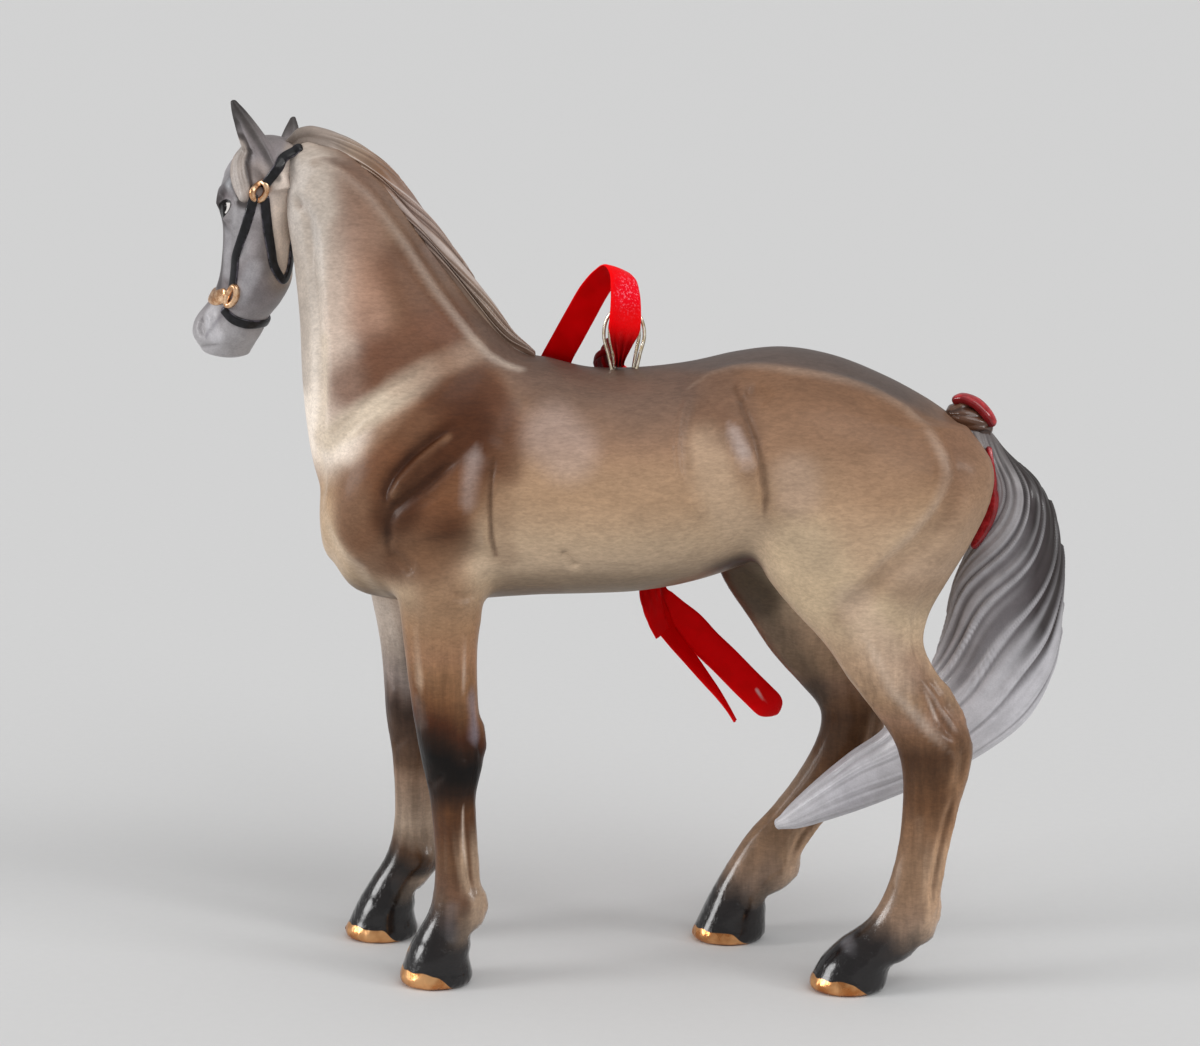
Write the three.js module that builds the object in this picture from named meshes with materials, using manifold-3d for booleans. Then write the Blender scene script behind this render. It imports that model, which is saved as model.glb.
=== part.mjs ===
// Porcelain pony ornament that stands on its four hooves and hangs from a ribbon.
// Millimetres, +Z up, head towards -X, near side (the pony's left) towards -Y.
// The origin is under the middle of the pony, on the surface that it stands on.
import * as THREE from "three";
import { mergeVertices } from "three/addons/utils/BufferGeometryUtils.js";
import Module from "manifold-3d";

const wasm = await Module();
wasm.setup();

// Overall stance
const withersHeight = 61.6;
const withersX = -12;
const pollHeight = 84.5;
const pollX = -33;
const croupHeight = 63.5;
const bellyHeight = 38.6;
const barrelHalfWidth = 12;
const chestHalfWidth = 9.6;
const rumpHalfWidth = 11.4;
const chestFrontX = -30.9;
const rumpBackX = 34.6;
// The middle of the figure, halfway between the muzzle and the end of the tail
const middleX = -0.62;

// Slip cast shell and its joints
const shellWall = 2.2;
const jointGap = 0.3;
const ventDiameter = 3;
const ventX = -6;
const hangerHoleDiameter = 5;
const hangerX = -0.4;

// Legs
const nearForeX = -18.6;
const offForeX = -23;
const nearHindX = 22.2;
const offHindX = 10.4;
const kneeHeight = 24.5;
const hockHeight = 25;
const foreTrack = 15;
const hindTrack = 16;
const hoofHalfWidth = 3.3;
const soleRounding = 0.5;
const coronetHalfWidth = 2.9;
const fetlockHalfWidth = 2.3;
const cannonHalfWidth = 1.9;
const kneeHalfWidth = 2.6;
const hockHalfWidth = 2.5;

// Neck and head
const headTurn = 33;
const pollY = 3.6;
const headHalfWidth = 3.9;
const muzzleHalfWidth = 2.7;
const neckHalfWidth = 4.4;
const earLength = 8.2;
const earHalfWidth = 1.5;
const earHalfDepth = 1.55;
const offEarLength = 6.7;
const forelockWidth = 2.1;
const forelockThickness = 0.8;

// Mane and tail
const maneHalfWidth = 1.7;
const maneThickness = 1.3;
const crestInset = 1;
const tailHalfWidth = 3.4;
const knotHalfWidth = 2.1;
const bandThickness = 0.7;
const bandWidth = 1.4;
const streamerThickness = 0.6;
const streamerWidth = 1.5;

// Halter, raised on the head
const strapWidth = 0.95;
const strapThickness = 0.45;
const nosebandWidth = 1.5;
const ringWidth = 0.5;
const ringThickness = 0.55;

// Wire loop, its cement and the ribbon
const wireDiameter = 0.36;
const wirePitch = 0.8;
const cementClearance = 0.3;
const cementDepth = 4.2;
const ribbonWidth = 3.2;
const ribbonThickness = 0.4;
const gatheredWidth = 1.5;
const gatheredThickness = 0.6;
const ribbonKnotSize = 4.8;

const RAD = Math.PI / 180;

// A ring is the section of a body: its front and back outline points in the
// side view, the y of its middle, its half width, and how it is shaped.
// turn is the heading in degrees, egg widens the front end, square is the
// exponent of the superellipse.
function ring(frontX, frontZ, backX, backZ, y, half, more = {}) {
  return {
    values: [
      frontX,
      frontZ,
      backX,
      backZ,
      y,
      half,
      more.turn ?? 0,
      more.egg ?? 0,
      more.square ?? 2,
    ],
  };
}

// Distances of the ring centres along the body.
function stationLengths(rings) {
  const lengths = [0];
  for (let i = 1; i < rings.length; i++) {
    const a = rings[i - 1].values;
    const b = rings[i].values;
    const dx = (b[0] + b[2] - a[0] - a[2]) / 2;
    const dz = (b[1] + b[3] - a[1] - a[3]) / 2;
    lengths.push(lengths[i - 1] + Math.hypot(dx, b[4] - a[4], dz));
  }
  return lengths;
}

// Smooth value of every ring number at the share t of the body's length.
function ringAt(rings, lengths, t) {
  const last = rings.length - 1;
  const s = t * lengths[last];
  let i = 0;
  while (i < last - 1 && s > lengths[i + 1]) i++;
  const span = lengths[i + 1] - lengths[i];
  const w = (s - lengths[i]) / span;
  const slope = (k, c) => {
    const lo = Math.max(0, k - 1);
    const hi = Math.min(last, k + 1);
    return (rings[hi].values[c] - rings[lo].values[c]) / (lengths[hi] - lengths[lo]);
  };
  return rings[0].values.map((_, c) => {
    const a = rings[i].values[c];
    const b = rings[i + 1].values[c];
    const w2 = w * w;
    const w3 = w2 * w;
    return (
      a * (2 * w3 - 3 * w2 + 1) +
      b * (3 * w2 - 2 * w3) +
      span * slope(i, c) * (w3 - 2 * w2 + w) +
      span * slope(i + 1, c) * (w3 - w2)
    );
  });
}

// Point of a section: u runs to the front, v to the near side. The depth is
// chosen so that the turned section still spans its outline in the side view.
function sectionPoint(values, angle, grow, shrink = 1, shift = [0, 0, 0]) {
  const [frontX, frontZ, backX, backZ, y, half, turn, egg, square] = values;
  const power = 2 / square;
  const u = Math.sign(Math.cos(angle)) * Math.abs(Math.cos(angle)) ** power;
  const v = Math.sign(Math.sin(angle)) * Math.abs(Math.sin(angle)) ** power;
  const sin = Math.sin(turn * RAD);
  const cos = Math.cos(turn * RAD);
  const run = (backX - frontX) / 2;
  const rise = (frontZ - backZ) / 2;
  const depth = Math.sqrt(Math.max(run * run - (half * sin) ** 2, 0.04)) / cos;
  const flat = Math.sign(run) * (Math.abs(run) > 0.01 ? depth : 0);
  const reach = Math.hypot(flat, rise);
  const scale = (shrink * (reach + grow)) / reach;
  const side = shrink * (half * (1 + egg * u) + grow);
  return new THREE.Vector3(
    (frontX + backX) / 2 - u * scale * flat * cos - v * side * sin + shift[0],
    y + u * scale * flat * sin - v * side * cos + shift[1],
    (frontZ + backZ) / 2 + u * scale * rise + shift[2],
  );
}

function centreOf(values) {
  return new THREE.Vector3(
    (values[0] + values[2]) / 2,
    values[4],
    (values[1] + values[3]) / 2,
  );
}

// Closed surface through the given loops of points, with both ends fanned.
function skin(loops, startPoint, endPoint) {
  const sides = loops[0].length;
  const points = loops.flat();
  const index = [];
  for (let i = 0; i + 1 < loops.length; i++)
    for (let j = 0; j < sides; j++) {
      const k = (j + 1) % sides;
      const a = i * sides + j;
      const b = i * sides + k;
      const c = (i + 1) * sides + j;
      const d = (i + 1) * sides + k;
      index.push(a, c, b, b, c, d);
    }
  const start = points.push(startPoint) - 1;
  const end = points.push(endPoint) - 1;
  const base = (loops.length - 1) * sides;
  for (let j = 0; j < sides; j++) {
    const k = (j + 1) % sides;
    index.push(start, j, k);
    index.push(end, base + k, base + j);
  }
  const geometry = new THREE.BufferGeometry();
  const flat = points.flatMap((p) => [p.x, p.y, p.z]);
  geometry.setAttribute("position", new THREE.Float32BufferAttribute(flat, 3));
  geometry.setIndex(index);
  return geometry;
}

// Body through its rings. grow swells it on every side, and domes round its
// ends by the given lengths.
function loft(rings, { sides = 20, steps = 20, grow = 0, domes = [0, 0] } = {}) {
  const lengths = stationLengths(rings);
  const total = lengths[lengths.length - 1];
  const loops = [];
  const loopAt = (values, shrink, shift) => {
    const loop = [];
    for (let j = 0; j < sides; j++)
      loop.push(sectionPoint(values, (2 * Math.PI * j) / sides, grow, shrink, shift));
    return loop;
  };
  const at = (t) => ringAt(rings, lengths, t);
  const outward = (t, inner) =>
    centreOf(at(t)).sub(centreOf(at(inner))).normalize();
  const ends = [
    { t: 0, axis: outward(0, 0.03), dome: domes[0] },
    { t: 1, axis: outward(1, 0.97), dome: domes[1] },
  ];
  const domeSteps = 3;
  const cap = (end, j) => {
    const a = (j / (domeSteps + 1)) * (Math.PI / 2);
    const shift = end.axis.clone().multiplyScalar((end.dome + grow) * Math.sin(a));
    return loopAt(at(end.t), Math.cos(a), shift.toArray());
  };
  if (ends[0].dome > 0) for (let j = domeSteps; j >= 1; j--) loops.push(cap(ends[0], j));
  else if (grow > 0) {
    const shift = ends[0].axis.clone().multiplyScalar(grow);
    loops.push(loopAt(at(0), 1, shift.toArray()));
  }
  const count = Math.max(steps, 2);
  for (let i = 0; i <= count; i++) loops.push(loopAt(at(i / count), 1, [0, 0, 0]));
  if (ends[1].dome > 0) for (let j = 1; j <= domeSteps; j++) loops.push(cap(ends[1], j));
  else if (grow > 0) {
    const shift = ends[1].axis.clone().multiplyScalar(grow);
    loops.push(loopAt(at(1), 1, shift.toArray()));
  }
  const tip = (end) =>
    centreOf(at(end.t)).add(end.axis.clone().multiplyScalar(end.dome + Math.max(grow, 0)));
  return { geometry: skin(loops, tip(ends[0]), tip(ends[1])), length: total };
}

// Solid of a closed geometry, turned to face outwards.
function solid(geometry) {
  const plain = new THREE.BufferGeometry();
  const source = geometry.index ? geometry.toNonIndexed() : geometry;
  plain.setAttribute("position", source.getAttribute("position"));
  const merged = mergeVertices(plain, 1e-4);
  const triVerts = new Uint32Array(merged.index.array);
  const vertProperties = new Float32Array(merged.attributes.position.array);
  const made = new wasm.Manifold(new wasm.Mesh({ numProp: 3, vertProperties, triVerts }));
  if (made.volume() >= 0) return made;
  for (let i = 0; i < triVerts.length; i += 3)
    [triVerts[i], triVerts[i + 1]] = [triVerts[i + 1], triVerts[i]];
  return new wasm.Manifold(new wasm.Mesh({ numProp: 3, vertProperties, triVerts }));
}

function geometryOf(body) {
  const mesh = body.getMesh();
  const positions = new Float32Array(mesh.numVert * 3);
  for (let i = 0; i < mesh.numVert; i++)
    positions.set(mesh.vertProperties.subarray(i * mesh.numProp, i * mesh.numProp + 3), i * 3);
  const geometry = new THREE.BufferGeometry();
  geometry.setAttribute("position", new THREE.BufferAttribute(positions, 3));
  geometry.setIndex(new THREE.BufferAttribute(mesh.triVerts, 1));
  return geometry;
}

// Largest body that a cut leaves; the crumbs beside it are dropped.
function mainBody(body) {
  const bodies = body.decompose();
  return bodies.reduce((a, b) => (b.volume() > a.volume() ? b : a));
}

const lofted = (rings, options) => solid(loft(rings, options).geometry);

// Round bar between two points, closed at both ends.
function bar(from, to, radius, sides = 24) {
  const axis = to.clone().sub(from);
  const geometry = new THREE.CylinderGeometry(radius, radius, axis.length(), sides);
  const up = new THREE.Vector3(0, 1, 0);
  geometry.applyQuaternion(
    new THREE.Quaternion().setFromUnitVectors(up, axis.clone().normalize()),
  );
  const middle = from.clone().add(to).multiplyScalar(0.5);
  geometry.translate(middle.x, middle.y, middle.z);
  return solid(geometry);
}

// Torso: its rings stand upright, front is the back line and back the belly.
const chestX = chestFrontX;
const rumpX = rumpBackX;
const dockX = rumpX - 2.8;
const dockHeight = croupHeight - 5.5;
const torsoRings = [
  ring(chestX + 1.2, bellyHeight + 13.9, chestX + 1.2, bellyHeight + 3.4, 0, chestHalfWidth * 0.64),
  ring(chestX + 3.2, withersHeight - 5.1, chestX + 3.2, bellyHeight + 0.6, 0, chestHalfWidth * 0.86),
  ring(chestX + 6.5, withersHeight - 2.1, chestX + 6.5, bellyHeight - 0.5, 0, chestHalfWidth),
  ring(withersX - 7.5, withersHeight - 0.2, withersX - 7.5, bellyHeight - 1, 0, chestHalfWidth + 0.5, { egg: -0.04 }),
  ring(withersX - 2, withersHeight + 1.2, withersX - 2, bellyHeight - 0.4, 0, chestHalfWidth + 1, { egg: -0.08 }),
  ring(withersX + 3, withersHeight + 0.9, withersX + 3, bellyHeight, 0, barrelHalfWidth - 0.9, { egg: -0.08 }),
  ring(-4, withersHeight - 0.2, -4, bellyHeight + 0.2, 0, barrelHalfWidth - 0.3, { egg: -0.06 }),
  ring(1, withersHeight - 0.2, 1, bellyHeight + 0.5, 0, barrelHalfWidth, { egg: -0.05 }),
  ring(6, withersHeight + 0.4, 6, bellyHeight + 1.4, 0, barrelHalfWidth - 0.2, { egg: -0.04 }),
  ring(11, croupHeight - 0.4, 11, bellyHeight + 3, 0, rumpHalfWidth),
  ring(15.5, croupHeight, 15.5, bellyHeight + 5, 0, rumpHalfWidth - 0.3),
  ring(20.5, croupHeight - 0.9, 20.5, bellyHeight + 6.2, 0, rumpHalfWidth - 0.5),
  ring(25.5, croupHeight - 2.9, 25.5, bellyHeight + 7.2, 0, rumpHalfWidth - 1.2),
  ring(rumpX - 5, croupHeight - 5.1, rumpX - 5, bellyHeight + 8.4, 0, rumpHalfWidth - 2.8),
  ring(rumpX - 2.2, croupHeight - 7, rumpX - 2.2, bellyHeight + 10, 0, rumpHalfWidth - 5.2),
];
const torsoOptions = { sides: 24, steps: 20, domes: [1.2, 1.6] };
const torsoLengths = stationLengths(torsoRings);
const torsoOuter = lofted(torsoRings, torsoOptions);
const torsoCutter = lofted(torsoRings, { ...torsoOptions, grow: jointGap });

// Height of the back or the belly line at a place along the torso.
function torsoLine(x, upper) {
  let best = 0;
  let least = Infinity;
  for (let i = 0; i <= 400; i++) {
    const values = ringAt(torsoRings, torsoLengths, i / 400);
    const miss = Math.abs(values[0] - x);
    if (miss < least) {
      least = miss;
      best = upper ? values[1] : values[3];
    }
  }
  return best;
}

const hangerTop = torsoLine(hangerX, true);
const innerShell = lofted(torsoRings.slice(1, -2), {
  sides: 14,
  steps: 10,
  grow: -shellWall,
});
const hangerHole = bar(
  new THREE.Vector3(hangerX, 0, hangerTop - 3 * shellWall),
  new THREE.Vector3(hangerX, 0, hangerTop + shellWall),
  hangerHoleDiameter / 2,
);
const ventHole = bar(
  new THREE.Vector3(ventX, 0, torsoLine(ventX, false) - shellWall),
  new THREE.Vector3(ventX, 0, torsoLine(ventX, false) + 3 * shellWall),
  ventDiameter / 2,
  16,
);
const torso = torsoOuter.subtract(innerShell).subtract(hangerHole).subtract(ventHole);

// Neck, from the poll down into the chest; front is the throat line.
const neckRings = [
  ring(pollX - 1.6, pollHeight - 4, pollX + 1.5, pollHeight - 0.3, pollY - 0.3, 2.4, { turn: 20 }),
  ring(pollX - 1.2, pollHeight - 8.3, pollX + 4.8, pollHeight - 1.7, pollY - 1.0, 3.1, { turn: 14 }),
  ring(pollX - 0.4, pollHeight - 13.3, pollX + 8.9, pollHeight - 4.6, pollY - 2.0, neckHalfWidth - 0.8, { turn: 8, egg: 0.05 }),
  ring(pollX + 0.2, pollHeight - 18.9, pollX + 12.3, pollHeight - 9.1, pollY - 2.9, neckHalfWidth - 0.1, { turn: 3, egg: 0.1 }),
  ring(chestX - 1.7, withersHeight - 1, withersX - 5.6, withersHeight + 9.6, 0.3, neckHalfWidth + 0.9, { egg: 0.13 }),
  ring(chestX - 1.3, withersHeight - 5.6, withersX - 2.6, withersHeight + 5.5, 0, neckHalfWidth + 2.1, { egg: 0.14 }),
  ring(chestX - 0.6, withersHeight - 10, withersX + 0.7, withersHeight + 1.8, 0, neckHalfWidth + 3.5, { egg: 0.1 }),
  ring(chestX + 0.7, withersHeight - 14, withersX + 4.4, withersHeight - 0.2, 0, neckHalfWidth + 4.4, { egg: 0.04 }),
  ring(chestX + 2.5, withersHeight - 16.6, withersX + 6.6, withersHeight - 3.6, 0, neckHalfWidth + 4.2),
];
const neckLengths = stationLengths(neckRings);
const neckOptions = { sides: 20, steps: 13 };

// Head, from the poll to the muzzle; front is the face, back the jaw.
const headRings = [
  ring(pollX - 4.6, pollHeight - 0.9, pollX + 0.4, pollHeight - 2.9, pollY + 0.1, headHalfWidth - 1.4, { turn: headTurn }),
  ring(pollX - 7.1, pollHeight - 3.3, pollX - 0.2, pollHeight - 6.1, pollY + 0.8, headHalfWidth - 0.5, { turn: headTurn }),
  ring(pollX - 8.2, pollHeight - 6.3, pollX - 0.8, pollHeight - 9.1, pollY + 1.3, headHalfWidth, { turn: headTurn }),
  ring(pollX - 8, pollHeight - 9.3, pollX - 1.1, pollHeight - 12.5, pollY + 1.6, headHalfWidth - 0.2, { turn: headTurn, egg: -0.08 }),
  ring(pollX - 8.3, pollHeight - 12.3, pollX - 1.3, pollHeight - 15.3, pollY + 1.9, headHalfWidth - 0.5, { turn: headTurn, egg: -0.12 }),
  ring(pollX - 8.8, pollHeight - 14.9, pollX - 2.4, pollHeight - 17.4, pollY + 2.5, headHalfWidth - 0.9, { turn: headTurn, egg: -0.12 }),
  ring(pollX - 9.8, pollHeight - 17.1, pollX - 3.8, pollHeight - 19.1, pollY + 3.2, muzzleHalfWidth, { turn: headTurn, egg: -0.08 }),
  ring(pollX - 11.3, pollHeight - 19.2, pollX - 4.6, pollHeight - 20.4, pollY + 3.7, muzzleHalfWidth, { turn: headTurn, square: 2.2 }),
  ring(pollX - 11.6, pollHeight - 20.8, pollX - 5.2, pollHeight - 21.5, pollY + 4.0, muzzleHalfWidth, { turn: headTurn, square: 2.3 }),
  ring(pollX - 10.8, pollHeight - 22.3, pollX - 5.9, pollHeight - 22.6, pollY + 4.2, muzzleHalfWidth - 0.5, { turn: headTurn, square: 2.3 }),
];
const headOptions = { sides: 20, steps: 16, domes: [1.2, 0.8] };
const headLengths = stationLengths(headRings);
const head = lofted(headRings, headOptions);
const headCutter = lofted(headRings, { ...headOptions, grow: jointGap });

// Point on a body, lifted off it, and the direction straight out there.
// t runs along the body, angle from its front to its near side.
function onBody(rings, lengths, t, angle, lift) {
  const values = ringAt(rings, lengths, t);
  const point = sectionPoint(values, angle * RAD, 0);
  const along = sectionPoint(ringAt(rings, lengths, t + 0.01), angle * RAD, 0).sub(point);
  const around = sectionPoint(values, (angle + 1) * RAD, 0).sub(point);
  const normal = around.cross(along).normalize();
  if (normal.dot(point.clone().sub(centreOf(values))) < 0) normal.negate();
  return { point: point.addScaledVector(normal, lift), normal };
}
const onHead = (t, angle, lift) => onBody(headRings, headLengths, t, angle, lift);
const onNeck = (t, angle, lift) => onBody(neckRings, neckLengths, t, angle, lift);

// Sections of a raised strap and of a woven band, as shares of their width
// and thickness.
const raisedProfile = [
  [-0.5, -0.5],
  [0.5, -0.5],
  [0.5, 0.1],
  [0.28, 0.5],
  [-0.28, 0.5],
  [-0.5, 0.1],
];
const bandProfile = [
  [-0.5, -0.3],
  [-0.4, -0.5],
  [0.4, -0.5],
  [0.5, -0.3],
  [0.5, 0.3],
  [0.4, 0.5],
  [-0.4, 0.5],
  [-0.5, 0.3],
];

// Flat strap along places on a surface, with its section lying flat there.
function strap(frames, width, thickness, closed = false, profile = raisedProfile) {
  const count = frames.length;
  const loops = frames.map((frame, i) => {
    const before = frames[closed ? (i + count - 1) % count : Math.max(0, i - 1)];
    const after = frames[closed ? (i + 1) % count : Math.min(count - 1, i + 1)];
    const along = after.point.clone().sub(before.point).normalize();
    const side = new THREE.Vector3().crossVectors(along, frame.normal).normalize();
    const out = new THREE.Vector3().crossVectors(side, along).normalize();
    const w = frame.width ?? width;
    const h = frame.thickness ?? thickness;
    return profile.map(([a, b]) =>
      frame.point.clone().addScaledVector(side, a * w).addScaledVector(out, b * h),
    );
  });
  const middle = (loop) =>
    loop.reduce((sum, p) => sum.add(p), new THREE.Vector3()).divideScalar(loop.length);
  if (!closed) return solid(skin(loops, middle(loops[0]), middle(loops[count - 1])));
  const sides = profile.length;
  const index = [];
  for (let i = 0; i < count; i++)
    for (let j = 0; j < sides; j++) {
      const a = i * sides + j;
      const b = i * sides + ((j + 1) % sides);
      const c = ((i + 1) % count) * sides + j;
      const d = ((i + 1) % count) * sides + ((j + 1) % sides);
      index.push(a, c, b, b, c, d);
    }
  const geometry = new THREE.BufferGeometry();
  const flat = loops.flat().flatMap((p) => [p.x, p.y, p.z]);
  geometry.setAttribute("position", new THREE.Float32BufferAttribute(flat, 3));
  geometry.setIndex(index);
  return solid(geometry);
}

// Smooth line of places through the given ones.
function smoothPlaces(places, steps, closed = false) {
  const line = new THREE.CatmullRomCurve3(places.map((p) => p.point), closed, "centripetal");
  const frames = [];
  const spans = closed ? places.length : places.length - 1;
  for (let i = 0; i < (closed ? steps : steps + 1); i++) {
    const t = i / steps;
    const k = Math.min(Math.floor(t * spans), spans - 1);
    const a = places[k].normal;
    const b = places[(k + 1) % places.length].normal;
    frames.push({ point: line.getPoint(t), normal: a.clone().lerp(b, t * spans - k).normalize() });
  }
  return frames;
}
const headPlaces = (marks, lift) => marks.map(([t, angle]) => onHead(t, angle, lift));

// Halter marks: [share of the head's length, angle round it]
const strapLift = jointGap + strapThickness / 2;
const ringLift = jointGap + ringThickness / 2;
const upperRing = { t: 0.16, angle: 126, alongHalf: 0.036, aroundHalf: 8 };
const lowerRing = { t: 0.685, angle: 99, alongHalf: 0.044, aroundHalf: 8 };
const ringClear = 0.066;
const lowerClear = 0.074;
const crownMarks = [
  [upperRing.t - ringClear, upperRing.angle + 6],
  [0.06, 135],
  [0.025, 138],
];
const pollMarks = [
  [0, 92],
  [0.005, 122],
  [0.02, 180],
  [0.005, 238],
  [0, 268],
];
const cheekMarks = [
  [upperRing.t + ringClear, upperRing.angle - 5],
  [0.33, 118],
  [0.41, 108],
  [0.5, 96],
  [lowerRing.t - lowerClear, 91],
];
const throatMarks = [
  [upperRing.t + ringClear, upperRing.angle + 18],
  [0.3, 151],
  [0.4, 157],
  [0.48, 163],
  [0.54, 180],
  [0.48, 197],
  [0.4, 203],
  [0.3, 209],
  [upperRing.t + ringClear, 342 - upperRing.angle],
];
const noseMarks = [
  [lowerRing.t + 0.045, lowerRing.angle - 28],
  [0.76, 40],
  [0.765, 0],
  [0.76, -40],
  [lowerRing.t + 0.045, 28 - lowerRing.angle],
];
const chinMarks = [
  [lowerRing.t + lowerClear + 0.015, lowerRing.angle - 2],
  [0.8, 120],
  [0.81, 145],
  [0.81, 180],
  [0.81, 215],
  [0.8, 240],
  [lowerRing.t + lowerClear + 0.015, 362 - lowerRing.angle],
];
const mirrored = (marks) => marks.map(([t, angle]) => [t, -angle]);
const ringMarks = (place) =>
  Array.from({ length: 10 }, (_, i) => {
    const a = (i / 10) * 2 * Math.PI;
    return [
      place.t + place.alongHalf * Math.cos(a),
      place.angle + place.aroundHalf * Math.sin(a),
    ];
  });
function strapThrough(places, steps, extra = 0, width = strapWidth) {
  return strap(smoothPlaces(places, steps), width + 2 * extra, strapThickness + 2 * extra);
}
const crownPlaces = [
  ...headPlaces(crownMarks, strapLift),
  ...pollMarks.map(([t, angle]) => onNeck(t, angle, strapLift)),
  ...headPlaces(mirrored(crownMarks).reverse(), strapLift),
];
const throatPlaces = headPlaces(throatMarks, strapLift);
function ringOn(marks, extra = 0) {
  const frames = smoothPlaces(headPlaces(marks, ringLift), 12, true);
  return strap(frames, ringWidth + 2 * extra, ringThickness + 2 * extra, true);
}

const crownStrap = strapThrough(crownPlaces, 20);
const throatStrap = strapThrough(throatPlaces, 18);
const nearCheekStrap = strapThrough(headPlaces(cheekMarks, strapLift), 9);
const offCheekStrap = strapThrough(headPlaces(mirrored(cheekMarks), strapLift), 9);
const noseband = strapThrough(headPlaces(noseMarks, strapLift), 9, 0, nosebandWidth);
const chinStrap = strapThrough(headPlaces(chinMarks, strapLift), 13);
const nearUpperRing = ringOn(ringMarks(upperRing));
const offUpperRing = ringOn(mirrored(ringMarks(upperRing)));
const nearLowerRing = ringOn(ringMarks(lowerRing));
const offLowerRing = ringOn(mirrored(ringMarks(lowerRing)));
const crownCutter = strapThrough(crownPlaces, 20, jointGap);
const throatCutter = strapThrough(throatPlaces, 18, jointGap);

const neckUncut = lofted(neckRings, neckOptions);
const neck = mainBody(
  neckUncut
    .subtract(torsoCutter)
    .subtract(headCutter)
    .subtract(crownCutter)
    .subtract(throatCutter)
    .subtract(ringOn(ringMarks(upperRing), jointGap))
    .subtract(ringOn(mirrored(ringMarks(upperRing)), jointGap)),
);
const neckCutter = lofted(neckRings, { ...neckOptions, grow: jointGap });

// Ears: leaf-shaped cones that stand beside the poll.
function earRings([baseX, baseY, baseZ], [leanX, leanY], length) {
  const at = (share, half, depth) => {
    const x = baseX + leanX * share;
    const z = baseZ + length * share;
    const y = baseY + leanY * share;
    const run = earHalfDepth * depth;
    const more = { turn: headTurn };
    return ring(x - run, z - run * 0.3, x + run, z + run * 0.3, y, earHalfWidth * half, more);
  };
  return [
    at(-0.1, 0.75, 0.9),
    at(0.15, 0.9, 1),
    at(0.4, 0.8, 0.94),
    at(0.65, 0.6, 0.72),
    at(0.85, 0.4, 0.46),
    at(0.97, 0.22, 0.22),
  ];
}
const earOptions = { sides: 10, steps: 8, domes: [0, 0.3] };
const nearEarRings = earRings([pollX - 2.2, pollY - 1.6, pollHeight - 5.1], [-4, -0.5], earLength);
const offEarRings = earRings([pollX - 2.2, pollY + 3.9, pollHeight - 5.7], [1, 1.2], offEarLength);
const earCut = (rings) =>
  mainBody(
    lofted(rings, earOptions)
      .subtract(headCutter)
      .subtract(neckCutter)
      .subtract(crownCutter),
  );
const nearEar = earCut(nearEarRings);
const offEar = earCut(offEarRings);
const nearEarCutter = lofted(nearEarRings, { ...earOptions, grow: jointGap });
const offEarCutter = lofted(offEarRings, { ...earOptions, grow: jointGap });

// Forelock: a leaf of hair that lies on the forehead, before the near ear.
const forelockPlaces = headPlaces(
  [
    [0.01, 60],
    [0.07, 72],
    [0.12, 88],
    [0.165, 101],
    [0.205, 110],
  ],
  jointGap + forelockThickness / 2,
);
const forelockShape = smoothPlaces(forelockPlaces, 9).map((place, i) => ({
  ...place,
  width: forelockWidth * (0.3 + 0.7 * Math.sin(Math.PI * Math.min(1, (i + 2) / 11)) ** 0.8),
}));
const forelock = mainBody(
  strap(forelockShape, forelockWidth, forelockThickness)
    .subtract(neckCutter)
    .subtract(nearEarCutter)
    .subtract(offEarCutter),
);

// Mane: a roll of hair along the crest, down to the withers.
const crestMarks = [
  [pollX + 1.6, pollHeight + 0.5, pollY - 0.4, 0.6],
  [pollX + 4.6, pollHeight - 0.4, pollY - 1.0, 0.9],
  [pollX + 9, pollHeight - 3.2, pollY - 2.2, 1],
  [pollX + 12.9, pollHeight - 7.7, pollY - 3.2, 1],
  [withersX - 4.9, withersHeight + 10.9, 0, 1],
  [withersX - 1.9, withersHeight + 6.7, 0, 0.95],
  [withersX + 0.6, withersHeight + 3.2, 0, 0.75],
  [withersX + 2.6, withersHeight + 1.5, 0, 0.4],
];
const maneRings = crestMarks.map(([x, z, y, share], i) => {
  const a = crestMarks[Math.max(0, i - 1)];
  const b = crestMarks[Math.min(crestMarks.length - 1, i + 1)];
  const run = Math.hypot(b[0] - a[0], b[1] - a[1]);
  const sink = maneThickness + crestInset;
  const dx = ((b[1] - a[1]) / run) * sink;
  const dz = ((b[0] - a[0]) / run) * sink;
  return ring(x, z, x + dx, z - dz, y, maneHalfWidth * share);
});
const mane = mainBody(
  lofted(maneRings, { sides: 10, steps: 18, domes: [0.5, 0.6] })
    .subtract(neckCutter)
    .subtract(torsoCutter)
    .subtract(headCutter)
    .subtract(nearEarCutter)
    .subtract(offEarCutter)
    .subtract(crownCutter),
);

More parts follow.
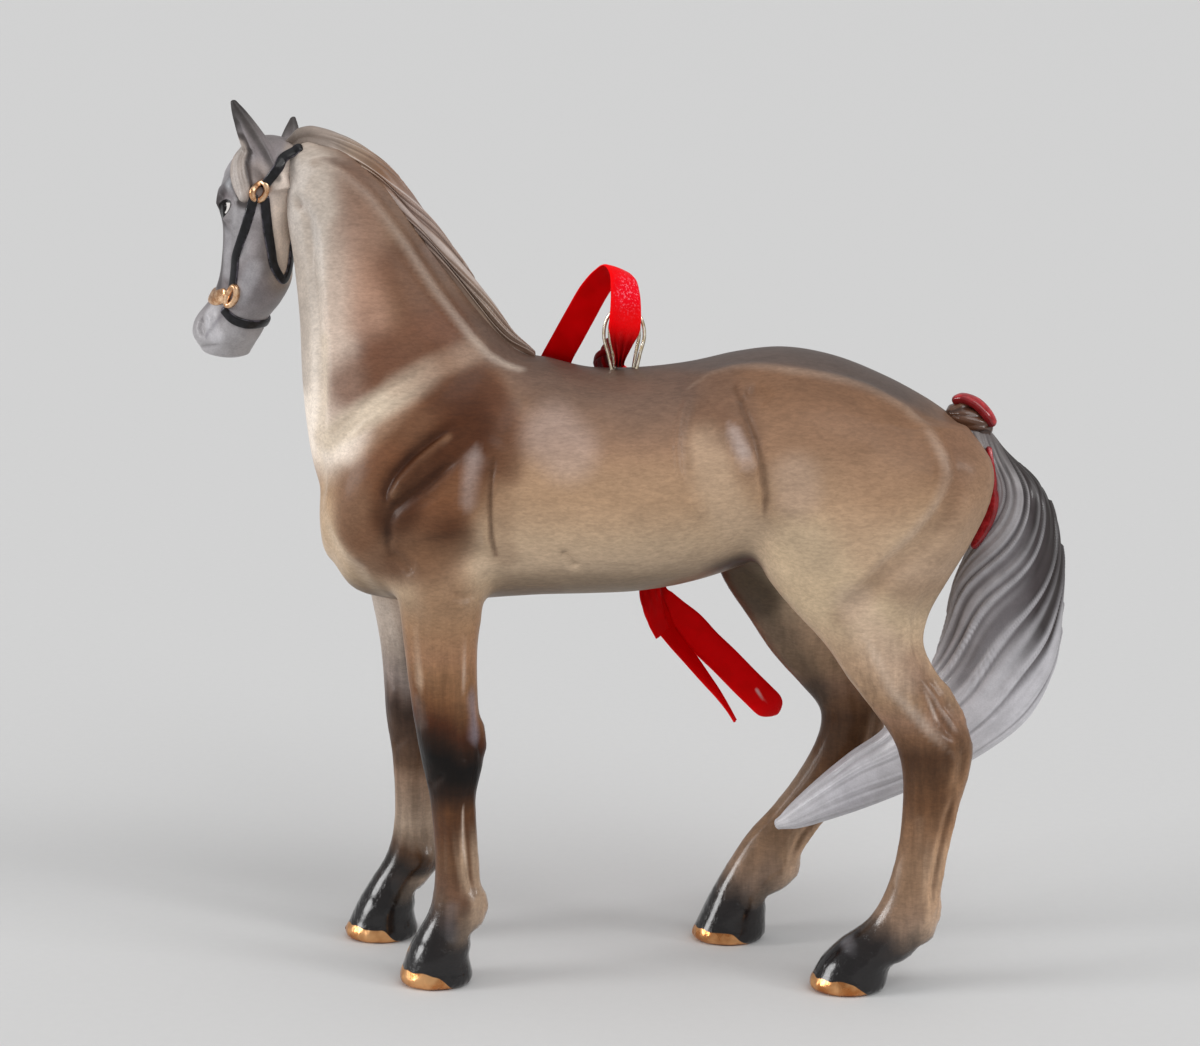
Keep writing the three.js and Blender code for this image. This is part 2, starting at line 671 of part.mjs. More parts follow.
// Legs: rings run from inside the torso down to the flat sole.
const foreY = foreTrack / 2;
const hindY = hindTrack / 2;
const nearForeRings = [
  ring(nearForeX - 6.4, bellyHeight + 9.4, nearForeX + 5.2, bellyHeight + 8.9, -foreY + 2.2, 3.6),
  ring(nearForeX - 5, bellyHeight + 4.4, nearForeX + 5, bellyHeight + 3.8, -foreY + 1.1, 3.8, { egg: -0.05 }),
  ring(nearForeX - 4, bellyHeight + 0.6, nearForeX + 4.5, bellyHeight + 0.2, -foreY + 0.4, 3.6),
  ring(nearForeX - 3.4, bellyHeight - 3.8, nearForeX + 3.9, bellyHeight - 4, -foreY, 3.1),
  ring(nearForeX - 2.8, kneeHeight + 4.9, nearForeX + 3.9, kneeHeight + 4.9, -foreY, kneeHalfWidth),
  ring(nearForeX - 2.3, kneeHeight + 1.5, nearForeX + 4.2, kneeHeight + 1.5, -foreY, kneeHalfWidth - 0.1),
  ring(nearForeX - 1.8, kneeHeight - 1.3, nearForeX + 4.4, kneeHeight - 1.3, -foreY, kneeHalfWidth),
  ring(nearForeX - 1, kneeHeight - 5.3, nearForeX + 3.6, kneeHeight - 5.3, -foreY, cannonHalfWidth + 0.2),
  ring(nearForeX - 0.6, 14.6, nearForeX + 3.7, 14.6, -foreY, cannonHalfWidth),
  ring(nearForeX - 0.6, 10.8, nearForeX + 4, 10.6, -foreY, cannonHalfWidth + 0.1),
  ring(nearForeX - 1.1, 7.8, nearForeX + 4.6, 7.2, -foreY, fetlockHalfWidth),
  ring(nearForeX - 2.2, 5.6, nearForeX + 3.4, 4.9, -foreY, fetlockHalfWidth),
  ring(nearForeX - 3.3, 3.6, nearForeX + 2.8, 3, -foreY, coronetHalfWidth),
  ring(nearForeX - 4, 1.6, nearForeX + 3.1, 1.4, -foreY, hoofHalfWidth - 0.2),
  ring(nearForeX - 4.3, 0.6, nearForeX + 3.2, 0.5, -foreY, hoofHalfWidth),
  ring(nearForeX - 3.8, 0, nearForeX + 2.7, 0, -foreY, hoofHalfWidth - soleRounding),
];
const offForeRings = [
  ring(offForeX - 5, bellyHeight + 9.4, offForeX + 6, bellyHeight + 8.9, foreY - 2.2, 3.6),
  ring(offForeX - 4.6, bellyHeight + 3.4, offForeX + 5.4, bellyHeight + 2.8, foreY - 1.1, 3.8, { egg: -0.05 }),
  ring(offForeX - 3.9, bellyHeight - 1, offForeX + 4.4, bellyHeight - 1.4, foreY - 0.4, 3.5),
  ring(offForeX - 3, kneeHeight + 7.9, offForeX + 3.6, kneeHeight + 7.7, foreY, 3),
  ring(offForeX - 2.6, kneeHeight + 3.5, offForeX + 3.7, kneeHeight + 3.5, foreY, kneeHalfWidth - 0.1),
  ring(offForeX - 2.4, kneeHeight - 0.5, offForeX + 3.9, kneeHeight - 0.5, foreY, kneeHalfWidth),
  ring(offForeX - 1.8, kneeHeight - 4.9, offForeX + 2.9, kneeHeight - 4.9, foreY, cannonHalfWidth + 0.2),
  ring(offForeX - 1.6, 15, offForeX + 2.7, 15, foreY, cannonHalfWidth),
  ring(offForeX - 1.8, 11.6, offForeX + 2.6, 11.2, foreY, cannonHalfWidth + 0.1),
  ring(offForeX - 2.6, 8.8, offForeX + 2.8, 7.9, foreY, fetlockHalfWidth),
  ring(offForeX - 4.2, 6.2, offForeX + 1, 5, foreY, fetlockHalfWidth),
  ring(offForeX - 5.6, 3.8, offForeX + 0.3, 3, foreY, coronetHalfWidth),
  ring(offForeX - 6.6, 1.6, offForeX + 0.6, 1.4, foreY, hoofHalfWidth - 0.2),
  ring(offForeX - 7.1, 0.6, offForeX + 0.7, 0.5, foreY, hoofHalfWidth),
  ring(offForeX - 6.5, 0, offForeX + 0.2, 0, foreY, hoofHalfWidth - soleRounding),
];
const nearHindRings = [
  ring(nearHindX - 8.7, bellyHeight + 20.4, nearHindX + 11, bellyHeight + 17.9, -hindY + 3.6, 4.6),
  ring(nearHindX - 10.4, bellyHeight + 13.9, nearHindX + 13.5, bellyHeight + 14.2, -hindY + 2.6, 5.8),
  ring(nearHindX - 10.6, bellyHeight + 8.2, nearHindX + 13.3, bellyHeight + 10.6, -hindY + 2.2, 6.0),
  ring(nearHindX - 9, bellyHeight + 3.8, nearHindX + 11.5, bellyHeight + 6.6, -hindY + 1.9, 5.6),
  ring(nearHindX - 6.2, bellyHeight + 0.2, nearHindX + 9.4, bellyHeight + 3.2, -hindY + 1.2, 4.7),
  ring(nearHindX - 2.8, bellyHeight - 3.4, nearHindX + 7.4, bellyHeight - 0.4, -hindY + 0.6, 3.7),
  ring(nearHindX - 0.4, hockHeight + 6.8, nearHindX + 7, bellyHeight - 3.6, -hindY, 3.1),
  ring(nearHindX + 2.2, hockHeight + 3.4, nearHindX + 9.4, hockHeight + 5.6, -hindY, hockHalfWidth + 0.1),
  ring(nearHindX + 4.2, hockHeight + 0.4, nearHindX + 11.8, hockHeight + 0.8, -hindY, hockHalfWidth),
  ring(nearHindX + 5, hockHeight - 2.6, nearHindX + 11.7, hockHeight - 2.4, -hindY, hockHalfWidth - 0.1),
  ring(nearHindX + 5.1, hockHeight - 6.2, nearHindX + 10.6, hockHeight - 6.4, -hindY, cannonHalfWidth + 0.2),
  ring(nearHindX + 4.6, 14, nearHindX + 9.5, 13.4, -hindY, cannonHalfWidth),
  ring(nearHindX + 3.4, 9.8, nearHindX + 8.9, 8.6, -hindY, cannonHalfWidth + 0.2),
  ring(nearHindX + 1.8, 7.2, nearHindX + 8.4, 5.4, -hindY, fetlockHalfWidth),
  ring(nearHindX - 0.8, 5.2, nearHindX + 5.6, 3.2, -hindY, fetlockHalfWidth + 0.2),
  ring(nearHindX - 2.6, 3.4, nearHindX + 4.2, 2.6, -hindY, coronetHalfWidth),
  ring(nearHindX - 3.6, 1.6, nearHindX + 3.9, 1.3, -hindY, hoofHalfWidth - 0.2),
  ring(nearHindX - 4, 0.6, nearHindX + 3.8, 0.5, -hindY, hoofHalfWidth),
  ring(nearHindX - 3.5, 0, nearHindX + 3.3, 0, -hindY, hoofHalfWidth - soleRounding),
];
const offHindRings = [
  ring(offHindX - 1.4, bellyHeight + 17.4, offHindX + 17.6, bellyHeight + 16.4, hindY - 3.6, 4.6),
  ring(offHindX - 2.6, bellyHeight + 9.4, offHindX + 19, bellyHeight + 11.4, hindY - 2.6, 5.7),
  ring(offHindX - 2.4, bellyHeight + 4, offHindX + 17.8, bellyHeight + 7, hindY - 2.0, 5.6),
  ring(offHindX - 0.8, bellyHeight, offHindX + 15.8, bellyHeight + 3.4, hindY - 1.6, 4.9),
  ring(offHindX + 1.6, bellyHeight - 3.8, offHindX + 14.2, bellyHeight, hindY - 0.8, 4.0),
  ring(offHindX + 4.2, hockHeight + 5.8, offHindX + 13.6, hockHeight + 9.4, hindY - 0.2, 3.3),
  ring(offHindX + 7.2, hockHeight + 2.4, offHindX + 14.8, hockHeight + 4.4, hindY, hockHalfWidth + 0.2),
  ring(offHindX + 9.2, hockHeight - 0.2, offHindX + 16, hockHeight - 0.4, hindY, hockHalfWidth),
  ring(offHindX + 9, hockHeight - 3, offHindX + 15.2, hockHeight - 4.4, hindY, hockHalfWidth - 0.1),
  ring(offHindX + 7, hockHeight - 7, offHindX + 12.2, 16, hindY, cannonHalfWidth + 0.2),
  ring(offHindX + 4.4, 14.4, offHindX + 9.2, 12.2, hindY, cannonHalfWidth),
  ring(offHindX + 1.8, 11.4, offHindX + 7.4, 9.2, hindY, cannonHalfWidth + 0.2),
  ring(offHindX, 8.6, offHindX + 6.6, 6.4, hindY, fetlockHalfWidth),
  ring(offHindX - 1.4, 6.2, offHindX + 4.2, 4.4, hindY, fetlockHalfWidth + 0.1),
  ring(offHindX - 2.6, 3.8, offHindX + 3.8, 2.9, hindY, coronetHalfWidth),
  ring(offHindX - 3.6, 1.6, offHindX + 3.8, 1.4, hindY, hoofHalfWidth - 0.2),
  ring(offHindX - 4, 0.6, offHindX + 3.7, 0.5, hindY, hoofHalfWidth),
  ring(offHindX - 3.5, 0, offHindX + 3.2, 0, hindY, hoofHalfWidth - soleRounding),
];
const legOptions = { sides: 12, steps: 24 };
const nearForeleg = mainBody(lofted(nearForeRings, legOptions).subtract(torsoCutter).subtract(neckCutter));
const offForeleg = mainBody(lofted(offForeRings, legOptions).subtract(torsoCutter).subtract(neckCutter));
const nearHindUncut = lofted(nearHindRings, legOptions);
const offHindUncut = lofted(offHindRings, legOptions);
const nearHindCutter = lofted(nearHindRings, { ...legOptions, grow: jointGap });
const offHindCutter = lofted(offHindRings, { ...legOptions, grow: jointGap });
const nearHindLeg = mainBody(nearHindUncut.subtract(torsoCutter));
const offHindLeg = mainBody(offHindUncut.subtract(torsoCutter).subtract(nearHindCutter));

// Tail: from under the dock, out and down, then swept forward between the
// hind legs to rest against the off hind cannon.
const tailRings = [
  ring(dockX - 0.4, dockHeight - 2.6, dockX + 3.2, dockHeight - 1.6, 0, 1.8),
  ring(dockX + 1.2, dockHeight - 5.2, dockX + 5.5, dockHeight - 4.6, 0, tailHalfWidth - 0.8),
  ring(dockX + 2.8, dockHeight - 9.2, dockX + 9.6, dockHeight - 8.8, 0, tailHalfWidth - 0.1),
  ring(dockX + 2.2, dockHeight - 14, dockX + 11.4, dockHeight - 14.4, 0, tailHalfWidth),
  ring(dockX + 0.8, dockHeight - 18.4, dockX + 11.6, dockHeight - 20.4, 0.1, tailHalfWidth),
  ring(dockX, dockHeight - 23, dockX + 10.9, dockHeight - 26.6, 0.2, tailHalfWidth - 0.1),
  ring(dockX - 1.2, dockHeight - 26.4, dockX + 8.4, dockHeight - 32, 0.4, tailHalfWidth - 0.2),
  ring(dockX - 3.2, dockHeight - 29.4, dockX + 3.8, dockHeight - 36, 0.8, tailHalfWidth - 0.3),
  ring(dockX - 6, dockHeight - 33.6, dockX - 1.8, dockHeight - 39.2, 1.3, tailHalfWidth - 0.6),
  ring(dockX - 9.4, dockHeight - 36.3, dockX - 7, dockHeight - 41.7, 1.9, tailHalfWidth - 1.1),
  ring(dockX - 12.8, dockHeight - 39.4, dockX - 11.2, dockHeight - 43.4, 2.4, tailHalfWidth - 1.6),
  ring(dockX - 15.4, dockHeight - 42.1, dockX - 14.4, dockHeight - 44.5, 2.8, tailHalfWidth - 2.2),
  ring(dockX - 16.6, dockHeight - 43.6, dockX - 16.4, dockHeight - 44.7, 3.0, tailHalfWidth - 2.8),
];
const tailOptions = { sides: 12, steps: 22, domes: [0, 0.4] };
const tailUncut = lofted(tailRings, tailOptions);
const tailCutter = lofted(tailRings, { ...tailOptions, grow: jointGap });
const tail = mainBody(
  tailUncut.subtract(torsoCutter).subtract(nearHindCutter).subtract(offHindCutter),
);

// Tied up top of the tail, with its band and the band's painted end.
const knotRings = [
  ring(dockX + 0.2, dockHeight - 0.1, dockX - 0.2, dockHeight - 1.8, 0, knotHalfWidth * 0.6),
  ring(dockX + 1.2, dockHeight + 0.3, dockX + 0.6, dockHeight - 2.6, 0, knotHalfWidth * 0.95),
  ring(dockX + 2.6, dockHeight - 0.1, dockX + 1.6, dockHeight - 3.2, 0, knotHalfWidth),
  ring(dockX + 3.7, dockHeight - 1.1, dockX + 2.6, dockHeight - 3.6, 0, knotHalfWidth * 0.9),
  ring(dockX + 4.2, dockHeight - 2, dockX + 3.4, dockHeight - 3.6, 0, knotHalfWidth * 0.6),
];
const knotOptions = { sides: 12, steps: 6, domes: [0.4, 0.4] };
const knotLengths = stationLengths(knotRings);
const knotUncut = lofted(knotRings, knotOptions);
const knotCutter = lofted(knotRings, { ...knotOptions, grow: jointGap });
const tailBody = mainBody(tail.subtract(knotCutter));
const tailKnot = mainBody(knotUncut.subtract(torsoCutter));

// The band lies along the top of the knot.
const bandFrames = [];
for (let i = 0; i <= 10; i++)
  bandFrames.push(
    onBody(knotRings, knotLengths, 0.06 + 0.09 * i, 10 + 3 * i, jointGap + bandThickness / 2),
  );
const knotBand = mainBody(strap(bandFrames, bandWidth, bandThickness).subtract(torsoCutter));

const tailLengths = stationLengths(tailRings);
const streamerFrames = [];
for (let i = 0; i <= 12; i++) {
  const share = i / 12;
  const place = onBody(
    tailRings,
    tailLengths,
    0.05 + 0.2 * share,
    104 - 130 * share + 48 * share * share,
    jointGap + streamerThickness / 2,
  );
  const swell = share < 0.4 ? 0.35 : 0.35 + 0.75 * Math.sin(((share - 0.4) / 0.6) * Math.PI) ** 0.7;
  streamerFrames.push({ ...place, width: streamerWidth * Math.max(swell, 0.3) });
}
const streamer = mainBody(
  strap(streamerFrames, streamerWidth, streamerThickness)
    .subtract(torsoCutter)
    .subtract(knotCutter)
    .subtract(nearHindCutter),
);

// Wire loop: one wire laid twice round, its legs cemented in the back.
const wireHeight = 6.1;
const eyeHalfWidth = 2;
const eyeBaseHalfWidth = 1.2;
const wireRoot = hangerTop - 2.6;
const wirePoints = [];
for (const turn of [-1, 1]) {
  const y = (turn * wirePitch) / 2;
  const base = hangerTop;
  const side = [
    [eyeBaseHalfWidth, wireRoot],
    [eyeBaseHalfWidth, base - 0.4],
    [eyeBaseHalfWidth + 0.35, base + 1.4],
    [eyeHalfWidth, base + 3.3],
    [eyeHalfWidth * 0.86, base + 4.9],
    [eyeHalfWidth * 0.45, base + wireHeight - 0.2],
  ];
  for (const [half, z] of side) wirePoints.push([hangerX - 0.1 - half, y, z]);
  wirePoints.push([hangerX - 0.1, y, base + wireHeight]);
  for (const [half, z] of side.slice().reverse()) wirePoints.push([hangerX - 0.1 + half, y, z]);
  if (turn < 0) {
    wirePoints.push([hangerX + eyeBaseHalfWidth * 0.5, -wirePitch * 0.2, wireRoot - 0.75]);
    wirePoints.push([hangerX - eyeBaseHalfWidth * 0.7, wirePitch * 0.3, wireRoot - 0.75]);
  }
}
const wireCurve = new THREE.CatmullRomCurve3(
  wirePoints.map((p) => new THREE.Vector3(...p)),
  false,
  "centripetal",
);

// Round tube along a curve, closed at both ends.
function tube(curve, radius, steps, sides) {
  const shape = new THREE.Shape();
  for (let i = 0; i < sides; i++) {
    const a = ((i + 0.5) / sides) * 2 * Math.PI;
    const reach = radius / Math.cos(Math.PI / sides) ** 0.5;
    if (i === 0) shape.moveTo(reach * Math.cos(a), reach * Math.sin(a));
    else shape.lineTo(reach * Math.cos(a), reach * Math.sin(a));
  }
  shape.closePath();
  const geometry = new THREE.ExtrudeGeometry(shape, {
    steps,
    bevelEnabled: false,
    extrudePath: curve,
  });
  return solid(geometry);
}
const wireSteps = 60;
const hangerWire = tube(wireCurve, wireDiameter / 2, wireSteps, 6);
const wireCutter = tube(wireCurve, wireDiameter / 2 + cementClearance, wireSteps, 6);

const cement = mainBody(
  bar(
    new THREE.Vector3(hangerX, 0, hangerTop - cementDepth),
    new THREE.Vector3(hangerX, 0, hangerTop - 0.5),
    hangerHoleDiameter / 2 - cementClearance,
    20,
  ).subtract(wireCutter),
);

// Least gap of the wire to itself, measured on points along it.
const wireSamples = wireCurve.getSpacedPoints(240);
const wireLength = wireCurve.getLength();
let leastWireGap = Infinity;
wireSamples.forEach((a, i) =>
  wireSamples.slice(i + 16).forEach((b) => {
    leastWireGap = Math.min(leastWireGap, a.distanceTo(b) - wireDiameter);
  }),
);
console.log("wire length " + wireLength.toFixed(1) + ", least gap to itself " + leastWireGap.toFixed(2));

// Ribbon: one cut length, hand laid. Each place is a point on its middle line,
// the way its face looks there, and how far it is gathered (0 flat, 1 gathered).
const ribbonPlaces = [
  [10.9, 9.6, 23.2, 0.6, -0.5, 0.62, 0],
  [10.0, 9.5, 24.3, 0.6, -0.5, 0.62, 0],
  [8.6, 9.5, 25.9, 0.6, -0.5, 0.62, 0],
  [7.2, 9.5, 27.6, 0.6, -0.5, 0.6, 0],
  [5.7, 9.5, 29.5, 0.5, -0.6, 0.5, 0],
  [4.2, 9.6, 31.8, 0.3, -0.8, 0.3, 0.2],
  [2.8, 9.9, 34.6, 0.1, -1, 0.1, 0.8],
  [1.6, 10.2, 37.0, 0, -1, 0, 1],
  [0.8, 10.5, 39.4, 0, -1, 0, 1],
  [-0.6, 11.2, 42.2, 0, -1, 0.1, 0.7],
  [-1.5, 12.1, 46.0, 0, -1, 0.05, 0],
  [-2.2, 12.5, 50.0, 0, -1, -0.1, 0],
  [-3.4, 12.0, 54.0, 0, -1, -0.35, 0],
  [-5.2, 10.5, 57.6, 0, -0.8, -0.6, 0],
  [-6.8, 7.8, 60.5, 0.1, -0.6, -0.8, 0],
  [-7.6, 5.4, 62.0, 0.2, -0.7, -0.7, 0],
  [-7.3, 4.3, 62.9, 0.3, -0.9, -0.3, 0],
  [-6.3, 3.8, 64.2, 0.35, -0.9, -0.15, 0],
  [-5.2, 3.3, 66.0, 0.4, -0.9, -0.1, 0],
  [-4.2, 2.8, 67.8, 0.4, -0.9, -0.2, 0],
  [-3.1, 2.1, 69.8, 0.35, -0.75, -0.5, 0],
  [-2.1, 1.1, 70.9, 0.2, -0.3, -0.9, 0],
  [-1.3, -0.1, 70.9, -0.1, 0.4, -0.9, 0],
  [-0.6, -1.2, 70.0, -0.2, 0.9, -0.4, 0],
  [-0.3, -1.7, 68.6, -0.1, 1, -0.1, 0],
  [-0.3, -1.9, 67.2, 0, 1, 0, 0],
  [-0.4, -1.8, 65.6, 0, 1, 0.1, 0],
  [-0.6, -1.4, 64.0, 0, 0.95, 0.3, 0.5],
  [-0.8, -0.8, 62.8, 0, 0.7, 0.7, 0.95],
  [-0.9, 0.2, 62.3, 0, 0.1, 1, 1],
  [-1.4, 1.5, 62.6, -0.1, -0.2, 1, 1],
  [-2.1, 3.0, 63.0, -0.1, 0, 1, 0.6],
  [-2.3, 5.0, 62.3, 0, 0.5, 0.9, 0.2],
  [-1.5, 7.6, 60.5, 0, 0.6, 0.8, 0],
  [-0.1, 10.2, 57.8, 0, 0.8, 0.6, 0],
  [1.4, 12.0, 54.0, 0, 1, 0.3, 0],
  [2.8, 12.8, 49.6, 0, 1, 0.1, 0],
  [3.9, 12.8, 45.6, 0, 1, -0.1, 0],
  [4.0, 12.3, 42.2, 0, 1, -0.1, 0.7],
  [2.8, 11.9, 39.2, 0, 1, 0, 1],
  [2.8, 11.7, 37.0, 0, 1, 0, 1],
  [3.2, 11.5, 35.2, 0, 1, 0, 0.6],
  [4.3, 11.3, 33.8, 0, 1, 0, 0.1],
  [5.6, 11.2, 32.6, 0, 1, 0, 0],
  [7.1, 11.2, 31.0, 0, 1, 0, 0],
  [8.9, 11.2, 29.3, 0, 1, 0, 0],
  [10.8, 11.2, 27.4, 0, 1, 0, 0],
  [12.6, 11.3, 25.6, 0, 1, 0, 0],
  [13.8, 11.6, 24.5, 0.2, 1, -0.2, 0],
  [14.5, 12.4, 23.9, 0.6, 0.1, -0.6, 0],
  [14.0, 13.3, 24.4, -0.2, -1, 0.2, 0],
  [12.6, 13.6, 25.7, 0, -1, 0, 0],
  [10.8, 13.7, 27.4, 0, -1, 0, 0],
  [8.9, 13.7, 29.3, 0, -1, 0, 0],
  [7.1, 13.8, 31.1, 0, -1, 0, 0],
  [5.2, 14.0, 33.2, 0, -1, 0, 0.2],
  [3.2, 14.2, 36.0, 0, -1, 0, 0.9],
  [2.0, 14.1, 39.0, 0, -1, 0.2, 1],
  [1.8, 13.0, 41.4, 0, -0.6, -0.8, 1],
  [1.8, 11.3, 42.3, 0, 0, -1, 1],
  [1.8, 9.6, 41.6, 0, 0.6, -0.8, 1],
  [2.0, 8.6, 39.6, 0, 1, 0, 0.9],
  [2.3, 8.4, 37.0, 0, 1, 0, 0.6],
  [2.8, 8.4, 34.6, 0, 1, 0, 0.3],
  [3.5, 8.5, 32.6, 0.1, 1, 0, 0.2],
];
const ribbonCurve = new THREE.CatmullRomCurve3(
  ribbonPlaces.map((p) => new THREE.Vector3(p[0], p[1], p[2])),
  false,
  "centripetal",
);
const ribbonSteps = 72;
function ribbonFrames(extra) {
  const frames = [];
  let facing = null;
  for (let i = 0; i <= ribbonSteps; i++) {
    const t = i / ribbonSteps;
    const place = t * (ribbonPlaces.length - 1);
    const k = Math.min(Math.floor(place), ribbonPlaces.length - 2);
    const w = place - k;
    const mix = (c) => ribbonPlaces[k][c] * (1 - w) + ribbonPlaces[k + 1][c] * w;
    const point = ribbonCurve.getPoint(t);
    const along = ribbonCurve.getTangent(t);
    const normal = new THREE.Vector3(mix(3), mix(4), mix(5));
    normal.addScaledVector(along, -normal.dot(along)).normalize();
    if (facing && facing.dot(normal) < 0) normal.negate();
    facing = normal;
    const gather = mix(6);
    const width = ribbonWidth + (gatheredWidth - ribbonWidth) * gather;
    const thick = ribbonThickness + (gatheredThickness - ribbonThickness) * gather;
    frames.push({ point, normal, width: width + 2 * extra, thickness: thick + 2 * extra });
  }
  return frames;
}
const ribbonAt = (extra) =>
  strap(ribbonFrames(extra), ribbonWidth, ribbonThickness, false, bandProfile);
const ribbon = ribbonAt(0);
console.log("ribbon length " + ribbonCurve.getLength().toFixed(1));

const ribbonKnotCentre = new THREE.Vector3(1.9, 11.3, 39.1);
const ribbonKnotGeometry = new THREE.SphereGeometry(ribbonKnotSize / 2, 12, 8);
ribbonKnotGeometry.scale(1, 0.8, 0.95);
ribbonKnotGeometry.translate(...ribbonKnotCentre.toArray());
const ribbonKnot = mainBody(
  solid(ribbonKnotGeometry).subtract(ribbonAt(jointGap)),
);

// Colours of the glazed body, the trims and the soft parts
const tan = { color: 0x9c7b66, roughness: 0.32, metalness: 0 };
const brown = { color: 0x6f5040, roughness: 0.35, metalness: 0 };
const slate = { color: 0x8c8487, roughness: 0.32, metalness: 0 };
const grey = { color: 0x9a989c, roughness: 0.35, metalness: 0 };
const black = { color: 0x1d1b1c, roughness: 0.25, metalness: 0 };
const gold = { color: 0xd39a5c, roughness: 0.25, metalness: 1 };
const red = { color: 0xb5202a, roughness: 0.3, metalness: 0 };
const satin = { color: 0xc40d1b, roughness: 0.4, metalness: 0 };
const wire = { color: 0xb9975c, roughness: 0.25, metalness: 1 };
const cementLook = { color: 0xd8d2c4, roughness: 0.6, metalness: 0 };

const pony = new THREE.Group();
pony.position.x = -middleX;
function add(name, body, look) {
  const mesh = new THREE.Mesh(geometryOf(body), new THREE.MeshStandardMaterial(look));
  mesh.name = name;
  pony.add(mesh);
}

add("torso", torso, tan);
add("neck", neck, tan);
add("head", head, slate);
add("near_ear", nearEar, slate);
add("off_ear", offEar, slate);
add("forelock", forelock, brown);
add("mane", mane, brown);
add("near_foreleg", nearForeleg, tan);
add("off_foreleg", offForeleg, tan);
add("near_hind_leg", nearHindLeg, tan);
add("off_hind_leg", offHindLeg, tan);
add("tail", tailBody, grey);
add("tail_knot", tailKnot, brown);
add("tail_knot_band", knotBand, red);
add("tail_streamer", streamer, red);
add("crown_strap", crownStrap, black);
add("throat_strap", throatStrap, black);
add("near_cheek_strap", nearCheekStrap, black);
add("off_cheek_strap", offCheekStrap, black);
add("noseband", noseband, gold);
add("chin_strap", chinStrap, black);
add("near_upper_ring", nearUpperRing, gold);
add("off_upper_ring", offUpperRing, gold);
add("near_lower_ring", nearLowerRing, gold);
add("off_lower_ring", offLowerRing, gold);
add("hanger_wire", hangerWire, wire);
add("hanger_cement", cement, cementLook);
add("ribbon", ribbon, satin);
add("ribbon_knot", ribbonKnot, satin);

export default pony;
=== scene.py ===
import bpy
import math
import numpy as np
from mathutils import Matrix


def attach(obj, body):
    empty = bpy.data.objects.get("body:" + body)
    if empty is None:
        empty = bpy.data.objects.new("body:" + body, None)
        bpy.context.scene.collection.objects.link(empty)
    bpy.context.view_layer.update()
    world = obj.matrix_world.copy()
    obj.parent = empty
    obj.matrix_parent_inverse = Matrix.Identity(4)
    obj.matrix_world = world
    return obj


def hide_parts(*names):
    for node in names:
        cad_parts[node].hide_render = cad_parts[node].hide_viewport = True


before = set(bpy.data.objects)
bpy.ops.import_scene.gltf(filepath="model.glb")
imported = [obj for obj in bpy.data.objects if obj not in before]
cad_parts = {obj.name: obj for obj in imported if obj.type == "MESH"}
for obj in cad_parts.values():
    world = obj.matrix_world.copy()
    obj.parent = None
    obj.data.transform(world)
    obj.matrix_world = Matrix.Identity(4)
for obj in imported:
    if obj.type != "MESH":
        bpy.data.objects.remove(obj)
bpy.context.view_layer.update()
mm = 0.001  # every table below is in millimetres; meshes are written in metres
scene = bpy.context.scene
scene.view_settings.view_transform = "Standard"

# Camera, at the height and side from which the pony was photographed
shot = {"azimuth": 2.0, "elevation": 10.5, "target": (-2.28, 0.0, 45.7), "run": 320.0, "lens": 97.5,
        "sensor": 36.0, "clip": (0.01, 50.0)}


def placeCamera():
    # looks at the target from the azimuth and the elevation, run away from it on the level
    turn, lift = math.radians(shot["azimuth"]), math.radians(shot["elevation"])
    back = np.array([math.sin(turn) * math.cos(lift), -math.cos(turn) * math.cos(lift), math.sin(lift)])
    eye = bpy.data.cameras.new("camera")
    eye.lens, eye.sensor_width, eye.sensor_fit = shot["lens"], shot["sensor"], "HORIZONTAL"
    eye.clip_start, eye.clip_end = shot["clip"]
    holder = bpy.data.objects.new("camera", eye)
    holder.location = (np.array(shot["target"]) + back * shot["run"] / math.cos(lift)) * mm
    holder.rotation_euler = (math.pi / 2 - lift, 0.0, turn)
    scene.collection.objects.link(holder)
    scene.camera = holder


placeCamera()
print("camera: lens", shot["lens"])


# Array tools
def stepUp(value, low, high):
    # 0 below low, 1 above high, an S curve between
    share = np.clip((value - low) / (high - low), 0.0, 1.0)
    return share * share * (3.0 - 2.0 * share)


def unit(vectors):
    # each vector at length 1
    return vectors / np.maximum(np.linalg.norm(vectors, axis=-1, keepdims=True), 1e-9)


def curveThrough(places, count):
    # centripetal Catmull-Rom curve through the first three columns; the other columns ride along
    places = np.asarray(places, float)
    padded = np.vstack([2 * places[0] - places[1], places, 2 * places[-1] - places[-2]])
    gap = np.linalg.norm(np.diff(padded[:, :3], axis=0), axis=1) ** 0.5
    spot = np.linspace(0, len(places) - 1, count)
    k = np.minimum(spot.astype(int), len(places) - 2)
    w = (spot - k)[:, None]
    a, b, c, d = (padded[k + j] for j in range(4))
    g0, g1, g2 = gap[k][:, None], gap[k + 1][:, None], gap[k + 2][:, None]
    m1 = g1 * ((b - a) / g0 - (c - a) / (g0 + g1) + (c - b) / g1)
    m2 = g1 * ((c - b) / g1 - (d - b) / (g1 + g2) + (d - c) / g2)
    w2, w3 = w * w, w ** 3
    return b * (2 * w3 - 3 * w2 + 1) + c * (3 * w2 - 2 * w3) + m1 * (w3 - 2 * w2 + w) + m2 * (w3 - w2)


def evenly(points, count):
    # the same polyline, cut into steps of equal length
    run = np.concatenate([[0], np.cumsum(np.linalg.norm(np.diff(points[:, :3], axis=0), axis=1))])
    spot = np.linspace(0, run[-1], count)
    return np.stack([np.interp(spot, run, points[:, c]) for c in range(points.shape[1])], axis=1)


def fullRings(rows):
    # each ring: front x z, back x z, y of the middle, half width, turn in degrees, egg, squareness
    rest = (0.0, 0.0, 0.0, 0.0, 0.0, 1.0, 0.0, 0.0, 2.0)
    return np.array([tuple(row) + rest[len(row):] for row in rows], float)


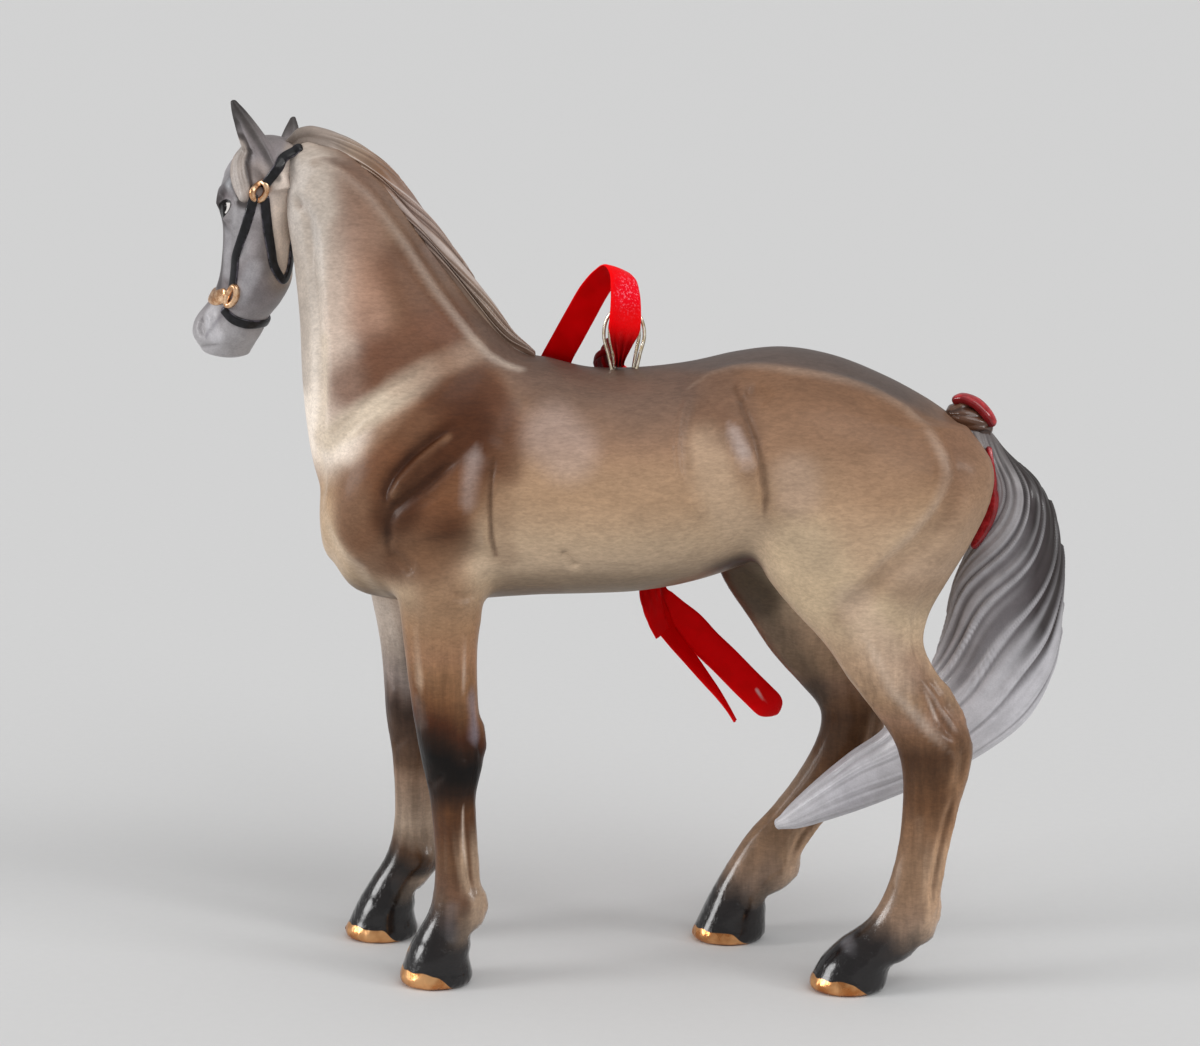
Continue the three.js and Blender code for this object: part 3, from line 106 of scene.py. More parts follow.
def stations(rings):
    # distance run through the rings' middles
    middle = np.stack([(rings[:, 0] + rings[:, 2]) / 2, rings[:, 4], (rings[:, 1] + rings[:, 3]) / 2], axis=1)
    return np.concatenate([[0], np.cumsum(np.linalg.norm(np.diff(middle, axis=0), axis=1))])


def ringsAt(rings, share):
    # cubic Hermite between the rings, with slopes from their neighbours' distances
    run = stations(rings)
    last = len(rings) - 1
    s = np.asarray(share, float) * run[-1]
    i = np.clip(np.searchsorted(run, s, side="left") - 1, 0, last - 1)
    span = run[i + 1] - run[i]
    w = ((s - run[i]) / span)[..., None]
    low, high = np.maximum(np.arange(last + 1) - 1, 0), np.minimum(np.arange(last + 1) + 1, last)
    slope = (rings[high] - rings[low]) / (run[high] - run[low])[:, None]
    span = span[..., None]
    return (rings[i] * (2 * w ** 3 - 3 * w ** 2 + 1) + rings[i + 1] * (3 * w ** 2 - 2 * w ** 3)
            + span * slope[i] * (w ** 3 - 2 * w ** 2 + w) + span * slope[i + 1] * (w ** 3 - w ** 2))


def sectionPoints(values, degrees, grow=0.0, shrink=1.0):
    # superellipse round the ring's middle; angle 0 is its front, 90 the near side, 180 its back
    frontX, frontZ, backX, backZ, y, half, turn, egg, square = np.moveaxis(values, -1, 0)
    angle = np.radians(degrees)
    power = 2.0 / square
    u = np.sign(np.cos(angle)) * np.abs(np.cos(angle)) ** power
    v = np.sign(np.sin(angle)) * np.abs(np.sin(angle)) ** power
    sin, cos = np.sin(np.radians(turn)), np.cos(np.radians(turn))
    run, rise = (backX - frontX) / 2, (frontZ - backZ) / 2
    depth = np.sqrt(np.maximum(run * run - (half * sin) ** 2, 0.04)) / cos
    flat = np.where(np.abs(run) > 0.01, np.sign(run) * depth, 0.0)
    reach = np.hypot(flat, rise)
    scale = shrink * (reach + grow) / reach
    side = shrink * (half * (1 + egg * u) + grow)
    return np.stack([
        (frontX + backX) / 2 - u * scale * flat * cos - v * side * sin,
        y + u * scale * flat * sin - v * side * cos,
        (frontZ + backZ) / 2 + u * scale * rise], axis=-1)


def loftGrid(rings, along, around, domes=(0.0, 0.0)):
    # grid of points through the rings, with a rounded cap of rings past each end
    share = np.linspace(0, 1, along)
    degrees = np.arange(around) * 360.0 / around
    t, a = np.meshgrid(share, degrees, indexing="ij")
    grid = sectionPoints(ringsAt(rings, t), a)
    middle = grid.mean(axis=1)
    rows = [grid]
    for end, dome in ((0, domes[0]), (-1, domes[1])):
        if dome <= 0:
            continue
        inner = middle[4] if end == 0 else middle[-5]
        axis = unit(middle[end] - inner)
        lean = np.linspace(0, np.pi / 2, 7)[1:-1][:, None, None]
        cap = middle[end] + (grid[end] - middle[end])[None] * np.cos(lean) + axis * dome * np.sin(lean)
        rows = [cap[::-1]] + rows if end == 0 else rows + [cap]
    return np.vstack(rows)


def gridFaces(rows, columns, ends=False):
    # quads of a grid that closes round its columns, and with ends also from its last row to its first
    i, j = np.meshgrid(np.arange(rows if ends else rows - 1), np.arange(columns), indexing="ij")
    k, after = (j + 1) % columns, (i + 1) % rows
    return np.stack([i * columns + j, i * columns + k, after * columns + k, after * columns + j],
                    axis=-1).reshape(-1, 4)


def closedTube(grid):
    # vertices and triangles of a grid whose two ends are fanned shut, faces outwards
    rows, columns = grid.shape[:2]
    points = np.vstack([grid.reshape(-1, 3), grid[0].mean(axis=0), grid[-1].mean(axis=0)])
    quads = gridFaces(rows, columns)
    ring = np.arange(columns)
    nextOne = (ring + 1) % columns
    first, last = rows * columns, rows * columns + 1
    base = (rows - 1) * columns
    tris = np.vstack([quads[:, [0, 1, 2]], quads[:, [0, 2, 3]],
                      np.stack([np.full(columns, first), nextOne, ring], axis=1),
                      np.stack([np.full(columns, last), base + ring, base + nextOne], axis=1)])
    p = points[tris]
    volume = np.einsum("ij,ij->", p[:, 0], np.cross(p[:, 1], p[:, 2]))
    return points, tris if volume > 0 else tris[:, ::-1]


def newObject(name, points, faces, scale=mm):
    # mesh object from arrays of points and of faces that all have the same number of corners
    mesh = bpy.data.meshes.new(name)
    faces = np.asarray(faces)
    sides = faces.shape[1]
    mesh.vertices.add(len(points))
    mesh.vertices.foreach_set("co", np.ascontiguousarray(points * scale, dtype=np.float32).ravel())
    mesh.loops.add(faces.size)
    mesh.loops.foreach_set("vertex_index", faces.ravel().astype(np.int32))
    mesh.polygons.add(len(faces))
    mesh.polygons.foreach_set("loop_start", np.arange(0, faces.size, sides, dtype=np.int32))
    mesh.update(calc_edges=True)
    mesh.validate()
    mesh.polygons.foreach_set("use_smooth", np.ones(len(faces), dtype=bool))
    thing = bpy.data.objects.new(name, mesh)
    scene.collection.objects.link(thing)
    print(name, len(faces) * (sides - 2), "triangles")
    return thing


def seated(places, out, cloud, sit):
    # moves places along their outward ways until they lie sit above the points of a skin
    lifts = []
    for place, way in zip(places, out):
        step = cloud - place
        high = step @ way
        aside = np.linalg.norm(step - high[:, None] * way, axis=1)
        close = (aside < 0.4) & (np.abs(high) < 1.3)
        lifts.append(high[close].max() if close.any() else 0.0)
    lifts = np.array(lifts)
    wide = np.ones(7) / 7
    lifts = np.convolve(np.pad(lifts, 3, mode="edge"), wide, mode="valid")
    return places + out * (lifts + sit)[:, None]


def fused(name, solids, voxel):
    # the overlapping solids become one skin by a voxel remesh, in millimetres
    start = np.cumsum([0] + [len(points) for points, tris in solids])
    points = np.vstack([points for points, tris in solids])
    tris = np.vstack([tris + start[k] for k, (_, tris) in enumerate(solids)])
    rough = newObject(name + "Rough", points, tris, 1.0)
    melt = rough.modifiers.new("melt", "REMESH")
    melt.mode, melt.voxel_size, melt.adaptivity = "VOXEL", voxel, 0.0
    made = bpy.data.meshes.new_from_object(rough.evaluated_get(bpy.context.evaluated_depsgraph_get()))
    skin = np.empty(len(made.vertices) * 3, np.float32)
    made.vertices.foreach_get("co", skin)
    corners = np.empty(len(made.loops), np.int32)
    made.loops.foreach_get("vertex_index", corners)
    quads = corners.reshape(-1, 4)
    bpy.data.objects.remove(rough)
    bpy.data.meshes.remove(made)
    return skin.reshape(-1, 3).astype(float), quads


def edgesOf(faces):
    # each pair of neighbouring corners once
    pairs = np.vstack([faces[:, [k, (k + 1) % faces.shape[1]]] for k in range(faces.shape[1])])
    return np.unique(np.sort(pairs, axis=1), axis=0)


def neighbourMean(values, edges, count):
    # mean over each vertex's neighbours, column by column
    degree = np.maximum(np.bincount(edges.ravel(), minlength=count), 1)
    both = np.concatenate([edges[:, 0], edges[:, 1]])
    other = np.concatenate([edges[:, 1], edges[:, 0]])
    columns = values.reshape(count, -1)
    total = [np.bincount(both, weights=columns[other, c], minlength=count) for c in range(columns.shape[1])]
    return (np.stack(total, axis=1) / degree[:, None]).reshape(values.shape)


def relax(points, edges, rounds, share=0.5, mask=None):
    # moves each vertex part of the way to its neighbours' mean
    weight = share if mask is None else share * mask[:, None]
    for _ in range(rounds):
        points = points + weight * (neighbourMean(points, edges, len(points)) - points)
    return points


def evenOut(points, edges, rounds):
    # Taubin smoothing: a step in and a slightly longer step out, so nothing shrinks
    for _ in range(rounds):
        points = relax(points, edges, 1, 0.5)
        points = relax(points, edges, 1, -0.53)
    return points


def normalsOf(points, faces):
    # sum of the crossed diagonals or sides of a vertex's faces, at length 1
    corner = points[faces]
    across = np.cross(corner[:, 2] - corner[:, 0], corner[:, -1] - corner[:, 1])
    total = np.zeros_like(points)
    for k in range(faces.shape[1]):
        for c in range(3):
            total[:, c] += np.bincount(faces[:, k], weights=across[:, c], minlength=len(points))
    return unit(total)


def reachOf(points, line):
    # distance of each point to a polyline, and how far along it the nearest place lies (0 to 1)
    line = np.asarray(line, float)
    best = np.full(len(points), 1e9)
    spot = np.zeros(len(points))
    run = np.concatenate([[0], np.cumsum(np.linalg.norm(np.diff(line, axis=0), axis=1))])
    for k in range(len(line) - 1):
        step = line[k + 1] - line[k]
        w = np.clip((points - line[k]) @ step / max(step @ step, 1e-9), 0, 1)
        far = np.linalg.norm(points - line[k] - w[:, None] * step, axis=1)
        closer = far < best
        best = np.where(closer, far, best)
        spot = np.where(closer, (run[k] + w * (run[k + 1] - run[k])) / run[-1], spot)
    return best, spot


def refined(points, tris, marked):
    # halves every edge whose two ends are marked; triangles split by which of their edges were halved
    edges = edgesOf(tris)
    cut = edges[marked[edges[:, 0]] & marked[edges[:, 1]]]
    key = cut[:, 0].astype(np.int64) * len(points) + cut[:, 1]
    fresh = np.vstack([points, points[cut].mean(axis=1)])

    def middleOf(a, b):
        # number of the new vertex between a and b, or -1 where that edge is not cut
        pair = np.minimum(a, b).astype(np.int64) * len(points) + np.maximum(a, b)
        spot = np.clip(np.searchsorted(key, pair), 0, len(key) - 1)
        return np.where(key[spot] == pair, len(points) + spot, -1)

    done = []
    mids = np.stack([middleOf(tris[:, k], tris[:, (k + 1) % 3]) for k in range(3)], axis=1)
    count = (mids >= 0).sum(axis=1)
    done.append(tris[count == 0])
    for turn in range(3):
        a, b, c = (tris[:, (turn + k) % 3] for k in range(3))
        ab, bc, ca = (mids[:, (turn + k) % 3] for k in range(3))
        one = (count == 1) & (ab >= 0)
        done += [np.stack([a, ab, c], 1)[one], np.stack([ab, b, c], 1)[one]]
        two = (count == 2) & (ca < 0)
        done += [np.stack([ab, b, bc], 1)[two], np.stack([a, ab, bc], 1)[two], np.stack([a, bc, c], 1)[two]]
    a, b, c = tris.T
    ab, bc, ca = mids.T
    three = count == 3
    for corners in ((a, ab, ca), (ab, b, bc), (ca, bc, c), (ab, bc, ca)):
        done.append(np.stack(corners, 1)[three])
    return fresh, np.vstack(done)


def nearLines(points, lines, reach):
    # which points lie within reach of any of the lines
    marked = np.zeros(len(points), bool)
    for line in lines:
        line = np.asarray(line, float)
        box = np.all((points > line.min(axis=0) - reach) & (points < line.max(axis=0) + reach), axis=1) & ~marked
        if box.any():
            marked[np.flatnonzero(box)] = reachOf(points[box], line)[0] < reach
    return marked


def triangled(quads):
    # two triangles for each quad
    return np.vstack([quads[:, [0, 1, 2]], quads[:, [0, 2, 3]]])


def carve(points, normals, strokes):
    # each stroke adds height times a bell of the distance to its line, fading at the line's ends
    lift = np.zeros(len(points))
    for line, width, height in strokes:
        line = np.asarray(line, float)
        near = np.all((points > line.min(axis=0) - 3.2 * width) & (points < line.max(axis=0) + 3.2 * width), axis=1)
        if not near.any():
            continue
        far, spot = reachOf(points[near], line)
        fade = np.minimum(1.0, np.minimum(spot, 1 - spot) * 5 + 0.25) if len(line) > 2 else 1.0
        lift[near] += height * fade * np.exp(-(far / width) ** 2)
    return points + normals * lift[:, None]


# Colour tools
def tone(text):
    # linear colour of a written colour such as b09a80
    level = np.array([int(text[k:k + 2], 16) for k in (0, 2, 4)]) / 255.0
    return np.where(level <= 0.04045, level / 12.92, ((level + 0.055) / 1.055) ** 2.4)


def stops(value, table):
    # colour that runs through the written colours of a table of (value, colour)
    spots = [spot for spot, _ in table]
    tones = np.array([tone(text) for _, text in table])
    return np.stack([np.interp(value, spots, tones[:, c]) for c in range(3)], axis=1)


def spray(paint, mask, colour):
    # airbrush: lets the colour cover the paint by the mask
    colour = tone(colour) if isinstance(colour, str) else colour
    return paint + (colour - paint) * np.clip(mask, 0, 1)[:, None]


def brush(points, line, radius, soft):
    # 1 inside the radius of a line, 0 beyond radius plus soft
    far, _ = reachOf(points, line)
    return 1 - stepUp(far, radius, radius + soft)


def sprayAll(paint, brushOf, rows):
    # rows of (strength, line, radius, soft edge, colour), sprayed in turn; three shares for a colour dim the paint
    for strength, line, radius, soft, colour, *more in rows:
        colour = colour if isinstance(colour, str) else paint * colour
        paint = spray(paint, strength * brushOf(line, radius, soft, *more), colour)
    return paint


def setColours(thing, name, colours):
    # a colour for each vertex
    layer = thing.data.color_attributes.new(name, "FLOAT_COLOR", "POINT")
    full = np.ones((len(colours), 4), np.float32)
    full[:, :3] = colours
    layer.data.foreach_set("color", full.ravel())


def setNumbers(thing, name, numbers):
    # a number for each vertex
    layer = thing.data.attributes.new(name, "FLOAT", "POINT")
    layer.data.foreach_set("value", np.ascontiguousarray(numbers, dtype=np.float32))


# Shape tables, in millimetres
torsoRings = [
    (-29.08, 52.5, -29.08, 42, 0, 6.14), (-27.08, 56.5, -27.08, 39.2, 0, 8.26),
    (-23.78, 59.5, -23.78, 38.1, 0, 9.6), (-18.88, 61.4, -18.88, 37.6, 0, 10.1, 0, -0.04),
    (-13.38, 62.8, -13.38, 38.2, 0, 10.6, 0, -0.08), (-8.38, 62.5, -8.38, 38.6, 0, 11.1, 0, -0.08),
    (-3.38, 61.4, -3.38, 38.8, 0, 11.7, 0, -0.06), (1.62, 61.4, 1.62, 39.1, 0, 12, 0, -0.05),
    (6.62, 62, 6.62, 40, 0, 11.8, 0, -0.04), (11.62, 63.1, 11.62, 41.6, 0, 11.4),
    (16.12, 63.5, 16.12, 43.6, 0, 11.1), (21.12, 62.6, 21.12, 44.8, 0, 10.9),
    (26.12, 60.6, 26.12, 45.8, 0, 10.2), (30.22, 58.4, 30.22, 47, 0, 8.6),
    (33.02, 56.5, 33.02, 48.6, 0, 6.2),
]
neckRings = [
    (-33.98, 80.5, -30.88, 84.2, 3.3, 2.4, 20), (-33.58, 76.2, -27.58, 82.8, 2.6, 3.1, 14),
    (-32.78, 71.2, -23.48, 79.9, 1.6, 3.6, 8, 0.05), (-32.18, 65.6, -20.08, 75.4, 0.7, 4.3, 3, 0.1),
    (-31.98, 60.6, -16.98, 71.2, 0.3, 5.3, 0, 0.13), (-31.58, 56, -13.98, 67.1, 0, 6.5, 0, 0.14),
    (-30.88, 51.6, -10.68, 63.4, 0, 7.9, 0, 0.1), (-29.58, 47.6, -6.98, 61.4, 0, 8.8, 0, 0.04),
    (-27.78, 45, -4.78, 58, 0, 8.6),
]
headRings = [
    (-36.98, 83.6, -31.98, 81.6, 3.7, 2.5, 33), (-39.48, 81.2, -32.58, 78.4, 4.4, 3.4, 33),
    (-40.58, 78.2, -33.18, 75.4, 4.9, 3.9, 33), (-40.38, 75.2, -33.48, 72, 5.2, 3.7, 33, -0.08),
    (-40.68, 72.2, -33.68, 69.2, 5.5, 3.4, 33, -0.12), (-41.18, 69.6, -34.78, 67.1, 6.1, 3, 33, -0.12),
    (-42.18, 67.4, -36.18, 65.4, 6.8, 2.7, 33, -0.08), (-43.68, 65.3, -36.98, 64.1, 7.3, 2.7, 33, 0, 2.2),
    (-43.98, 63.7, -37.58, 63, 7.6, 2.7, 33, 0, 2.3), (-43.18, 62.2, -38.28, 61.9, 7.8, 2.2, 33, 0, 2.3),
]
nearForeRings = [
    (-24.38, 48, -12.78, 47.5, -5.3, 3.6), (-22.98, 43, -12.98, 42.4, -6.4, 3.8, 0, -0.05),
    (-21.98, 39.2, -13.48, 38.8, -7.1, 3.6), (-21.38, 34.8, -14.08, 34.6, -7.5, 3.1),
    (-20.78, 29.4, -14.08, 29.4, -7.5, 2.6), (-20.28, 26, -13.78, 26, -7.5, 2.5),
    (-19.78, 23.2, -13.58, 23.2, -7.5, 2.6), (-18.98, 19.2, -14.38, 19.2, -7.5, 2.1),
    (-18.58, 14.6, -14.28, 14.6, -7.5, 1.9), (-18.58, 10.8, -13.98, 10.6, -7.5, 2),
    (-19.08, 7.8, -13.38, 7.2, -7.5, 2.3), (-20.18, 5.6, -14.58, 4.9, -7.5, 2.3),
    (-21.28, 3.6, -15.18, 3, -7.5, 2.9), (-21.98, 1.6, -14.88, 1.4, -7.5, 3.1),
    (-22.28, 0.6, -14.78, 0.5, -7.5, 3.3), (-21.78, 0, -15.28, 0, -7.5, 2.8),
]
offForeRings = [
    (-27.38, 48, -16.38, 47.5, 5.3, 3.6), (-26.98, 42, -16.98, 41.4, 6.4, 3.8, 0, -0.05),
    (-26.28, 37.6, -17.98, 37.2, 7.1, 3.5), (-25.38, 32.4, -18.78, 32.2, 7.5, 3),
    (-24.98, 28, -18.68, 28, 7.5, 2.5), (-24.78, 24, -18.48, 24, 7.5, 2.6),
    (-24.18, 19.6, -19.48, 19.6, 7.5, 2.1), (-23.98, 15, -19.68, 15, 7.5, 1.9),
    (-24.18, 11.6, -19.78, 11.2, 7.5, 2), (-24.98, 8.8, -19.58, 7.9, 7.5, 2.3),
    (-26.58, 6.2, -21.38, 5, 7.5, 2.3), (-27.98, 3.8, -22.08, 3, 7.5, 2.9),
    (-28.98, 1.6, -21.78, 1.4, 7.5, 3.1), (-29.48, 0.6, -21.68, 0.5, 7.5, 3.3),
    (-28.88, 0, -22.18, 0, 7.5, 2.8),
]
nearHindRings = [
    (14.12, 59, 33.82, 56.5, -4.4, 4.6), (12.42, 52.5, 36.32, 52.8, -5.4, 5.8),
    (12.22, 46.8, 36.12, 49.2, -5.8, 6), (13.82, 42.4, 34.32, 45.2, -6.1, 5.6),
    (16.62, 38.8, 32.22, 41.8, -6.8, 4.7), (20.02, 35.2, 30.22, 38.2, -7.4, 3.7),
    (22.42, 31.8, 29.82, 35, -8, 3.1), (25.02, 28.4, 32.22, 30.6, -8, 2.6),
    (27.02, 25.4, 34.62, 25.8, -8, 2.5), (27.82, 22.4, 34.52, 22.6, -8, 2.4),
    (27.92, 18.8, 33.42, 18.6, -8, 2.1), (27.42, 14, 32.32, 13.4, -8, 1.9),
    (26.22, 9.8, 31.72, 8.6, -8, 2.1), (24.62, 7.2, 31.22, 5.4, -8, 2.3),
    (22.02, 5.2, 28.42, 3.2, -8, 2.5), (20.22, 3.4, 27.02, 2.6, -8, 2.9),
    (19.22, 1.6, 26.72, 1.3, -8, 3.1), (18.82, 0.6, 26.62, 0.5, -8, 3.3), (19.32, 0, 26.12, 0, -8, 2.8),
]
offHindRings = [
    (9.62, 56, 28.62, 55, 4.4, 4.6), (8.42, 48, 30.02, 50, 5.4, 5.7), (8.62, 42.6, 28.82, 45.6, 6, 5.6),
    (10.22, 38.6, 26.82, 42, 6.4, 4.9), (12.62, 34.8, 25.22, 38.6, 7.2, 4),
    (15.22, 30.8, 24.62, 34.4, 7.8, 3.3), (18.22, 27.4, 25.82, 29.4, 8, 2.7),
    (20.22, 24.8, 27.02, 24.6, 8, 2.5), (20.02, 22, 26.22, 20.6, 8, 2.4), (18.02, 18, 23.22, 16, 8, 2.1),
    (15.42, 14.4, 20.22, 12.2, 8, 1.9), (12.82, 11.4, 18.42, 9.2, 8, 2.1),
    (11.02, 8.6, 17.62, 6.4, 8, 2.3), (9.62, 6.2, 15.22, 4.4, 8, 2.4), (8.42, 3.8, 14.82, 2.9, 8, 2.9),
    (7.42, 1.6, 14.82, 1.4, 8, 3.1), (7.02, 0.6, 14.72, 0.5, 8, 3.3), (7.52, 0, 14.22, 0, 8, 2.8),
]
tailRings = [
    (32.02, 55.4, 35.62, 56.4, 0, 1.8), (33.62, 52.8, 37.92, 53.4, 0, 2.6),
    (35.22, 48.8, 42.02, 49.2, 0, 3.3), (34.62, 44, 43.82, 43.6, 0, 3.4),
    (33.22, 39.6, 44.02, 37.6, 0.1, 3.4), (32.42, 35, 43.32, 31.4, 0.2, 3.3),
    (31.22, 31.6, 40.82, 26, 0.4, 3.2), (29.22, 28.6, 36.22, 22, 0.8, 3.1),
    (26.42, 24.4, 30.62, 18.8, 1.3, 2.8), (23.02, 21.7, 25.42, 16.3, 1.9, 2.3),
    (19.62, 18.6, 21.22, 14.6, 2.4, 1.8), (17.02, 15.9, 18.02, 13.5, 2.8, 1.2),
    (15.82, 14.4, 16.02, 13.3, 3, 0.6),
]
knotRings = [
    (32.62, 57.9, 32.22, 56.2, 0, 1.26), (33.62, 58.3, 33.02, 55.4, 0, 1.99),
    (35.02, 57.9, 34.02, 54.8, 0, 2.1), (36.12, 56.9, 35.02, 54.4, 0, 1.89),
    (36.62, 56, 35.82, 54.4, 0, 1.26),
]
maneRings = [
    (-30.78, 85, -31.44, 82.8, 3.2, 1.02), (-27.78, 84.1, -28.81, 82.04, 2.6, 1.53),
    (-23.38, 81.3, -24.9, 79.57, 1.4, 1.7), (-19.48, 76.8, -21.27, 75.36, 0.4, 1.7),
    (-16.28, 72.5, -18.14, 71.14, 0, 1.7), (-13.28, 68.3, -15.15, 66.96, 0, 1.61),
    (-10.78, 64.8, -12.52, 63.29, 0, 1.27), (-8.78, 63.1, -10.27, 61.35, 0, 0.68),
]
nearEarRings = [
    (-35.58, 78.16, -32.79, 79, 2.05, 1.12, 33), (-36.73, 80.17, -33.63, 81.1, 1.93, 1.35, 33),
    (-37.64, 82.24, -34.72, 83.12, 1.8, 1.2, 33), (-38.3, 84.4, -36.06, 85.06, 1.68, 0.9, 33),
    (-38.69, 86.16, -37.27, 86.58, 1.57, 0.6, 33), (-38.8, 87.25, -38.12, 87.46, 1.52, 0.33, 33),
]
offEarRings = [
    (-36.08, 77.71, -33.29, 78.55, 7.38, 1.12, 33), (-35.98, 79.34, -32.88, 80.27, 7.68, 1.35, 33),
    (-35.64, 81.04, -32.72, 81.92, 7.98, 1.2, 33), (-35.05, 82.82, -32.81, 83.49, 8.28, 0.9, 33),
    (-34.44, 84.28, -33.02, 84.71, 8.52, 0.6, 33), (-33.95, 85.2, -33.27, 85.4, 8.66, 0.33, 33),
]
ribbonRoute = [
    (11.45, 9.2, 23.1, 0.06, 1, 0.06, 0), (10.75, 9.3, 24.28, 0.11, 0.99, 0.11, 0),
    (9.65, 9.4, 25.89, 0.16, 0.98, 0.16, 0), (8.2, 9.5, 27.72, 0.17, 0.97, 0.17, 0),
    (6.75, 9.6, 29.55, 0.2, 0.96, 0.2, 0), (5.4, 9.7, 31.16, 0.25, 0.93, 0.25, 0),
    (4.2, 9.9, 32.79, 0.35, 0.87, 0.35, 0), (3.2, 10.1, 34.51, 0.6, 0.53, 0.6, 0.2),
    (2.4, 10.3, 37.6, 1, 0, 0.1, 0.8), (1.6, 10.5, 39.6, 1, 0, 0, 1), (0.02, 11.2, 42.2, 1, 0, 0, 0.7),
    (-0.88, 12.1, 46, 1, 0.05, 0, 0), (-1.9, 12.4, 50, 1, 0.1, 0, 0), (-3.9, 12.2, 53.8, 0.95, 0.2, -0.1, 0),
    (-6.1, 11, 56.9, 0.9, 0.3, -0.2, 0), (-7.4, 8.6, 59.6, 0.85, 0.4, -0.35, 0),
    (-6.89, 5.6, 61.55, 0.82, 0.42, -0.4, 0), (-5.7, 4.4, 63.82, 0.82, 0.42, -0.4, 0),
    (-4.32, 3.4, 66.39, 0.8, 0.44, -0.4, 0), (-2.95, 2.4, 68.85, 0.78, 0.48, -0.4, 0),
    (-1.75, 1.4, 70.46, 0.68, 0.6, -0.4, 0), (-0.77, 0.3, 71.24, 0.64, 0.68, -0.34, 0),
    (0.01, -0.8, 70.57, 0.74, 0.6, -0.25, 0), (0.3, -1.5, 69.05, 0.84, 0.5, -0.12, 0),
    (0.33, -1.8, 67.19, 0.93, 0.36, -0.02, 0), (0.2, -1.8, 65.54, 0.98, 0.2, 0, 0),
    (-0.05, -1.6, 64.03, 1, 0.1, 0, 0.6), (-0.25, -0.9, 62.4, 1, 0, 0, 1.35), (-0.4, 0.2, 61.9, 1, 0, 0, 1.35),
    (-0.8, 1.5, 62.4, 0.8, 0, 0.6, 1.3), (-1.5, 3, 63.2, 0.5, 0, 0.86, 0.9), (-2.2, 5, 62.2, 0.7, 0, 0.7, 0.6),
    (-1.6, 7.6, 60.4, 0.95, 0, 0.3, 0.3), (0.52, 10.2, 57.8, 1, 0, 0, 0), (2.02, 12, 54, 1, 0, 0, 0),
    (3.42, 12.8, 49.6, 1, 0, 0, 0), (4.52, 12.8, 45.6, 1, 0, 0, 0), (4.4, 12.3, 42.2, 1, 0, 0.1, 0.7),
    (3.6, 11.9, 39.4, 1, 0, 0.2, 1), (3.04, 11.6, 37.02, 0.98, 0, 0.2, 0.6),
    (3.36, 11.4, 35.65, 0.95, 0, 0.3, 0.1), (4.76, 11.2, 34.34, 0.8, 0, 0.6, 0),
    (6.66, 11.2, 32.84, 0.72, 0, 0.69, 0), (8.37, 11.2, 30.97, 0.71, 0, 0.71, 0),
    (10.33, 11.2, 29.08, 0.71, 0, 0.71, 0), (12.3, 11.2, 27.05, 0.71, 0, 0.71, 0),
    (13.97, 11.3, 25.37, 0.71, 0, 0.71, 0), (15.3, 11.7, 23.95, 0.71, 0, 0.71, 0),
    (15.84, 12.4, 23.2, 0.71, 0, 0.71, 0), (15.33, 13.2, 23.58, 0.71, 0, 0.71, 0),
    (14.01, 13.6, 24.82, 0.71, 0, 0.71, 0), (12.33, 13.7, 26.46, 0.71, 0, 0.71, 0),
    (10.34, 13.7, 28.51, 0.71, 0, 0.71, 0), (8.36, 13.8, 30.39, 0.71, 0, 0.71, 0),
    (6.64, 13.9, 32.25, 0.72, 0, 0.69, 0), (4.76, 14.1, 33.93, 0.8, 0, 0.6, 0.2),
    (3.17, 14.2, 35.96, 0.95, 0, 0.3, 0.9), (2.62, 14.1, 39, 1, 0, 0, 1), (2.42, 13, 41.4, 1, 0, 0, 1),
    (2.42, 11.3, 42.3, 1, 0, 0, 1), (2.42, 9.6, 41.6, 1, 0, 0, 1), (2.5, 8.6, 39.6, 1, 0, 0, 0.9),
    (2.55, 8.5, 36.95, 0.9, 0.4, 0, 0.5), (2.93, 8.5, 35.38, 0.62, 0.78, 0, 0.1),
    (3.45, 8.6, 33.77, 0.56, 0.83, 0, 0), (4.0, 8.6, 32.6, 0.52, 0.85, 0, 0),
]
wireLoop = [   # x and z of one turn of the wire
    (-1.08, 58.73), (-1.08, 60.93), (-1.43, 62.73), (-1.88, 64.63), (-1.6, 66.23), (-0.78, 67.23), (0.12, 67.43),
    (1.02, 67.23), (1.84, 66.23), (2.12, 64.63), (1.67, 62.73), (1.32, 60.93), (1.32, 58.73),
]


# Material tools
def shaderMath(operation, turned=False):
    # an operator of Flow; turned is its reflected form, as in 1 - mask
    return lambda self, other: self.math(operation, other, turned)


class Flow:
    # an output socket; arithmetic on it adds Math nodes, or Vector Math nodes for colours and places
    def __init__(self, sheet, socket):
        self.sheet, self.socket = sheet, socket

    def math(self, operation, other, turned):
        # vector math when either side is a colour or a place
        wide = any(isinstance(f, Flow) and f.socket.type in ("VECTOR", "RGBA") for f in (self, other))
        made = self.sheet.tree.nodes.new("ShaderNodeVectorMath" if wide else "ShaderNodeMath")
        made.operation = operation
        for k, value in enumerate((other, self) if turned else (self, other)):
            self.sheet.feed(made.inputs[k], value)
        return Flow(self.sheet, made.outputs[0])

    __add__, __radd__ = shaderMath("ADD"), shaderMath("ADD", True)
    __sub__, __rsub__ = shaderMath("SUBTRACT"), shaderMath("SUBTRACT", True)
    __mul__, __rmul__ = shaderMath("MULTIPLY"), shaderMath("MULTIPLY", True)


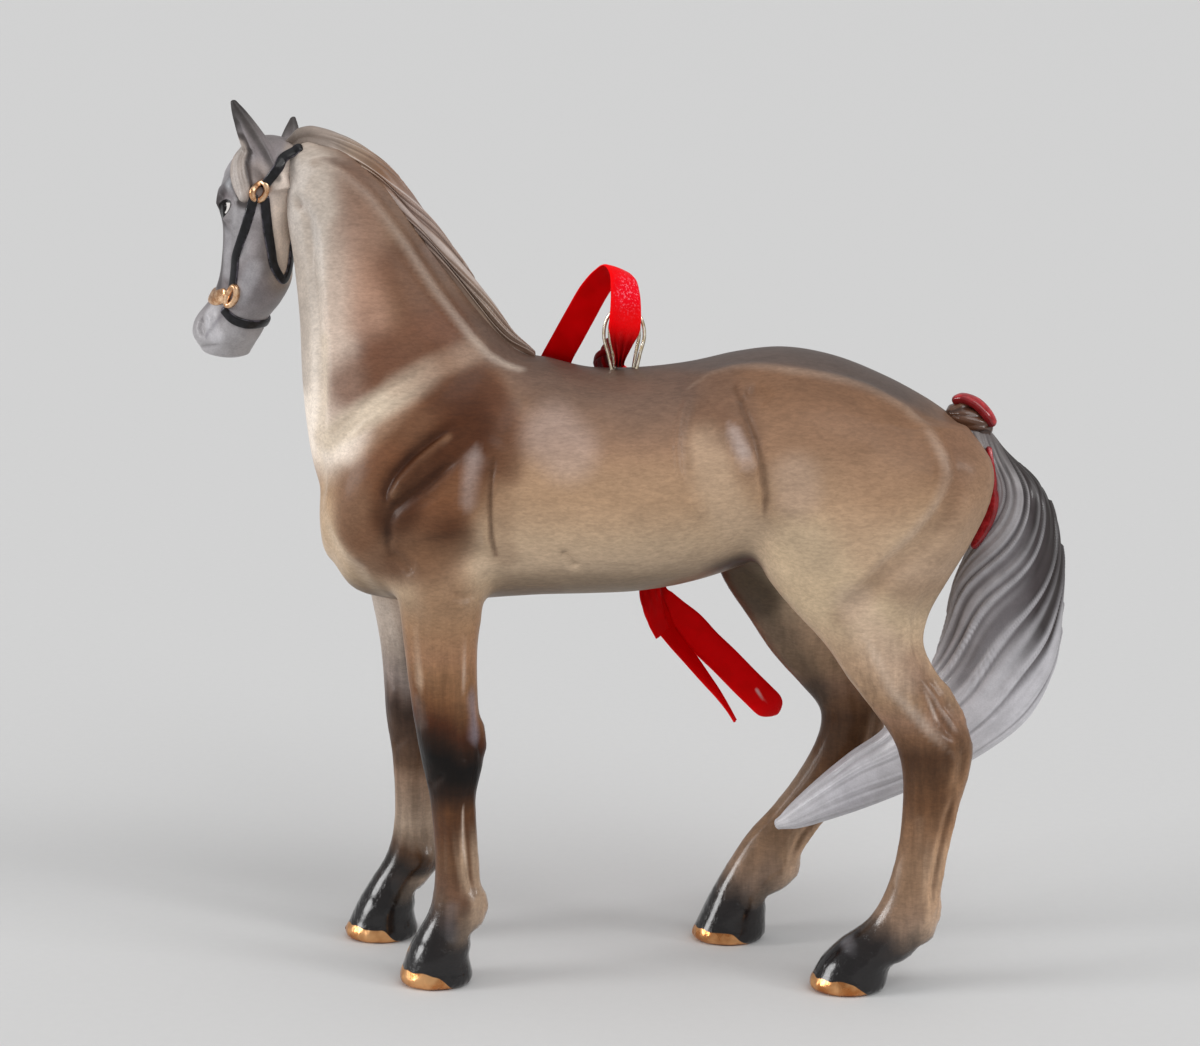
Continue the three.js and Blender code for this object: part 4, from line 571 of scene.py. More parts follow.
class Sheet:
    # the node tree of one material or of the world
    def __init__(self, name, owner=None):
        self.owner = owner or bpy.data.materials.new(name)
        self.owner.use_nodes = True
        self.tree = self.owner.node_tree
        self.tree.nodes.clear()

    def feed(self, socket, value):
        # links a Flow, or sets a constant; one number fills a whole vector
        if isinstance(value, Flow):
            self.tree.links.new(value.socket, socket)
        elif hasattr(socket.default_value, "__len__") and not hasattr(value, "__len__"):
            socket.default_value = [value] * len(socket.default_value)
        else:
            socket.default_value = value

    def node(self, kind, settings=None, out=0, **inputs):
        # new node; a keyword is a socket by its name, or by its number after an i
        made = self.tree.nodes.new("ShaderNode" + kind)
        for key, value in (settings or {}).items():
            setattr(made, key, value)
        for key, value in inputs.items():
            number = key[1:].isdigit() and key[0] == "i"
            self.feed(made.inputs[int(key[1:]) if number else key.replace("_", " ")], value)
        return Flow(self, made.outputs[out])

    def place(self):
        # place in the object, in metres
        return self.node("TexCoord", out=3)

    def noise(self, scale, detail=3.0, rough=0.5, where=None, twist=0.0):
        return self.node("TexNoise", Vector=where or self.place(), Scale=scale, Detail=detail,
                         Roughness=rough, Distortion=twist)

    def attribute(self, name, out=2):
        return self.node("Attribute", {"attribute_name": name}, out=out)

    def between(self, value, low, high, start=0.0, end=1.0):
        # start below low, end above high, smooth between
        return self.node("MapRange", {"interpolation_type": "SMOOTHSTEP"}, i0=value, i1=low, i2=high,
                         i3=start, i4=end)

    def mix(self, share, first, second):
        return self.node("Mix", {"data_type": "RGBA"}, out=2, i0=share, i6=first, i7=second)

    def bump(self, height, distance, strength=1.0):
        return self.node("Bump", Strength=strength, Distance=distance, Height=height)

    def surface(self, tint, wear, rough, relief, depth, strength=0.5, **more):
        # principled shader: its roughness follows wear between two values, and relief raises it
        return self.node("BsdfPrincipled", Base_Color=tint, Roughness=self.between(wear, 0.3, 0.7, *rough),
                         Normal=self.bump(relief, depth, strength), **more)

    def end(self, shader):
        self.tree.links.new(shader.socket, self.tree.nodes.new("ShaderNodeOutputMaterial").inputs[0])
        return self.owner


def colour(text, alpha=1.0):
    # a written colour for a shader socket
    return (*tone(text), alpha)


def dress(thing, material):
    thing.data.materials.clear()
    thing.data.materials.append(material)
    return thing


def addPiece(name, points, faces, material, slotName, *nodes):
    # a finished piece: mesh, material, body, and the nodes of the imported model that it stands for; slotName is not
    # used
    thing = dress(newObject(name, points, faces), material)
    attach(thing, "root")
    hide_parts(*nodes)
    return thing


# Body, neck and legs
coatLook = {
    "voxel": 0.445, "domes": (1.2, 1.6),   # mesh size and the caps of the torso
    "softRounds": 60,                      # how far the joints between the moulded parts melt
    "vent": (-5.38, 1.25, 1.6, 1.6),       # hole in the belly: x, inner and outer radius, depth
    "copper": ("b87440", "e8b27c"),        # lustre on the toes
    # written colours by height: body, forelegs, off foreleg, hind legs
    "body": [(38, "9a8771"), (41, "b29b81"), (43, "c6ae94"), (46, "c0a68a"), (50, "aa8b6e"), (55, "94745c"),
             (60, "785b49"), (64, "6c5347")],
    "fore": [(0, "100d0e"), (3, "100d0e"), (6, "150e0d"), (7.5, "33241d"), (9, "57402f"), (11, "644735"),
             (13, "63452f"), (16, "52331f"), (18, "55351e"), (20, "26150b"), (21.6, "0c0502"), (23.4, "060201"),
             (25.2, "241207"), (27, "46230f"), (29, "6c482d"), (32.1, "8a6547"), (34, "967054"), (37, "987659"),
             (42, "98775b")],
    "offFore": [(6.4, "1c1310"), (8.6, "120702"), (10.6, "4a3322"), (12.8, "9a8674"), (17.4, "846b58"), (19, "5f4736"),
                (21.5, "4a3528"), (23.8, "3c2b22"), (25, "5e4c43"), (26.8, "8b7d76"), (30, "a19286"), (36, "aea094")],
    "hind": [(0, "100d0e"), (4, "120e0f"), (6.5, "191211"), (8, "4a3c33"), (9.7, "7e6654"), (12.7, "846851"),
             (16.5, "76573f"), (19.5, "61422b"), (22, "533824"), (24.4, "492f1c"), (26.4, "6c4e38"), (28, "876853"),
             (30, "96795f"), (34, "ac9076"), (40, "c3ad90"), (45, "b89c80")],
}
legs = ((nearForeRings, "fore", 1.75), (offForeRings, "fore", 1.6), (nearHindRings, "hind", 1.6),
        (offHindRings, "hind", 1.5))   # rings, kind, height of the lustre on the toe


def legLine(rings, marks):
    # points on a leg at given heights and angles
    rings = fullRings(rings)
    share = np.linspace(0, 1, 400)
    height = (ringsAt(rings, share)[:, 1] + ringsAt(rings, share)[:, 3]) / 2
    spots = np.interp([-z for z, _ in marks], -height, share)
    return sectionPoints(ringsAt(rings, spots), np.array([angle for _, angle in marks], float))


# rows of (height and angle of each place on the line, width, height of the stroke)
legLook = {
    "sides": [([(20, 128), (16, 126), (12, 126), (9.5, 132)], 0.42, -0.3),
              ([(19, 160), (15, 160), (11, 160)], 0.5, 0.12), ([(9.6, 140), (8.6, 120)], 0.8, 0.22)],
    "hindSides": [([(19, 84), (14, 86), (10.5, 100)], 0.4, 0.13),
                  ([(40, 138), (36, 140), (32, 142), (29.5, 140)], 0.9, -0.45), ([(28.6, 128), (27, 120)], 0.9, -0.3),
                  ([(26.5, 75), (24.5, 80), (22.5, 88)], 0.9, 0.25), ([(24.5, 135), (22, 132)], 0.6, -0.22),
                  ([(38, 60), (33, 55), (29, 50)], 0.8, -0.2)],
    "foreSides": [([(39, 84), (34, 80), (30.5, 78)], 0.45, 0.14), ([(18.5, 80), (14, 84), (10.5, 96)], 0.4, 0.13),
                  ([(28.8, 140), (26, 136), (23, 142)], 0.5, 0.22),
                  ([(43, 112), (38, 108), (33, 100), (29.5, 92)], 0.6, -0.3),
                  ([(41, 60), (36, 55), (31, 50)], 0.7, -0.16), ([(27.5, 60), (25.5, 52), (23.3, 60)], 1.0, 0.28),
                  ([(26.5, 120), (24, 118)], 0.6, -0.28), ([(22, 70), (21, 40)], 0.5, -0.2)],
    "back": [([(4.1, angle) for angle in range(0, 361, 24)], 0.5, 0.04),
             ([(5.6, 180), (5.3, 165), (5.1, 150)], 0.8, -0.35), ([(5.6, 180), (5.3, 195), (5.1, 210)], 0.8, -0.35),
             ([(9.3, 180), (8.4, 180)], 0.7, 0.3)],
    "hindBack": [([(29.5, 180), (27.6, 180)], 1.0, 0.35)], "foreBack": [([(26.4, 180), (24.6, 180)], 0.9, 0.4)],
}


def legStrokes(rings, kind):
    # tendons, joints and the coronet of one leg; the rows of its sides are mirrored from one side to the other
    sided = [([(z, angle if near else 360 - angle) for z, angle in marks], width, height)
             for near in (True, False) for marks, width, height in legLook["sides"] + legLook[kind + "Sides"]]
    return [(legLine(rings, marks), width, height)
            for marks, width, height in sided + legLook["back"] + legLook[kind + "Back"]]


# lines of the modelling on the near side; the off side mirrors them
shoulderUpper = [(-16.7, -8.4, 56.4), (-18.8, -8.7, 55.1), (-20.6, -9, 53.6), (-22.1, -9.5, 51.9),
                 (-22.9, -9.6, 50.4), (-23, -9.7, 48.4)]
shoulderLower = [(-15.7, -9.6, 53.9), (-17.2, -9.8, 52.6), (-18.8, -9.9, 51.2), (-20.5, -9.9, 50.1),
                 (-22.1, -9.8, 48.7), (-22.7, -9.6, 47.3), (-22.8, -9, 45), (-22.6, -8.7, 43.9)]
shoulderRidge = [(-16.7, -8.8, 55.7), (-19, -9.2, 53.7), (-21.3, -9.6, 51.4), (-22.1, -9.7, 50.2)]
elbowCrease = [(-12.2, -10.1, 53.8), (-12.5, -10.4, 52), (-12.6, -10.6, 49.1), (-12.5, -10.1, 45.9),
               (-12.1, -9.5, 44.2)]
elbowRim = [(-13.3, -10, 53.8), (-13.6, -10.4, 51), (-13.6, -10.4, 48), (-13.4, -10.1, 45.2)]
elbowValley = [(-8.5, -7.1, 59.2), (-9.1, -7.6, 58.7), (-10.5, -9.1, 56.6), (-11.7, -9.8, 54.6)]
neckBand = [(-28.9, -5.1, 53.7), (-24.6, -7.3, 57.2), (-19.7, -6.7, 61), (-16, -5, 63.4)]
shoulderFront = [(-28.6, -5.2, 51.9), (-25.4, -6.8, 54.3), (-21.4, -8, 56.6), (-18, -6.8, 59.6), (-15, -5.3, 62.2)]
breastLine = [(-29.3, -3.7, 64.5), (-29.3, -4.5, 58.7), (-29.9, -3.6, 52.7), (-28.3, -6.3, 45.2),
              (-25.8, -7, 42.4), (-23.6, -3.4, 38.9)]
flankRidge = [(6.5, -7.3, 59.4), (5.8, -9.4, 57.2), (5.5, -10.6, 55.1), (5.7, -11.4, 53.3), (6.2, -11.7, 51.2)]
flankLow = [(6.7, -11.7, 50.4), (7.3, -11.6, 49.4), (8.2, -11.4, 48.6)]
croupRim = [(6.6, -6.2, 60.2), (8.6, -4.8, 61.3), (10.8, -4.6, 61.9), (13.3, -5.1, 62.1), (16.5, -6, 61.8),
            (20.3, -6, 61.3), (24, -5.7, 60.2), (27.7, -6.2, 58.1), (29.8, -8.4, 56.2), (31.1, -9.6, 54.2),
            (31.4, -10, 52.4), (30.3, -10.6, 49.6), (28.1, -11.1, 46.9), (25.2, -11.3, 44.2), (22, -11.1, 40.8)]
flankCrease = [(11.1, -7.3, 60.4), (12.1, -9.5, 58.2), (13.1, -10.8, 55.7), (13.6, -11.2, 53.3),
               (14, -10.9, 50.8), (14, -8.9, 46.9)]
flankHump = [(10.4, -9.8, 57.5), (11.8, -11.1, 54.8), (12.8, -11.3, 52.3)]
thighHump = [(15.3, -10.8, 50.7), (15.9, -9.8, 47.1), (15.2, -9.1, 43.6)]
hipHollow = [(12.1, -7.8, 60.2), (13.2, -8.3, 59.9), (14.3, -8.8, 59.4)]
buttockGroove = [(32.6, -9.6, 51.6), (31.1, -10.5, 48.8), (28.9, -11.1, 46.1), (26, -11.4, 43.4),
                 (22.8, -11.2, 39.8), (21.6, -10.9, 38.7)]
buttockRidge = [(33.3, -9.4, 50.6), (32.4, -9.6, 46.9), (30.7, -9.9, 43.7)]
crestLine = [(-30.5, 0, 81.6), (-27.9, -0.6, 80.5), (-25.2, -1.3, 78.5), (-21.5, -2.2, 73.9), (-18.4, -2.9, 69.3),
             (-14.7, -3.7, 64.7), (-13.1, -3.9, 63.1), (-10, -3.9, 61.6)]
jugular = [(-33, 0.7, 78.2), (-31.5, -0.5, 77.2), (-30.9, -1, 75.8), (-30.8, -1.2, 74.3), (-30.6, -1.6, 72)]
windpipe = [(-30.8, -1.2, 74.3), (-30.4, -2, 70.2), (-29.9, -3, 66.1), (-29.7, -4, 60.6), (-29.4, -4.7, 55.7)]
bandUpper = [(-28.4, -5.4, 55.6), (-25.5, -6.7, 58.2), (-22.3, -6.9, 60.4), (-18.7, -6.1, 62.3)]
bandLower = [(-27, -6.6, 55), (-24, -7.3, 57.7), (-21, -7.2, 59.7), (-17.7, -6.2, 61.7)]
gaskinLine = [(23.6, -11, 37.3), (25.1, -11, 34.4), (26.7, -10.7, 31.2), (29.8, -10.5, 27.8), (32.8, -10.1, 24.5)]
hockLine = [(29.4, -10.2, 32.4), (30.8, -10, 30.2), (32.3, -9.8, 27.9), (33.6, -9.5, 25.9)]
coatRelief = [
    (crestLine, 0.7, 0.34), ([(x + 0.9, y + 0.4, z + 0.9) for x, y, z in crestLine], 0.7, -0.3),
    (jugular, 0.6, -0.32), (windpipe, 0.7, -0.26), ([(x + 1.3, y - 0.5, z) for x, y, z in windpipe], 0.8, 0.2),
    (bandUpper, 0.4, -0.16), (bandLower, 0.35, 0.14), (gaskinLine, 0.9, 0.3), (hockLine, 0.35, 0.26),
    ([(x - 0.9, y, z) for x, y, z in hockLine], 0.6, -0.22),
    ([(12.2, -11.2, 54.5), (12.7, -11, 52), (12.9, -10.6, 49.6)], 0.9, 0.28),
    ([(-14.2, -9.6, 54.6), (-14.4, -10.3, 51.8), (-14.3, -10.4, 48.8)], 0.7, 0.2),
    (shoulderUpper, 0.55, -0.5), (shoulderLower, 0.6, -0.62), (shoulderRidge, 0.7, 0.34),
    (elbowCrease, 0.3, -0.34), (elbowRim, 0.75, 0.26), (elbowValley, 1.4, -0.45),
    ([(-18.2, -10, 50), (-17.2, -10.1, 48), (-16.8, -10.1, 46)], 2.4, 0.45),
    (neckBand, 2.2, -0.5), (shoulderFront, 1.2, 0.3), (breastLine, 0.7, -0.22),
    ([(-22.4, -8.8, 44.2), (-20.6, -9.5, 42.9), (-20.2, -9.7, 42.5)], 0.5, -0.3),
    ([(-5.7, -10.3, 44.8), (-5, -9.9, 43.9), (-4.2, -9.3, 43)], 0.5, -0.25),
    ([(-16.3, -10.3, 40.2), (-15.2, -9.9, 40), (-14.1, -8.9, 40.2)], 0.5, -0.3),
    (flankRidge, 0.36, 0.34), ([(x + 0.9, y, z) for x, y, z in flankRidge], 0.7, -0.2), (flankLow, 0.5, 0.28),
    (croupRim, 0.8, 0.34), (flankCrease, 0.5, -0.42),
    (flankHump, 1.2, 0.42), (thighHump, 1.8, 0.35), (hipHollow, 1.3, -0.5), (buttockGroove, 1.3, -0.7),
    (buttockRidge, 1.2, 0.45),
    ([(12.2, -6.3, 61.2), (11.6, -7.6, 60.4), (11.9, -8.6, 59.3)], 0.7, 0.3),
]


def bothStrokes(strokes):
    # the strokes of the near side and their mirror images
    return strokes + [([(x, -y, z) for x, y, z in line], width, height) for line, width, height in strokes]


def bellyVent(points, normals):
    # the vent hole that lets the kiln's heat into the hollow body
    middle, inner, outer, depth = coatLook["vent"]
    far = np.hypot(points[:, 0] - middle, points[:, 1])
    under = (points[:, 2] < 44) & (normals[:, 2] < 0)
    return points + np.where(under, depth * (1 - stepUp(far, inner, outer)), 0)[:, None] * np.array([0, 0, 1.0])


def neckGrid():
    # the neck narrows where it goes into the head, so that no edge of it shows there
    grid = loftGrid(fullRings(neckRings), 110, 112)
    middle = grid.mean(axis=1, keepdims=True)
    share = np.linspace(0, 1, 110)[:, None, None]
    return middle + (grid - middle) * (0.72 + 0.28 * stepUp(share, 0.0, 0.11))


skin, quads = fused("coat", [
    closedTube(loftGrid(fullRings(torsoRings), 150, 128, coatLook["domes"])),
    closedTube(neckGrid()),
] + [closedTube(loftGrid(fullRings(rings), 150, 72)) for rings, _, _ in legs], coatLook["voxel"])
skinEdges = edgesOf(quads)
skin = evenOut(skin, skinEdges, 6)


def hollows(points, faces, edges):
    # how far each vertex lies below its neighbours' mean, smoothed: large in creases
    normals = normalsOf(points, faces)
    dip = np.einsum("ij,ij->i", neighbourMean(points, edges, len(points)) - points, normals)
    for _ in range(14):
        dip = dip + 0.5 * (neighbourMean(dip, edges, len(points)) - dip)
    return dip


crease = stepUp(hollows(skin, quads, skinEdges), 0.0015, 0.008)
for _ in range(14):
    crease = np.maximum(crease, neighbourMean(crease, skinEdges, len(skin)))
crease = crease * stepUp(skin[:, 2], 20, 28)
skin = relax(skin, skinEdges, coatLook["softRounds"], 0.5, crease)
coatStrokes = bothStrokes(coatRelief)
for legRings, legKind, _ in legs:
    coatStrokes += legStrokes(legRings, legKind)
faces = triangled(quads)
fineLines = [line for line, width, height in coatStrokes if width < 0.6]
skin, faces = refined(skin, faces, nearLines(skin, fineLines, 1.3))
skin = relax(skin, edgesOf(faces), 2, 0.3)
skin, faces = refined(skin, faces, skin[:, 2] < 2.6)     # the hoofs
skin = carve(skin, normalsOf(skin, faces), coatStrokes)
skin = bellyVent(skin, normalsOf(skin, faces))
skin[:, 2] = np.maximum(skin[:, 2], 0.0)                # nothing goes below the soles
skinNormals = normalsOf(skin, faces)
print("coat:", len(skin), "points,", len(faces), "faces")


def coatPaint(points, normals):
    # airbrushed bands over a ground that runs from cream below to grey brown above, with painted highlights and painted
    # shade on top
    x, y, z = points.T
    flat = points[:, [0, 2]]
    side = lambda line, radius, soft: brush(flat, line, radius, soft)
    paint = stops(z, coatLook["body"])
    # neck: pale throat, warm middle, darker crest
    neck = stepUp(z + 0.9 * (x + 20), 60, 66) * stepUp(-x, 8, 14)
    paint = spray(paint, neck, "a4846c")
    paint = spray(paint, 0.6 * neck * (1 - stepUp(z + 0.6 * (x + 24), 62, 74)) * stepUp(x, -29, -24), "744b38")
    paint = spray(paint, 0.95 * side([(-31.8, 80), (-31.2, 71), (-30.8, 64), (-29.8, 56)], 2.0, 4.6), "f4e7d9")
    # painted light: the front of the neck is lighter where it faces forwards
    paint = spray(paint, 0.8 * neck * stepUp(-normals[:, 0], 0.2, 1.0) * (1 - stepUp(x, -29.5, -23)), "fffaf4")
    paint = sprayAll(paint, side, [
        (0.8, [(-27.3, 75), (-27.7, 67.4), (-27.6, 61), (-27.4, 57)], 0.8, 1.6, "c2ab9b"),
        (0.75, [(-26.2, 80.5), (-25.4, 76), (-24.9, 72), (-24.8, 66.5)], 0.8, 2.6, "ab8773"),
        (0.8, [(-21.6, 71.6), (-19.8, 68.4), (-17.6, 66)], 1.2, 3.4, "64412e"),
        (0.7, [(-29.7, 85.5), (-23.9, 82), (-19.6, 76.8), (-15.6, 70.5), (-10.6, 66)], 0.8, 2.2, "80614b"),
        (0.8, [(-26.6, 60.2), (-23.3, 63), (-17, 66)], 0.8, 3.2, "6c4734"),
        # back and croup
        (0.9, [(-11.6, 65.2), (-5.8, 62.2), (1.9, 61), (8, 62)], 1.7, 4.0, "604c42"),
        (0.5, [(-8, 58), (-2, 57.4), (4, 57.6)], 1.0, 3.4, "7c6252"),
        (0.75, [(11.4, 60), (20.2, 60), (27, 57.6), (30.9, 54.7)], 1.0, 4.8, "7b5a42"),
        (0.45, [(15, 55), (20, 54), (25, 51)], 1.0, 5.0, "98775e"),
        # painted highlights: bluish white light on the stifle and the upper gaskin
        (0.4, [(23.6, 37.1), (25.1, 35.6), (26.5, 34)], 0.1, 1.8, "cfc4c0"),
        (0.6, [(23.2, 36.8), (24.2, 35), (25.4, 32.8)], 0.0, 1.0, "e4dcda"),
        (0.45, [(34, 55), (34.8, 50), (33.2, 45), (29, 41)], 1.4, 3.4, "7c5c4a"),
        # quarters and flank
        (0.6, [(17.4, 49.7), (20.3, 46.8), (22.3, 43.9)], 1.5, 5.0, "aa8d72"),
        (0.85, [(17.5, 44.8), (20.5, 39.9), (24.4, 35.9)], 1.5, 4.2, "c5ae90"),
        (0.5, [(8.6, 55), (9.2, 51.7), (10.8, 48.5), (12.6, 46)], 0.9, 2.4, "bfa78e"),
        (0.55, [(9.8, 60.5), (11.2, 58.2), (11.8, 56.4)], 0.8, 2.2, "6d5344"),
        (0.4, [(-9.8, 50.6), (-2, 50), (4.5, 50.6)], 1.0, 4.0, "a98b6f"),
        # shoulder: dark patch between the cream band and the elbow
        (0.85, [(-25.6, 46.5), (-25.2, 50.4), (-21.6, 53.6), (-17.6, 57.8), (-13.8, 60)], 1.5, 1.7, "6a4630"),
        (0.8, [(-23.2, 44.6), (-20, 46.6), (-17, 49.6), (-14.6, 54)], 2.2, 2.8, "6c4730"),
        (0.75, [(-21.5, 43.6), (-18.4, 43.8), (-16, 46)], 1.0, 2.6, "573926"),
        (0.8, [(-22, 48), (-20.6, 51.4), (-17.4, 54.6), (-14.4, 57)], 1.2, 2.2, "452614"),
        (0.7, [(-17.6, 59.8), (-14.4, 60.4), (-12.4, 58), (-12.8, 54)], 1.0, 2.0, "4f301f"),
        (0.6, [(-22, 52), (-18, 48.5), (-15.4, 54), (-14.6, 58)], 1.6, 3.0, (0.74, 0.56, 0.42)),
        (0.6, [(-11.9, 59.3), (-10.2, 56.4), (-10.6, 52.5)], 0.3, 1.8, "5a3826"),
        (0.5, [(-17.5, 47.8), (-17.4, 44), (-17.2, 41)], 1.2, 2.6, (0.82, 0.66, 0.56)),
        (0.5, [(-26.8, 51), (-26.6, 47.5), (-25, 44.5)], 0.9, 1.6, "7a5a44"),
        (0.4, [(-6.6, 56), (-5, 54.6)], 1.2, 3.0, "b9a59b"),
        (0.5, [(16.9, 52.4), (17.2, 50.6)], 0.8, 2.6, "b79e8b"),
        (0.5, [(15.6, 48), (17.8, 46.2), (19.4, 44.6)], 0.8, 2.2, (0.72, 0.72, 0.74)),
        (0.55, [(-18.5, 43.5), (-17.5, 41), (-16.8, 38)], 1.0, 3.0, "7c5c44"),
    ])
    band = side([(-28.9, 54.8), (-25.4, 57.3), (-22.1, 59.4), (-18.6, 61.6)], 0.5, 1.6) * (1 - stepUp(x, -24.5, -16))
    paint = spray(paint, 0.92 * band, "d0bfaa")
    paint = spray(paint, 0.35 * side([(-22, 60.4), (-18, 62.3), (-14.6, 63.6)], 0.5, 1.3), "ab927e")
    # legs by height
    inFront = x < -6
    fore = (1 - stepUp(z, 36, 42)) * inFront
    toes = np.where(inFront, np.where(y < 0, -18.6, -23.8), np.where(y < 0, 23.1, 7.3))
    wave = 0.25 * np.sin(1.9 * x + 1.3 * y) + 0.15 * np.sin(4.3 * y - 2.2 * x)
    rise = z + (0.5 * np.clip(x - toes, -1, 5) + wave) * (1 - stepUp(z, 9, 14))
    rise = rise + (0.6 * np.clip(x + 17, -2.5, 2.5) + 2 * wave) * inFront * stepUp(z, 20, 24) * (1 - stepUp(z, 30, 34))
    paint = spray(paint, fore, stops(rise, coatLook["fore"]))
    hindZone = (1 - stepUp(z, 36, 42)) * ~inFront * (np.abs(y) > 1.5)
    paint = spray(paint, hindZone, stops(rise, coatLook["hind"]))
    # painted shade on the sides of the forelegs that face forwards, below the knee
    paint = spray(paint, 0.45 * (1 - stepUp(z, 21, 24)) * stepUp(z, 15, 19) * stepUp(-normals[:, 0], 0.25, 0.9)
                  * (y < 2) * inFront, "2c1c14")
    # the belly and the inner thighs turn away from the light
    paint = spray(paint, 0.55 * stepUp(-normals[:, 2], 0.45, 0.95) * stepUp(z, 36, 39), "44372b")
    groin = side([(9.3, 42), (11.3, 39.4), (13.6, 37.4)], 1.3, 2.6) * stepUp(y, 0.5, 2)
    paint = spray(paint, 0.85 * groin, "3a2a1a")
    paint = spray(paint, 0.6 * side([(13.5, 35), (16, 31), (18.6, 27.6)], 1.2, 2.6) * stepUp(y, 0.5, 2), "54473a")
    paint = spray(paint, 0.6 * side([(19.4, 26.8), (19, 25)], 0.8, 2.0) * stepUp(y, 0.5, 2), "352b25")
    paint = spray(paint, 0.5 * side([(17.4, 19.4), (15.4, 16.4)], 0.8, 2.0) * stepUp(y, 0.5, 2), "a3917f")
    pale = (1 - stepUp(np.abs(z - 10.5), 3, 7)) * stepUp(normals[:, 0], 0.0, 0.7)
    paint = spray(paint, 0.65 * pale, "b99f86")
    shin = (1 - stepUp(np.abs(z - 16), 6, 11)) * stepUp(normals[:, 0], 0.1, 0.8) * ~inFront
    paint = spray(paint, 0.5 * shin, "b98f6c")
    # the off legs stand in the shade of the near ones and are greyer
    off = stepUp(y, 2, 5) * inFront
    paint = spray(paint, off * (1 - stepUp(z, 36, 41)) * stepUp(z, 6.4, 7.6), stops(rise, coatLook["offFore"]))
    # painted highlight on the off foreleg above the knee
    paint = spray(paint, 0.5 * brush(points, [(-21.7, 4.2, 33), (-21.5, 4, 29.5), (-21.4, 4, 26.6)], 0.1, 0.9),
                  "a3968f")
    # soft light on the glaze of the hoofs
    for line in ([(-16.6, -9, 8.4), (-16.8, -9, 5.4)], [(22, -9, 6.2), (23.4, -9.4, 4)], [(8.8, 4, 8.2), (9.4, 4, 5.8)],
                 [(-22.4, 4, 8), (-22.2, 4, 5.4)]):
        paint = spray(paint, 0.4 * brush(points, line, 0.2, 1.0), "7d7a7e")
    for mirror in (1, -1):
        seen = points * [1, mirror, 1]
        mine = y * mirror < 0.5

        def at(line, radius, soft, taper=False):
            # brush on this side only; with taper it narrows and fades to its ends
            far, spot = reachOf(seen, line)
            ends = np.clip(np.minimum(spot, 1 - spot) * 4 + 0.3, 0, 1) if taper else 1.0
            return (1 - stepUp(far, radius * ends, (radius + soft) * ends + 0.05)) * mine * ends

